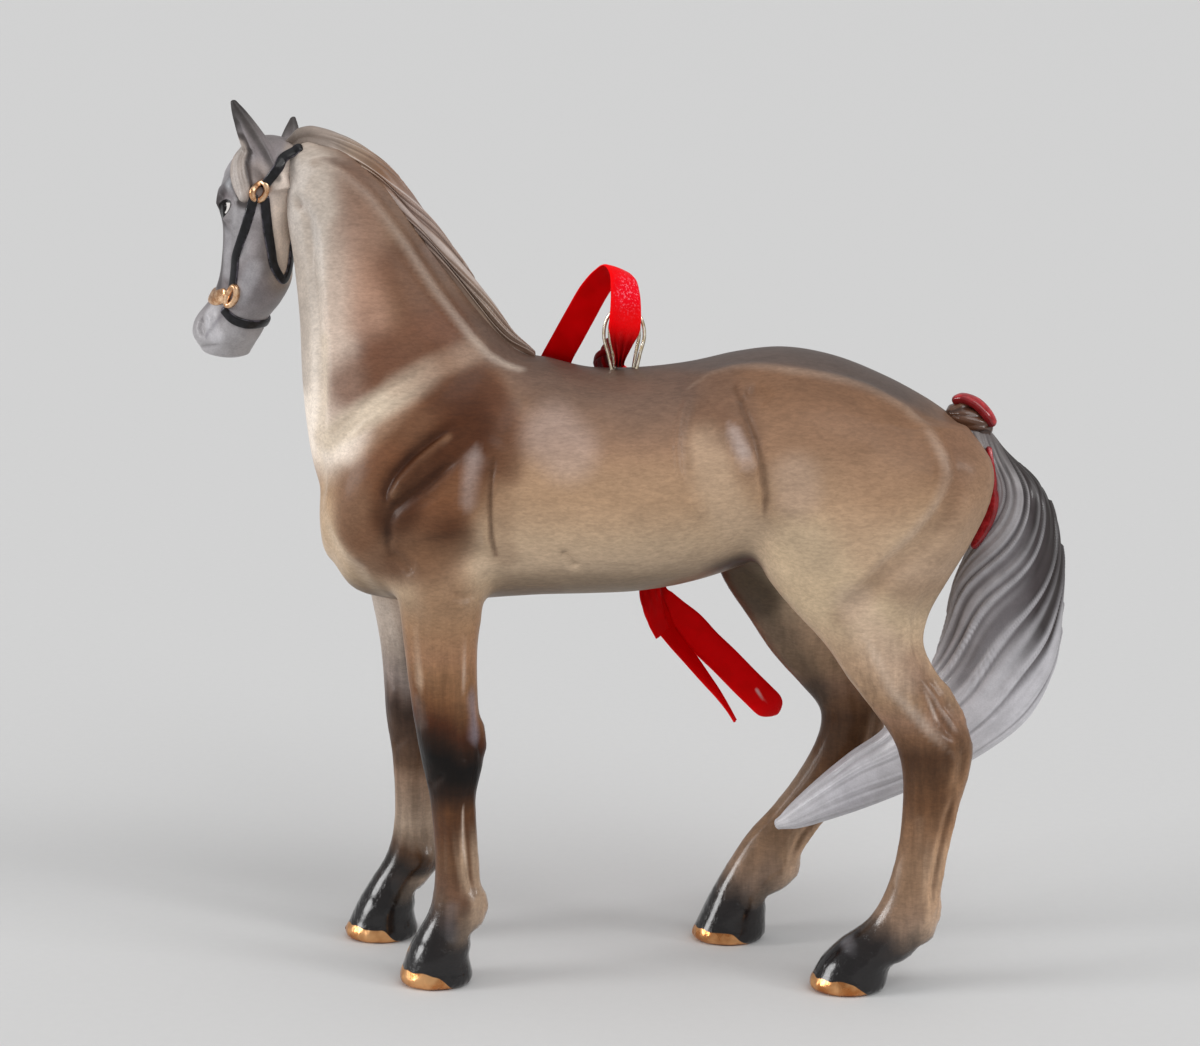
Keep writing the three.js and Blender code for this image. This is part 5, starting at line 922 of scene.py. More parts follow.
        paint = spray(paint, (0.25 + 0.5 * stepUp(z, 50, 56)) * at(breastLine, 0.1, 1.1), "dccbb7")
        paint = sprayAll(paint, at, [
            # painted shade: dark lines in the creases of the shoulder, the elbow, the flank and the buttock
            (0.95, shoulderUpper, 0.08, 0.5, "2a140a", True),
            (0.95, shoulderLower, 0.16, 0.55, "2a140a", True),
            (0.4, shoulderRidge, 0.1, 0.5, "8d6a50"),
            (0.6, elbowCrease, 0.02, 0.4, "452c1d"),
            (0.3, [(x + 0.8, y, z) for x, y, z in elbowCrease], 0.6, 1.6, "6b4c37"),
            (0.6, flankCrease, 0.05, 0.45, "59402f"),
            (0.35, buttockGroove, 0.4, 1.5, "80604a"),
            # painted highlights along the rim of the croup, on the flank, the triceps, the gaskin and the hock
            (0.45, croupRim, 0.0, 0.9, "c2ad9b", True),
            (0.6, flankHump, 0.0, 1.1, "dccfcb", True),
            (0.6, flankRidge, 0.0, 0.3, "cdbcae", True),
            (0.4, [(-13.9, -9.6, 55.2), (-14.4, -10.3, 51.8), (-14.7, -10.3, 48.2)], 0.0, 1.4, "bdaea8", True),
            (0.55, gaskinLine, 0.0, 0.8, "cdbfb2", True),
            (0.7, hockLine, 0.0, 0.3, "ddd3cb", True),
            (0.5, [(28.8, -9.5, 32.1), (30.7, -9.5, 29.7), (32, -9, 26.8), (31.2, -9, 23.8)], 0.5, 1.5, "5f4230"),
            (0.75, [(28.3, -9.6, 34), (29.8, -10, 31.1), (31, -10, 28), (31.7, -9.8, 25.3)], 0.0, 0.28, "e2d6cc", True),
            (0.6, [(32, -9, 30.2), (32.6, -9, 27.2), (32.9, -9, 25.8)], 0.0, 0.28, "cfbdae", True),
            # painted highlight streak down the hind cannon
            (0.5, [(27.6, -9.5, 21.4), (27.5, -9.5, 16), (27.3, -9, 10.7)], 0.1, 0.5, "b8a494", True),
            (0.5, [(29.8, -9, 20), (29.9, -9, 14), (29.8, -9, 9.5)], 0.3, 0.9, "b99a80", True),
            # foreleg: painted highlight streaks down the forearm and the cannon, a dark line, and painted highlights on
            # the knee
            (0.6, [(-15.5, -9.6, 39.9), (-15.4, -9.6, 35), (-15.3, -9.5, 30.2)], 0.0, 0.34, "cfb9a8", True),
            (0.6, [(-15.6, -9, 19.5), (-15.6, -9, 14.6), (-14.7, -9, 10.7)], 0.0, 0.26, "d2c0b1", True),
            (0.5, [(-17.3, -9, 18.5), (-17.2, -9, 14), (-17.2, -9, 10.7)], 0.0, 0.3, "8f7763", True),
            (0.5, [(-19.7, -9.4, 38.4), (-19.6, -9.4, 34), (-19.5, -9.4, 30)], 0.1, 0.7, "bda893", True),
            (0.5, [(-20.5, -9, 36), (-20.3, -9, 32), (-19.9, -9, 29)], 0.0, 0.4, "55392a", True),
            (0.35, [(-19.9, -9, 30.6), (-19.5, -9, 28.4), (-19.2, -9, 26)], 0.0, 1.0, "83766e", True),
            (0.45, [(-14.6, -8.8, 31), (-14.3, -9, 28), (-14.4, -9, 24.6)], 0.0, 1.0, "9a929c", True),
            # painted highlights on the rim of the elbow crease and along the crest of the neck
            (0.4, elbowRim, 0.0, 0.4, "c4b2a4", True),
            (0.6, crestLine, 0.0, 0.8, "c6b5a6"),
            (0.75, [(-18.6, -1.6, 73.6), (-16.7, -2.2, 71.1), (-14.3, -2.8, 68.2), (-12, -3, 65.9)],
             0.3, 1.2, "ab9790"),
            (0.5, [(x + 0.9, y + 0.5, z + 0.9) for x, y, z in crestLine], 0.2, 0.8, "6e5140"),
            # painted shade in the jugular groove
            (0.6, jugular, 0.0, 0.45, "7c6252"),
            (0.5, windpipe, 0.0, 0.35, "b09c8a"),
            (0.7, [(-34, 2.6, 76), (-33.4, 3.0, 74.5), (-33.2, 3.4, 73)], 0.4, 1.6, "7a4e36"),
            (0.4, bandUpper, 0.02, 0.35, "bda995"),
            (0.5, [(22.6, -10, 40.5), (25, -10, 36.5), (27.5, -10, 32.5)], 1.0, 2.0, "b7a08e"),
            (0.4, [(28.5, -10, 34), (30.5, -10, 30.5), (32, -10, 27.5)], 0.5, 1.6, "7c5a44"),
            (0.35, [(8.6, -9, 58.2), (9.6, -9.6, 56)], 0.8, 1.6, "6b4f3e"),
        ])
        # painted shade where the belly meets the hind legs, on the faces that turn downwards
        paint = spray(paint, 0.85 * at([(10.5, -7, 41), (12.5, -5, 42.8), (14.5, -2, 43.2)], 1.0, 2.6)
                      * stepUp(-normals[:, 2], -0.1, 0.5), "23150e")
    # the grey stripe along the back
    rim = np.interp(x, [4, 8, 12, 20, 26, 31], [2.0, 4.6, 5.2, 6.4, 6.2, 5.4])
    stripe = (1 - stepUp(np.abs(y) - rim, -1.5, 0.9)) * stepUp(x, -1, 11) * stepUp(z, 53, 57) * (1 - stepUp(x, 27, 35))
    paint = spray(paint, 0.85 * stripe, "564e4b")
    paint = spray(paint, 0.5 * (1 - stepUp(np.abs(y), 1.5, 4.5)) * stepUp(z, 58, 60) * stepUp(-x, -10, 6), "54433a")
    return paint


def coatGloss(points):
    # full at the hoofs, a trace up the legs
    z = points[:, 2]
    return np.clip(1 - stepUp(z, 5, 12) + 0.12 * (1 - stepUp(z, 30, 42)), 0, 1)


def toeBand(points):
    # above zero inside the lustre band round the front of each hoof, in millimetres
    x, y, z = points.T
    value = np.full(len(points), -1.0)
    for rings, _, edge in legs:
        last = rings[-1]
        front, back, middle = last[0], last[2], last[4]
        mine = (np.abs(y - middle) < 4.5) & (x > front - 2.5) & (x < back + 2)
        along = (x - front) / (back - front)
        wave = 0.07 * np.sin(2.6 * x + y * 2.2) + 0.06 * np.sin(4.1 * y - 1.3 * x)
        height = edge * (1.08 - 0.25 * along) * (1 - stepUp(along, 0.55, 0.86)) + wave - 0.05 - z
        value = np.where(mine, np.maximum(value, height), value)
    return value


def coatMaterial():
    # glaze over the airbrushed paint, streaked along the legs, with copper lustre on the toes
    sheet = Sheet("coatGlaze")
    paint, gloss = sheet.attribute("paint", 0), sheet.attribute("gloss")
    long = sheet.node("Mapping", Vector=sheet.place(), Scale=(0.35, 1.0, 1.0))
    grain = sheet.noise(4300, 3.0, 0.65, long, 0.4)
    cloud = sheet.noise(330, 4.0, 0.6, long)
    mottle = sheet.noise(1300, 4.0, 0.7, long, 0.6)
    tint = paint * sheet.between(cloud, 0.28, 0.72, 0.93, 1.07) * sheet.between(grain, 0.28, 0.72, 0.88, 1.11)
    leg = sheet.attribute("leg")
    upright = sheet.node("Mapping", Vector=sheet.place(), Scale=(1.0, 1.0, 0.12))
    streaks = sheet.noise(1300, 3.0, 0.6, upright)
    tint = tint * sheet.between(mottle, 0.3, 0.7, 0.92, 1.07) \
        * (1 + leg * sheet.between(streaks, 0.3, 0.7, -0.16, 0.16))
    rough = 0.45 - gloss * 0.26 + sheet.between(cloud, 0.3, 0.7, -0.03, 0.03)
    waves = sheet.noise(520, 2.0, 0.5) * 0.4 + leg * streaks * 0.8 + gloss * sheet.noise(1100, 3.0, 0.6) * 1.6
    glaze = sheet.node("BsdfPrincipled", Base_Color=tint, Roughness=rough, Normal=sheet.bump(waves, 0.00022, 0.5),
                       Coat_Weight=0.06 + gloss * 0.8, Coat_Roughness=0.16, Coat_IOR=1.5, Specular_IOR_Level=0.14)
    streak = sheet.noise(520, 2.0, 0.5)
    copper = sheet.mix(sheet.between(streak, 0.3, 0.7), *map(colour, coatLook["copper"]))
    lustre = sheet.surface(copper, streak, (0.24, 0.36), waves, 0.0001,
                           Metallic=sheet.between(grain, 0.2, 0.3, 0.9, 1.0))
    inside = sheet.between(sheet.attribute("toe"), -0.05, 0.05)
    return sheet.end(sheet.node("MixShader", Fac=inside, i1=glaze, i2=lustre))


coat = addPiece("coatSkin", skin, faces, coatMaterial(), "coat",
                "torso", "neck", "near_foreleg", "off_foreleg", "near_hind_leg", "off_hind_leg")
setColours(coat, "paint", coatPaint(skin, skinNormals))
setNumbers(coat, "gloss", coatGloss(skin))
setNumbers(coat, "toe", toeBand(skin))
setNumbers(coat, "leg", 1 - stepUp(skin[:, 2], 30, 42))


# Head, ears and forelock
def onLoft(rings, marks, grow=0.0):
    # places on a loft and the way out of it there, from (share, angle) marks
    marks = np.array(marks, float)
    at = lambda dt, da: sectionPoints(ringsAt(rings, np.clip(marks[:, 0] + dt, 0, 1)), marks[:, 1] + da, grow)
    spots = at(0, 0)
    out = unit(np.cross(at(0.004, 0) - at(-0.004, 0), at(0, 1.0) - at(0, -1.0)))
    middle = ringsAt(rings, marks[:, 0])
    middle = np.stack([(middle[:, 0] + middle[:, 2]) / 2, middle[:, 4], (middle[:, 1] + middle[:, 3]) / 2], axis=1)
    return spots, out * np.sign(np.einsum("ij,ij->i", out, spots - middle))[:, None]


def sweep(places, out, widths, heights, across=20, sink=0.25, closed=False, peak=0.0):
    # cushion-shaped band along places: rounded on top, sunk into the surface below
    if closed:
        along = unit(np.roll(places, -1, 0) - np.roll(places, 1, 0))
    else:
        along = unit(np.gradient(places, axis=0))
    side = unit(np.cross(along, out))
    out = unit(np.cross(side, along))
    turn = np.arange(across) * 2 * np.pi / across
    u = np.sign(np.cos(turn)) * np.abs(np.cos(turn)) ** 0.75
    v = np.sign(np.sin(turn)) * np.abs(np.sin(turn)) ** 0.85
    v = np.where(v > 0, v, v * (1 + sink / np.mean(heights)))
    v = v + peak * np.exp(-(u / 0.35) ** 2) * (np.sin(turn) > 0)
    grid = (places[:, None] + side[:, None] * (u[None, :, None] * np.asarray(widths)[:, None, None] / 2)
            + out[:, None] * (v[None, :, None] * np.asarray(heights)[:, None, None] / 2))
    return grid, np.broadcast_to(np.abs(u), grid.shape[:2])


def rounded(grid, steps=4):
    # adds shrinking rings past both ends, so that the band ends rounded
    def cap(end, inner):
        # rings on a quarter circle from the end ring to its middle
        middle = end.mean(axis=0)
        reach = np.linalg.norm(end - middle, axis=1).max() * 0.75
        axis = unit(middle - inner.mean(axis=0))
        lean = np.linspace(0, np.pi / 2, steps + 2)[1:-1][:, None, None]
        return middle + (end - middle)[None] * np.cos(lean) + axis * reach * np.sin(lean)
    return np.vstack([cap(grid[0], grid[1])[::-1], grid, cap(grid[-1], grid[-2])])


def smoothMarks(rings, marks, count, grow):
    # a smooth line of places and outward ways through marks on a loft
    spots, out = onLoft(rings, marks, grow)
    both = evenly(curveThrough(np.hstack([spots, out]), 8 * count), count)
    return both[:, :3], unit(both[:, 3:])


faceLook = {"voxel": 0.13, "lockLine": [(0.0, 58), (0.07, 72), (0.12, 88), (0.165, 101), (0.2, 109)],
            "lockGrooves": (-0.62, -0.2, 0.25, 0.66),   # forelock: its line on the head, offsets of its grooves
            "eye": (0.95, 0.86),                        # half lengths of the almond of each eye
            # written colours by height: the face, and the neck's cream behind the halter
            "colours": [(60, "a9a6a8"), (63, "a6a3a5"), (65.2, "979395"), (66.6, "888385"), (68.8, "7b7476"),
                        (72, "807a7b"), (76, "857f80"), (79, "928d8f"), (82, "8c8485"), (85, "6a6362"),
                        (87.4, "2c2827")],
            "behind": [(69, "c0ab9c"), (72, "ead8c8"), (78, "f0dfd1"), (80, "e2d3c7"), (83, "a99b90")]}
headLoft, neckLoft = fullRings(headRings), fullRings(neckRings)
ears = ((fullRings(nearEarRings), 80), (fullRings(offEarRings), 280))   # rings and the angle that the ear opens to
earStrokes = []
for ear, mouth in ears:
    earStrokes += [(onLoft(ear, [(0.06, mouth), (0.2, mouth), (0.5, mouth)])[0], 0.72, -0.42),
                   (onLoft(ear, [(0.4, mouth), (0.6, mouth), (0.85, mouth)])[0], 0.42, -0.34),
                   (onLoft(ear, [(0.1, mouth + 62), (0.4, mouth + 66), (0.8, mouth + 70)])[0], 0.35, 0.18)]


def headLine(*marks):
    # places on the head from (share of its length, angle) marks
    return onLoft(headLoft, marks)[0]


def headStrokes():
    # modelling of the face on the near side, then mirrored on the head's own middle
    lines = [
        ([(0.265, 79), (0.315, 81), (0.355, 83)], 0.7, 0.3),        # eyeball
        ([(0.195, 90), (0.2, 72), (0.24, 58), (0.33, 58)], 0.6, 0.4),   # brow over the eye
        ([(0.225, 97), (0.295, 103), (0.365, 99)], 0.35, 0.14),   # lower lid
        ([(0.4, 84), (0.44, 80), (0.5, 74)], 0.5, -0.16),
        ([(0.3, 128), (0.4, 136), (0.48, 142), (0.53, 150)], 0.7, -0.24),  # under the cheek
        ([(0.24, 120), (0.34, 124), (0.45, 124), (0.53, 118)], 1.4, 0.3),   # round of the cheek
        ([(0.45, 60), (0.55, 66), (0.66, 70)], 0.5, 0.16),         # ridge down the face
        ([(0.5, 90), (0.6, 92), (0.68, 92)], 0.7, -0.2),
        ([(0.86, 62), (0.9, 70), (0.93, 82)], 0.42, -0.42),        # nostril
        ([(0.83, 66), (0.84, 82), (0.9, 92)], 0.4, 0.22),
        ([(0.99, 60), (0.975, 90), (0.96, 112)], 0.22, -0.16),      # mouth
        ([(0.8, 100), (0.87, 108), (0.93, 104)], 0.5, -0.12),
        ([(0.86, 150), (0.9, 165)], 0.8, 0.16),
        ([(0.07, 20), (0.14, 30), (0.2, 36)], 0.6, 0.12),
    ]
    strokes = []
    for marks, width, height in lines:
        for side in (1, -1):
            strokes.append((headLine(*[(t, side * angle) for t, angle in marks]), width, height))
    return strokes


def leaf():
    # the forelock lies on the forehead before the near ear
    places, out = smoothMarks(headLoft, faceLook["lockLine"], 40, 0.5)
    swell = 0.35 + 0.65 * np.sin(np.pi * np.linspace(0.08, 0.93, 40)) ** 0.8
    grid, _ = sweep(places, out, 2.3 * swell, np.full(40, 0.9), 28, 0.5)
    return rounded(grid)


earSpread = np.array([1, 1, 1, 1, 1, 1.1, 1, 1, 1])   # the moulded ears are a little broader than their rings
faceSkin, faceQuads = fused("face", [
    closedTube(loftGrid(headLoft, 130, 120, (1.2, 0.8))),
    closedTube(loftGrid(ears[0][0] * earSpread, 60, 48, (0, 0.3))),
    closedTube(loftGrid(ears[1][0] * earSpread, 60, 48, (0, 0.3))),
    closedTube(leaf()),
], faceLook["voxel"])
faceEdges = edgesOf(faceQuads)
faceSkin = evenOut(faceSkin, faceEdges, 6)
faceCrease = stepUp(hollows(faceSkin, faceQuads, faceEdges), 0.0012, 0.006)
for _ in range(8):
    faceCrease = np.maximum(faceCrease, neighbourMean(faceCrease, faceEdges, len(faceSkin)))
faceSkin = relax(faceSkin, faceEdges, 24, 0.5, faceCrease)
faceSkin = carve(faceSkin, normalsOf(faceSkin, faceQuads), headStrokes() + earStrokes)
lockPlaces, lockOut = smoothMarks(headLoft, faceLook["lockLine"], 16, 1.0)
lockSide = unit(np.cross(np.gradient(lockPlaces, axis=0), lockOut))
faceSkin = carve(faceSkin, normalsOf(faceSkin, faceQuads),
                 [(lockPlaces + lockSide * offset, 0.17, -0.2) for offset in faceLook["lockGrooves"]])
faceNormals = normalsOf(faceSkin, faceQuads)
print("face:", len(faceSkin), "points")


crownMarks = [(0.13, 129), (0.06, 135), (0.025, 138)]
pollMarks = [(0, 92), (0.005, 122), (0.02, 180), (0.005, 238), (0, 268)]
cheekMarks = [(0.19, 121), (0.33, 118), (0.41, 108), (0.5, 96), (0.65, 92)]
throatMarks = [(0.185, 136), (0.3, 149), (0.4, 157), (0.48, 163), (0.54, 180), (0.48, 197), (0.4, 203),
               (0.3, 211), (0.185, 224)]


def eyeShape(points):
    # above zero inside the almond of each eye, and inside its white at the back
    inside, white = np.full(len(points), -1.0), np.full(len(points), -1.0)
    long, high = faceLook["eye"]
    for side in (1, -1):
        spots, _ = onLoft(headLoft, [(0.3, side * 76), (0.34, side * 77), (0.3, side * 94)])
        along, across = unit(spots[1] - spots[0]), unit(spots[2] - spots[0])
        d = points - spots[0]
        a, b = d @ along, d @ across
        mine = np.linalg.norm(d, axis=1) < 2.2
        almond = 1 - np.sqrt((a / long) ** 2 + (b / (high - 0.14 * a)) ** 2)
        inside = np.where(mine, np.maximum(inside, almond), inside)
        back = np.minimum(np.minimum(almond - 0.09, np.hypot(a, b + 0.1) * 1.5 - 0.98), 0.52 - np.abs(a + 0.12))
        back = np.minimum(back, b - 0.1)
        white = np.where(mine, np.maximum(white, back), white)
    return inside, white


def facePaint(points, normals):
    # greys by height, darker down the face and round the eyes, with darker rims to the ears; painted highlights on the
    # brow, cheek and jaw, and painted shade under the brow, under the cheek and before the eye
    x, y, z = points.T
    paint = stops(z, faceLook["colours"])
    poll = headLine((0.0, 180), (0.2, 180), (0.45, 180))
    behind = brush(points, poll, 1.6, 3.0) * (1 - stepUp(-x, 34, 37)) * (1 - stepUp(z, 79.5, 81.5))
    paint = spray(paint, 0.7 * behind, "93816f")
    # behind the halter the neck's cream starts
    for side in (1, -1):
        strap = headLine(*[(t, side * angle) for t, angle in crownMarks[::-1] + throatMarks[:4]])
        order = np.argsort(strap[:, 2])
        rear = x - np.interp(z, strap[order, 2], strap[order, 0])
        mine = stepUp(rear, 0.1, 0.9) * stepUp(z, 68.6, 70.4) * (1 - stepUp(z, 82.6, 84))
        paint = spray(paint, 0.9 * mine, stops(z, faceLook["behind"]))
    for side in (1, -1):
        line = lambda *marks: headLine(*[(t, side * angle) for t, angle in marks])
        at = lambda marks, radius, soft: brush(points, line(*marks), radius, soft)
        paint = sprayAll(paint, at, [
            (0.8, [(0.17, 62), (0.22, 57), (0.3, 55), (0.4, 54), (0.52, 53), (0.68, 52)], 0.35, 1.1, "332c2e"),
            (0.75, [(0.2, 72), (0.235, 65), (0.3, 62), (0.38, 63)], 0.25, 0.8, "2c2325"),
            (0.5, [(0.37, 74), (0.42, 78), (0.5, 84)], 0.4, 1.2, "6b6365"),
            # painted highlight on the round of the cheek
            (0.6, [(0.24, 122), (0.32, 124), (0.4, 120)], 0.4, 1.3, "bab4b6"),
            # painted shade under the cheek
            (0.5, [(0.3, 130), (0.4, 138), (0.5, 146)], 0.2, 1.0, "5c5453"),
            (0.45, [(0.4, 96), (0.5, 84), (0.6, 80)], 0.4, 1.2, "625b5c"),
            # painted highlight on the cheek
            (0.6, [(0.26, 116), (0.36, 116), (0.46, 114)], 0.6, 1.4, "a19b9d"),
            (0.6, [(0.86, 62), (0.9, 68), (0.92, 76)], 0.08, 0.3, "4f4a4c"),
            (0.4, [(0.99, 60), (0.975, 90), (0.96, 112)], 0.04, 0.25, "7a7577"),
            # painted highlight on the brow, then painted shade under the brow and in front of the eye
            (0.7, [(0.165, 88), (0.18, 78)], 0.3, 0.8, "b9bbbf"),
            (0.55, [(0.255, 92), (0.245, 80), (0.25, 68)], 0.1, 0.6, "5c5054"),
            (0.8, [(0.25, 66), (0.3, 62), (0.36, 66), (0.4, 74)], 0.15, 0.6, "2c2526"),
            (0.5, [(0.3, 104), (0.36, 102), (0.44, 100)], 0.4, 1.3, "99989a"),
            (0.5, [(0.42, 74), (0.52, 73), (0.6, 76)], 0.2, 0.9, "b4b2b6"),
            (0.6, [(0.76, 66), (0.82, 74), (0.88, 92), (0.92, 104)], 0.3, 1.0, "cdcbcf"),
            (0.5, [(0.8, 96), (0.86, 94), (0.93, 88)], 0.0, 0.35, "716c74"),
            # painted highlight along the jaw
            (0.5, [(0.5, 130), (0.58, 120), (0.68, 112)], 0.3, 1.0, "b4b2b6"),
            (0.6, [(0.24, 98), (0.3, 101), (0.36, 98)], 0.02, 0.22, "4a4445"),
            (0.5, [(0.05, 40), (0.12, 40), (0.2, 44)], 0.8, 1.4, "a9a7aa"),
        ])
    for ear, side in ears:
        deep = onLoft(ear, [(0.1, side), (0.4, side), (0.85, side)])[0]
        paint = spray(paint, 0.6 * brush(points, deep, 0.25, 0.6), "989294")
        for turn in (-56, 60):
            rim = onLoft(ear, [(0.12, side + turn), (0.45, side + turn), (0.9, side + turn * 0.8)])[0]
            paint = spray(paint, 0.75 * brush(points, rim, 0.18, 0.42), "3c3735")
        root = onLoft(ear, [(0.02, side), (0.22, side)])[0]
        paint = spray(paint, 0.55 * brush(points, root, 0.7, 1.3), "b3a59d")
        tip = onLoft(ear, [(0.86, 0), (0.97, 0)])[0]
        paint = spray(paint, 0.9 * brush(points, tip, 0.6, 1.6), "332f2e")
    lock = brush(points, lockPlaces, 0.78, 0.3)
    rimmed = brush(points, lockPlaces, 1.25, 0.4)
    paint = spray(paint, 0.85 * rimmed, "3a322f")
    paint = spray(paint, 0.85 * lock, "a99d95")
    paint = spray(paint, 0.6 * brush(points, lockPlaces + lockSide * 0.3, 0.1, 0.5) * lock, "b9b2ad")
    for offset in faceLook["lockGrooves"]:
        paint = spray(paint, 0.5 * brush(points, lockPlaces + lockSide * offset, 0.02, 0.16), "5a4f4a")
    return paint


def faceMaterial():
    # the painted glaze, and glossy black eyes with a white at the back
    sheet = Sheet("faceGlaze")
    paint = sheet.attribute("paint", 0)
    grain, cloud = sheet.noise(6000, 2.0, 0.6), sheet.noise(700, 4.0, 0.6)
    tint = paint * sheet.between(cloud, 0.3, 0.7, 0.9, 1.1) * sheet.between(grain, 0.3, 0.7, 0.92, 1.08)
    skinGlaze = sheet.surface(tint, cloud, (0.42, 0.5), sheet.noise(900, 2.0), 0.00005, Coat_Weight=0.12,
                              Coat_Roughness=0.15, Specular_IOR_Level=0.25)
    white = sheet.between(sheet.attribute("eyeWhite"), -0.04, 0.04)
    spot = sheet.mix(white, sheet.mix(cloud, colour("070606"), colour("0f0c0b")), colour("dedad6"))
    eye = sheet.node("BsdfPrincipled", Base_Color=spot, Roughness=sheet.between(cloud, 0.3, 0.7, 0.2, 0.3),
                     Specular_IOR_Level=0.1)
    inside = sheet.between(sheet.attribute("eye"), -0.05, 0.05)
    return sheet.end(sheet.node("MixShader", Fac=inside, i1=skinGlaze, i2=eye))


face = addPiece("faceSkin", faceSkin, faceQuads, faceMaterial(), "face", "head", "near_ear", "off_ear", "forelock")
setColours(face, "paint", facePaint(faceSkin, faceNormals))
eyeInside, eyeWhite = eyeShape(faceSkin)
setNumbers(face, "eye", eyeInside)
setNumbers(face, "eyeWhite", eyeWhite)


# Tail, mane and the tail's knot
def hairRelief(phase, sharp=0.6, blunt=0.012):
    # rounded strands with narrow grooves between them, 0 in a groove and 1 on a strand
    return (np.sin(phase) ** 2 + blunt) ** (sharp / 2)


def gridNormals(grid):
    # way out of a grid at each of its points: its two directions crossed, turned from the middle
    along = np.gradient(grid, axis=0)
    around = np.roll(grid, -1, axis=1) - np.roll(grid, 1, axis=1)
    out = unit(np.cross(along, around))
    middle = grid.mean(axis=1, keepdims=True)
    turned = np.einsum("ijk,ijk->ij", out, grid - middle)
    return out * np.sign(np.median(turned))


def strandMaterial(name, shine):
    # the painted glaze of carved strands
    sheet = Sheet(name)
    paint = sheet.attribute("paint", 0)
    cloud = sheet.noise(600, 4.0, 0.6)
    grain = sheet.noise(6000, 2.0, 0.6)
    tint = paint * sheet.between(cloud, 0.3, 0.7, 0.92, 1.08) * sheet.between(grain, 0.3, 0.7, 0.95, 1.05)
    return sheet.end(sheet.surface(tint, cloud, (shine["rough"], shine["rough"] + 0.1), grain, 0.00003, 0.4,
                                   Coat_Weight=shine["coat"], Coat_Roughness=0.14, Specular_IOR_Level=0.25))


def addStrands(name, grid, tint, glaze, look, slotName, node):
    # a piece of carved strands; the two points that close its ends take the colour of a neighbour
    thing = addPiece(name, *closedTube(grid), strandMaterial(glaze, look), slotName, node)
    setColours(thing, "paint", np.vstack([tint, tint[:1], tint[-1:]]))


tailLook = {"along": 470, "around": 206, "rough": 0.38, "coat": 0.3,   # rings, columns, roughness, clear coat
            "colours": [(0, "6a615e"), (0.08, "8d8787"), (0.2, "a9a6a9"), (0.35, "b7b4b8"), (0.55, "d0ced3"),
                        (0.7, "cccace"), (0.85, "c6c4ca"), (1.0, "d6d4d8")]}   # from the dock to the tip


def buildTail():
    # strands whose phase follows the side of the tail and drops along it; each gets a lift by hairRelief
    rings = fullRings(tailRings)
    along, around = tailLook["along"], tailLook["around"]
    grid = loftGrid(rings, along, around, (0, 0.4))
    rows = len(grid)
    t = np.clip(np.linspace(0, rows / along, rows), 0, 1)[:, None]
    turn = (np.arange(around) * 360.0 / around)[None, :]
    half = np.minimum(turn, 360 - turn)        # 0 on one edge ... 180 on the other, on either side
    outer = 180 - half
    side = np.where(turn <= 180, 1.0, -1.0)
    # strands leave the outer edge and sweep down to the inner one, fast high up and slowly near the tip
    drift = 2.5 * (t - 0.5 * np.clip(t - 0.25, 0, 0.4) ** 2 / 0.4)
    drift = np.where(t > 0.65, 2.5 * 0.45 + (t - 0.65) * 0.25, drift)
    flow = outer / 180.0 - drift
    sway = 0.03 * np.sin(6 * t + 3 * side) + 0.02 * np.sin(15 * t + outer / 28 + side)
    phase = 5.4 * (flow + sway)
    phase = phase + 0.22 * np.sin(1.7 * np.pi * phase + 1.0) + 0.16 * np.sin(5.3 * phase + side + 3 * t)
    large = hairRelief(np.pi * phase, 0.62, 0.045)
    valley = np.abs(np.sin(np.pi * phase))
    middle = hairRelief(np.pi * (2.9 * phase + 0.3 * np.sin(7 * t)) + 0.4, 0.8, 0.05)
    fine = hairRelief(np.pi * (6.1 * phase + 0.5 * np.sin(11 * t + outer / 40)) + 1.1, 0.9, 0.08)
    fade = stepUp(t, 0.0, 0.05) * (1 - 0.6 * stepUp(t, 0.7, 1.0))
    thick = 0.2 + 0.8 * np.sin(np.pi * np.clip(t, 0.02, 0.98)) ** 0.5
    calm = 1 - 0.75 * stepUp(t, 0.42, 0.66)
    # some strands lie deep and others hardly show
    deep = np.clip(0.7 + 0.45 * np.sin(4.3 * flow * np.pi + 6 * t + side), 0.25, 1.1)
    rough = 0.45 + 0.55 * (1 - stepUp(t, 0.3, 0.6))
    lift = (0.85 * calm * deep * (large - 0.75) + rough * (0.22 * (middle - 0.65) + 0.03 * (fine - 0.6))) * fade * thick
    grid = grid + gridNormals(grid) * (lift - 0.02)[:, :, None]
    shape = grid.shape[:2]
    return grid, [np.broadcast_to(value, shape) for value in (valley, 0.88 * middle + 0.12 * fine, t, outer)]


def tailPaint(large, small, t, outer):
    # lilac grey that pales to the tip, near black brown in the grooves of the outer upper part
    base = stops(t.ravel(), tailLook["colours"])
    back = (1 - stepUp(outer, 30, 125)) * (1 - stepUp(t, 0.3, 0.56)) * stepUp(t, 0.01, 0.1)
    groove = 1 - stepUp(large, 0.55, 1.05)
    for mask, shade in (
            (0.97 * groove * np.clip(1.5 * back, 0, 1), "1d1513"),
            (0.62 * (1 - stepUp(large, 0.12, 0.6)) * (1 - stepUp(t, 0.4, 0.72)), "43383a"),
            (0.8 * np.sqrt(back) * (1 - stepUp(outer, 24, 84)) * (1 - stepUp(t, 0.26, 0.42)), "1f1916"),
            (0.5 * (1 - stepUp(small, 0.3, 0.8)) * (0.16 + 0.8 * back), "4a4244"),
            (0.42 * (1 - stepUp(large, 0.1, 0.6)) * (1 - back) * (1 - 0.6 * t), "6d686c")):
        base = spray(base, mask.ravel(), shade)
    return base


tailGrid, tailLayers = buildTail()
addStrands("tailHair", tailGrid, tailPaint(*tailLayers), "tailGlaze", tailLook, "tail", "tail")


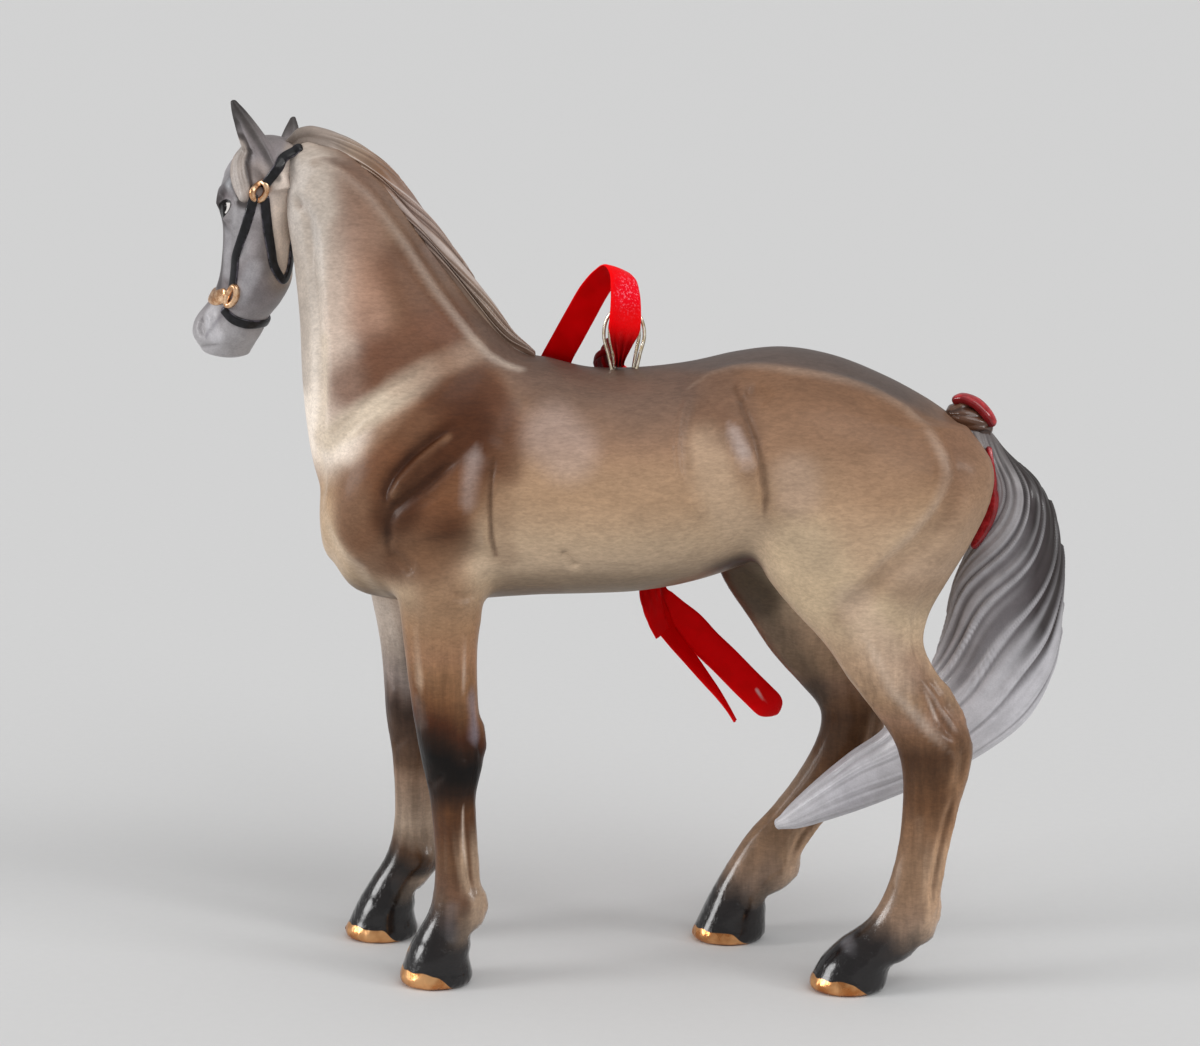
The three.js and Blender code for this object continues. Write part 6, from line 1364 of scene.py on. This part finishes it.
maneLook = {"along": 420, "around": 160, "rough": 0.4, "coat": 0.25,
            "root": [(-33.7, 84.0, -33.9, 82.0, 3.6, 0.8), (-32.3, 84.8, -32.7, 82.5, 3.4, 1.0)],   # over the poll
            "colours": [(0, "857970"), (0.16, "93857b"), (0.22, "94806f"), (0.32, "84634c"), (0.45, "927a6f"),
                        (0.8, "86705f"), (1, "6a5042")]}


def buildMane():
    # strands that lie back along the crest, with grooves of sine squared between them
    around = maneLook["around"]
    grid = loftGrid(fullRings(maneLook["root"] + maneRings), maneLook["along"], around, (0.5, 0.6))
    rows = len(grid)
    t = np.linspace(0, 1, rows)[:, None]
    # it rises gently out of the poll
    middle = grid.mean(axis=1, keepdims=True)
    grid = middle + (grid - middle) * (0.5 + 0.5 * stepUp(t, 0.0, 0.05))[:, :, None]
    turn = (np.arange(around) * 360.0 / around)[None, :]
    half = np.minimum(turn, 360 - turn)
    side = np.where(turn <= 180, 1.0, -1.0)
    # strands lie back along the crest and cross it slowly to its upper edge
    flow = t + 0.62 * half / 180 + 0.03 * np.sin(11 * t + side) + 0.016 * np.sin(23 * t + half / 20)
    phase = 6.4 * flow + 0.3 * np.sin(6.1 * flow * np.pi)
    large = hairRelief(np.pi * phase + 0.4 * side, 0.7)
    fine = hairRelief(np.pi * 3.1 * phase + 1.0, 0.8)
    fade = stepUp(t, 0.1, 0.2) * (1 - stepUp(t, 0.94, 1.0))
    lift = (0.32 * (large - 0.7) + 0.16 * (fine - 0.6) * stepUp(t, 0.2, 0.5)) * fade
    lift = lift - 0.5 * np.sin(np.radians(half)) ** 2 * stepUp(half, 20, 90)
    grid = grid + gridNormals(grid) * (lift - 0.02)[:, :, None]
    low = np.broadcast_to(0.55 * large + 0.45 * fine, grid.shape[:2])
    tint = stops(np.broadcast_to(t, low.shape).ravel(), maneLook["colours"])
    late = np.broadcast_to((0.4 + 0.6 * stepUp(t, 0.38, 0.55)) * stepUp(t, 0.12, 0.22), low.shape)
    tint = spray(tint, 0.9 * (late * (1 - stepUp(low, 0.3, 0.78))).ravel(), "3a2419")
    return grid, spray(tint, 0.65 * (stepUp(low, 0.86, 1.0) * stepUp(late, 0.0, 0.4)).ravel(), "cdc0b9")


addStrands("maneHair", *buildMane(), "maneGlaze", maneLook, "mane", "mane")


knotLook = {"along": 120, "around": 120, "rough": 0.28, "coat": 0.6,
            "colours": [(0, "6b4a38"), (0.5, "5e3f2e"), (1, "4a3126")],
            "red": ("900f17", "bc262e", "6b1217")}   # its band and streamer: deep, bright, on the rims


def buildKnot():
    # the tail's hair wound round itself: strands that run round the knot and slowly along it
    around = knotLook["around"]
    grid = loftGrid(fullRings(knotRings), knotLook["along"], around, (0.4, 0.4))
    rows = len(grid)
    t = np.linspace(0, 1, rows)[:, None]
    turn = (np.arange(around) * 360.0 / around)[None, :]
    flow = 2.0 * turn / 180 + 1.1 * t + 0.12 * np.sin(5 * t + np.radians(turn))
    strand = hairRelief(np.pi * flow, 0.7) * 0.6 + 0.4 * hairRelief(np.pi * flow * 3.0 + 1, 0.8)
    lift = 0.34 * (strand - 0.75) * stepUp(t, 0, 0.15) * (1 - stepUp(t, 0.85, 1))
    grid = grid + gridNormals(grid) * lift[:, :, None]
    tint = stops(np.broadcast_to(t, strand.shape).ravel(), knotLook["colours"])
    return grid, spray(tint, 0.75 * (1 - stepUp(strand, 0.35, 0.8)).ravel(), "2a1a14")


addStrands("tailKnot", *buildKnot(), "knotGlaze", knotLook, "mane", "tail_knot")


def redMaterial():
    # red glaze that pools, darker on the rims
    sheet = Sheet("redGlaze")
    pool = sheet.noise(1300, 3.0, 0.55)
    edge = sheet.attribute("edge")
    deep, bright, rim = map(colour, knotLook["red"])
    tint = sheet.mix(sheet.between(pool, 0.35, 0.7), deep, bright)
    tint = sheet.mix(sheet.between(edge, 0.55, 1.0, 0.0, 0.7), tint, rim)
    return sheet.end(sheet.surface(tint, pool, (0.16, 0.3), pool, 0.0001, Coat_Weight=0.7, Coat_Roughness=0.06,
                                   Specular_IOR_Level=0.2))


def bandObject(name, grid, edge, material, slotName, node):
    # a band with rounded ends; "edge" runs from 0 along its middle to 1 on its rims
    thing = addPiece(name, *closedTube(grid), material, slotName, node)
    extra = len(grid) - len(edge)
    full = np.ones(grid.shape[:2])
    full[extra // 2:len(grid) - extra // 2] = edge
    setNumbers(thing, "edge", np.concatenate([full.ravel(), [1.0, 1.0]]))


redGlaze = redMaterial()
knotMarks = [(0.06 + 0.09 * i, 10 + 3 * i) for i in range(11)]
places, out = smoothMarks(fullRings(knotRings), knotMarks, 60, 0.42)
swell = 0.55 + 0.45 * np.sin(np.pi * np.linspace(0.04, 0.96, 60)) ** 0.5
grid, edge = sweep(places, out, 1.55 * swell, np.full(60, 0.85), 28, 0.3)
bandObject("tailKnotBand", rounded(grid), edge, redGlaze, "red_glaze", "tail_knot_band")

streamMarks = [(0.05 + 0.2 * s, 108 - 122 * s + 44 * s * s) for s in np.linspace(0, 1, 17)]
places, out = smoothMarks(fullRings(tailRings), streamMarks, 90, 0.35)
s = np.linspace(0, 1, 90)
swell = np.where(s < 0.4, 0.35, 0.35 + 0.75 * np.sin(np.clip((s - 0.4) / 0.6, 0, 1) * np.pi) ** 0.7)
grid, edge = sweep(places, out, 1.75 * np.maximum(swell, 0.3), np.full(90, 0.7), 24, 0.35)
bandObject("tailStreamer", rounded(grid), edge, redGlaze, "red_glaze", "tail_streamer")


# Halter in relief
halter = {"width": 0.95, "thick": 0.42, "sit": 0.06, "noseWidth": 1.5,
          "ringWidth": 0.62, "ringThick": 0.7, "ringSit": 0.14,
          "black": ("0b0a0d", "1c1b20", "5d5963"),   # glaze, its clouds, and the painted highlight on its rims
          "gold": ("c08a5e", "f3cfaa")}
upperRing = {"t": 0.16, "angle": 126, "along": 0.04, "around": 8.5}
lowerRing = {"t": 0.685, "angle": 99, "along": 0.052, "around": 8}
noseMarks = [(0.705, 82), (0.745, 62), (0.76, 34), (0.765, 0), (0.76, -34), (0.745, -62), (0.705, -82)]
chinMarks = [(0.774, 97), (0.8, 120), (0.81, 145), (0.81, 180), (0.81, 215), (0.8, 240), (0.774, 263)]


def mirroredMarks(marks):
    # the same marks on the other side
    return [(t, -angle) for t, angle in marks]


def strapMaterial():
    # black glaze, with a painted highlight in patches along its rims
    sheet = Sheet("blackGlaze")
    edge = sheet.attribute("edge")
    wear = sheet.noise(1500, 4.0, 0.6)
    black, cloudy, rimHighlight = map(colour, halter["black"])
    tint = sheet.mix(sheet.between(wear, 0.4, 0.75), black, cloudy)
    # painted highlight: a grey in patches along the rims of the strap
    tint = sheet.mix(sheet.between(edge, 0.8, 1.0) * sheet.between(wear, 0.4, 0.6), tint, rimHighlight)
    return sheet.end(sheet.surface(tint, wear, (0.3, 0.44), wear, 0.00006, Coat_Weight=0.25, Coat_Roughness=0.15,
                                   Specular_IOR_Level=0.2))


def lustreMaterial():
    # gold lustre, worn thin in places
    sheet = Sheet("goldLustre")
    wear = sheet.noise(1400, 4.0, 0.62)
    tint = sheet.mix(sheet.between(wear, 0.34, 0.66), *map(colour, halter["gold"]))
    return sheet.end(sheet.surface(tint, wear, (0.22, 0.4), wear, 0.00008, 0.6,
                                   Metallic=sheet.between(wear, 0.25, 0.5, 0.7, 1.0)))


skins = np.vstack([faceSkin, skin[(skin[:, 0] < -20) & (skin[:, 2] > 70)]])


def strapBand(name, places, out, width, material, slotName, node, sink=0.0):
    # a strap that lies on the skins along its places; sink lets it dip into them
    count = len(places)
    places = seated(places, out, skins, halter["sit"] - sink)
    widths = width * (1 + 0.05 * np.sin(np.linspace(0, 9, count)))
    grid, edge = sweep(places, out, widths, np.full(count, halter["thick"]), 24, 0.45)
    bandObject(name, rounded(grid), edge, material, slotName, node)


def ringBand(name, spot, side, material, node):
    # a closed band round a spot on the head: an ellipse of shares and angles
    turn = np.linspace(0, 2 * np.pi, 20, endpoint=False)
    marks = [(spot["t"] + spot["along"] * math.cos(a), side * (spot["angle"] + spot["around"] * math.sin(a)))
             for a in np.append(turn, turn[0])]
    spots, out = onLoft(headLoft, marks, 0.0)
    both = evenly(curveThrough(np.hstack([spots, out]), 400), 61)[:-1]
    out = unit(both[:, 3:])
    grid, _ = sweep(seated(both[:, :3], out, skins, halter["ringSit"]), out, np.full(60, halter["ringWidth"]),
                    np.full(60, halter["ringThick"]), 20, 0.4, closed=True)
    quads = gridFaces(*grid.shape[:2], ends=True)
    p = grid.reshape(-1, 3)[quads]
    if np.einsum("ij,ij->", p[:, 0], np.cross(p[:, 1], p[:, 2])) < 0:
        quads = quads[:, ::-1]
    addPiece(name, grid.reshape(-1, 3), quads, material, "lustre", node)


blackGlaze, goldLustre = strapMaterial(), lustreMaterial()
crownA, crownAout = onLoft(headLoft, crownMarks, 0.0)
crownB, crownBout = onLoft(neckLoft, pollMarks, 0.0)
crownC, crownCout = onLoft(headLoft, mirroredMarks(crownMarks)[::-1], 0.0)
crown = np.hstack([np.vstack([crownA, crownB, crownC]), np.vstack([crownAout, crownBout, crownCout])])
crown = evenly(curveThrough(crown, 600), 120)
strapBand("crownStrap", crown[:, :3], unit(crown[:, 3:]), halter["width"], blackGlaze, "strap", "crown_strap",
          0.8 * stepUp(crown[:, 0], -32.2, -31.4))     # its ends run out into the hair of the poll
for name, node, marks, count in (("throatStrap", "throat_strap", throatMarks, 110),
                                 ("nearCheekStrap", "near_cheek_strap", cheekMarks, 60),
                                 ("offCheekStrap", "off_cheek_strap", mirroredMarks(cheekMarks), 60),
                                 ("chinStrap", "chin_strap", chinMarks, 80)):
    places, out = smoothMarks(headLoft, marks, count, 0.0)
    strapBand(name, places, out, halter["width"], blackGlaze, "strap", node)
places, out = smoothMarks(headLoft, noseMarks, 70, 0.0)
strapBand("nosebandLustre", places, out, halter["noseWidth"], goldLustre, "lustre", "noseband")
ringBand("nearUpperRing", upperRing, 1, goldLustre, "near_upper_ring")
ringBand("offUpperRing", upperRing, -1, goldLustre, "off_upper_ring")
ringBand("nearLowerRing", lowerRing, 1, goldLustre, "near_lower_ring")
ringBand("offLowerRing", lowerRing, -1, goldLustre, "off_lower_ring")
print("halter: six bands and four rings")


# Wire eye, cement and ribbon
def tubeAlong(line, radius, across=16):
    # circles of the radius square to a line
    along = unit(np.gradient(line, axis=0))
    helper = np.array([0.0, 1.0, 0.0])
    side = unit(np.cross(along, helper))
    out = np.cross(side, along)
    turn = np.arange(across) * 2 * np.pi / across
    return line[:, None] + radius * (side[:, None] * np.cos(turn)[None, :, None]
                                     + out[:, None] * np.sin(turn)[None, :, None])


def wireMaterial():
    # brass wire, with painted shade on the sides of the wire that face forwards or back
    sheet = Sheet("brassWire")
    wear = sheet.noise(1800, 3.0, 0.6)
    dull, bright, dark = map(colour, wireLook["brass"])
    tint = sheet.mix(sheet.between(wear, 0.35, 0.65), dull, bright)
    # painted shade on the sides of the wire that face forwards or back
    tint = sheet.mix(sheet.attribute("tarnish"), tint, dark)
    return sheet.end(sheet.surface(tint, wear, (0.12, 0.2), wear, 0.00003, 0.4, Metallic=0.75))


wireLook = {"radius": 0.18, "apart": 0.4, "steps": 420, "under": [(0.82, -0.16, 57.98), (-0.62, 0.24, 57.98)],
            "inner": (0.73, 0.032),   # width and shift of the second turn, wound smaller so that both show
            "brass": ("d8c6a0", "fff8e6", "4c3b26")}   # dull, bright, and the painted shade on the wire's sides


def wireCurve():
    # one turn, a crossing under the cement, and a second turn beside it
    width, shift = wireLook["inner"]
    first = [(x, -wireLook["apart"], z) for x, z in wireLoop]
    second = [(x * width + shift, wireLook["apart"], z) for x, z in wireLoop]
    return evenly(curveThrough(first + wireLook["under"] + second, 900), wireLook["steps"])


points, tris = closedTube(tubeAlong(wireCurve(), wireLook["radius"]))
wire = addPiece("hangerWire", points, tris, wireMaterial(), "wire", "hanger_wire")
# painted shade: the more a side of the wire faces forwards or back, the darker
setNumbers(wire, "tarnish", 0.9 * stepUp(np.abs(normalsOf(points, tris)[:, 0]), 0.6, 0.95))

cementLook = {"x": 0.22, "radius": 2.3, "low": 57.3, "top": 61.25, "colours": ("6e5a4e", "8a7466")}


def buildCement():
    # a plug of cement, slightly domed and uneven, filling the hanger hole
    turn = np.radians(np.arange(72) * 5.0)
    reach = np.concatenate([np.full(8, 1.0), np.linspace(1.0, 0.06, 26)]) * cementLook["radius"]
    height = np.concatenate([np.linspace(cementLook["low"], cementLook["top"] - 0.35, 8),
                             cementLook["top"] - 0.35 * np.linspace(1.0, 0.06, 26) ** 2])
    bumps = 0.05 * np.sin(3 * turn)[None] * np.sin(reach * 2.1)[:, None]
    return np.stack([cementLook["x"] + reach[:, None] * np.cos(turn), reach[:, None] * np.sin(turn),
                     height[:, None] + bumps], axis=-1)


def cementMaterial():
    # matt cement
    sheet = Sheet("cementMatt")
    grain = sheet.noise(2600, 4.0, 0.6)
    tint = sheet.mix(sheet.between(grain, 0.3, 0.7), *map(colour, cementLook["colours"]))
    return sheet.end(sheet.surface(tint, grain, (0.6, 0.8), grain, 0.0001, 0.8))


addPiece("hangerCement", *closedTube(buildCement()), cementMaterial(), "cement", "hanger_cement")


def satinMaterial():
    # red satin: fine warp threads, a light strip and sparks by number, shade where it is drawn in
    sheet = Sheet("satinRed")
    place = sheet.node("UVMap", {"uv_map": "weave"})
    warp = sheet.node("TexWave", {"bands_direction": "X", "wave_profile": "SIN"}, out=1, Vector=place, Scale=0.9,
                      Distortion=0.6, Detail=2.0)
    grain = sheet.noise(9000, 2.0, 0.5)
    sheen = sheet.noise(500, 3.0, 0.5)
    red, bright, sheenRed, pink, spark = map(colour, ribbonLook["colours"])
    tint = sheet.mix(sheet.between(sheen, 0.35, 0.65), red, bright)
    shine = sheet.attribute("shine")
    tint = sheet.mix(shine * 0.7, tint, sheenRed)
    tint = sheet.mix(shine * sheet.between(sheet.noise(4600, 3.0, 0.7), 0.54, 0.62), tint, pink)
    tint = sheet.mix(sheet.attribute("sparkle"), tint, spark)
    tint = tint * (1 - sheet.attribute("deep") * 0.6)
    tint = tint * sheet.between(warp, 0.0, 1.0, 0.93, 1.07)
    return sheet.end(sheet.surface(tint, sheen, (0.3, 0.42), warp * 0.7 + grain * 0.3, 0.00003, Anisotropic=0.5,
                                   Specular_IOR_Level=0.06))


ribbonLook = {"width": 3.2, "gathered": 1.5, "thick": 0.26, "gatheredThick": 0.55, "length": 0.1593,
              "fold": 1.7, "steps": 900,   # fold: how far from the lowest tip it rounds off
              "glint": [(13.74, 10.9, 26.01), (14.4, 10.95, 24.95), (14.62, 10.95, 24.86), (15.22, 11.1, 23.91)],
              "threads": (1.77, 32.0),     # weave along a step of the route, and across the band
              "colours": ("f40003", "ff0008", "ff0a2e", "ff8092", "fff2f4")}   # two reds, three lights


def buildRibbon():
    # flat band along the route, drawn together where it passes through the knot
    route = evenly(curveThrough(np.array(ribbonRoute, float), 4000), ribbonLook["steps"])
    line, side, gather = route[:, :3], route[:, 3:6], np.clip(route[:, 6], 0, 1.35)
    along = unit(np.gradient(line, axis=0))
    side = unit(side - along * np.einsum("ij,ij->i", side, along)[:, None])
    normal = np.cross(side, along)
    width = ribbonLook["width"] + (ribbonLook["gathered"] - ribbonLook["width"]) * gather
    # the fold that hangs lowest closes round
    tip = line[np.argmax(np.where(line[:, 2] < 30, line[:, 0], -99))]
    fold = np.clip(1 - np.hypot(line[:, 0] - tip[0], line[:, 2] - tip[2]) / ribbonLook["fold"], 0, 1)
    width = width * np.sqrt(np.maximum(1 - fold ** 2, 0.02))
    run = np.linspace(0, 1, len(line))
    width = width * (0.3 + 0.7 * stepUp(run, 0.0, 0.05))     # the cut end is slanted
    thick = ribbonLook["thick"] + (ribbonLook["gatheredThick"] - ribbonLook["thick"]) * gather
    u = np.linspace(-1, 1, 28)
    edge = 1 - stepUp(np.abs(u), 0.86, 1.0) * 0.65
    cup = 0.12 * (u ** 2 - 0.3)
    pleat = 0.16 * gather[:, None] * np.cos(3 * np.pi * u)[None]
    sway = 0.05 * np.sin(46 * run)[:, None] * u[None]
    rise = cup[None] * (1 - gather[:, None]) + pleat + sway
    flat = line[:, None] + side[:, None] * (u[None, :, None] * width[:, None, None] / 2)
    half = edge[None] * thick[:, None] / 2
    top, low = (flat + normal[:, None] * (rise + lift)[:, :, None] for lift in (half, -half))
    return np.concatenate([top, low[:, ::-1]], axis=1), line, gather


def setWeave(thing, columns, place):
    # the piece's own UV map from the row and the column of each corner's point on its grid
    uv = thing.data.uv_layers.new(name="weave")
    corner = np.empty(len(thing.data.loops), np.int32)
    thing.data.loops.foreach_get("vertex_index", corner)
    uv.data.foreach_set("uv", np.stack(place(corner // columns, corner % columns), axis=1).astype(np.float32).ravel())


ribbonGrid, ribbonLine, ribbonGather = buildRibbon()
satin = satinMaterial()
points, tris = closedTube(ribbonGrid)
ribbon = addPiece("ribbonSatin", points, tris, satin, "satin", "ribbon")
# satin light on the strip that faces forwards over the arch
arch = np.exp(-((points[:, 2] - 69.3) / 1.7) ** 2) * (points[:, 1] < 0.6) * stepUp(points[:, 0], -1.2, 0.0)
setNumbers(ribbon, "shine", 0.75 * arch)
setNumbers(ribbon, "sparkle", brush(points, ribbonLook["glint"], 0.1, 0.22))
# it lies in shade where it is drawn together
columns = ribbonGrid.shape[1]
x, y, z = ribbonLine.T
shade = (1 - stepUp(z, 63.8, 66.2)) * (z > 60) * (x > -2.6) * (y < 8)
shade = np.clip(np.maximum(np.clip(ribbonGather, 0, 1), 1.2 * shade), 0, 1.3)
setNumbers(ribbon, "deep", np.concatenate([np.repeat(shade, columns), [0, 0]]))
lengthwise, crosswise = ribbonLook["threads"]
setWeave(ribbon, columns, lambda row, column: (
    row * lengthwise, np.where(column < columns // 2, column, columns - 1 - column) / (columns / 2) * crosswise))


ribbonKnotLook = {"around": 160, "along": 110, "size": (1.0, 0.8, 0.95), "radius": 2.28, "tilt": 35,
                  "at": (2.52, 11.3, 39.1)}


def buildRibbonKnot():
    # an overhand knot pulled flat: a squat ball with wrapped folds, tilted
    turn = (np.arange(ribbonKnotLook["around"]) * 2 * np.pi / ribbonKnotLook["around"])[None, :]
    lean = np.linspace(0.06, np.pi - 0.06, ribbonKnotLook["along"])[:, None]
    fold = 0.14 * np.abs(np.sin(4.0 * lean + 1.6 * np.sin(turn) + 0.5)) ** 0.6 \
        + 0.06 * np.sin(11 * lean + 3 * np.sin(turn + 1))
    reach = ribbonKnotLook["radius"] * (0.93 + fold)
    wide, deep, tall = ribbonKnotLook["size"]
    x = wide * reach * np.sin(lean) * np.cos(turn)
    y = deep * reach * np.sin(lean) * np.sin(turn)
    z = tall * reach * np.cos(lean) * np.ones_like(turn)
    tilt = math.radians(ribbonKnotLook["tilt"])
    spin = np.stack([x * math.cos(tilt) - z * math.sin(tilt), y, x * math.sin(tilt) + z * math.cos(tilt)], axis=-1)
    return spin + ribbonKnotLook["at"]


ribbonKnot = addPiece("ribbonKnot", *closedTube(buildRibbonKnot()), satin, "satin", "ribbon_knot")
setWeave(ribbonKnot, ribbonKnotLook["around"], lambda row, column: (row * 0.5, column * 0.5))
print("ribbon:", ribbonLook["length"], "metres")


# Floor, backdrop and light
studioLook = {
    "half": 6000.0, "paper": ("d2d2d2", "cfcfcf"),   # half the floor's width, its two greys
    "sky": "cecece", "strength": 0.65,
    # suns: name, power, angle in degrees, way towards it
    "suns": [("keySun", 0.95, 40, (0.5, -0.7, 0.8)), ("stripSun", 0.7, 16, (1.0, -0.45, 0.55)),
             ("leftSun", 1.7, 26, (-1.0, -0.3, 0.32)), ("topSun", 0.5, 60, (0.1, -0.15, 1.0))],
}


def studio():
    # a paper floor under an even sky, with four soft suns
    sheet = Sheet("floorPaper")
    grain = sheet.noise(900, 2.0)
    paper = sheet.mix(grain, *map(colour, studioLook["paper"]))
    made = sheet.end(sheet.node("BsdfPrincipled", Base_Color=paper, Roughness=0.9, Specular_IOR_Level=0.1))
    corners = np.array([(-1, -1, 0), (1, -1, 0), (1, 1, 0), (-1, 1, 0)]) * studioLook["half"]
    floor = newObject("floor", corners, [[0, 1, 2, 3]])
    dress(floor, made)
    world = bpy.data.worlds.new("room")
    scene.world = world
    sky = Sheet("room", world)
    plain = sky.node("Background", Color=colour(studioLook["sky"]), Strength=studioLook["strength"])
    sky.tree.links.new(plain.socket, sky.tree.nodes.new("ShaderNodeOutputWorld").inputs[0])
    for name, power, angle, way in studioLook["suns"]:
        lamp = bpy.data.lights.new(name, "SUN")
        lamp.energy, lamp.angle = power, math.radians(angle)
        holder = bpy.data.objects.new(name, lamp)
        d = np.array(way) / np.linalg.norm(way)
        holder.rotation_euler = (0, math.acos(d[2]), math.atan2(d[1], d[0]))
        scene.collection.objects.link(holder)


studio()
print("studio:", len(studioLook["suns"]), "suns")
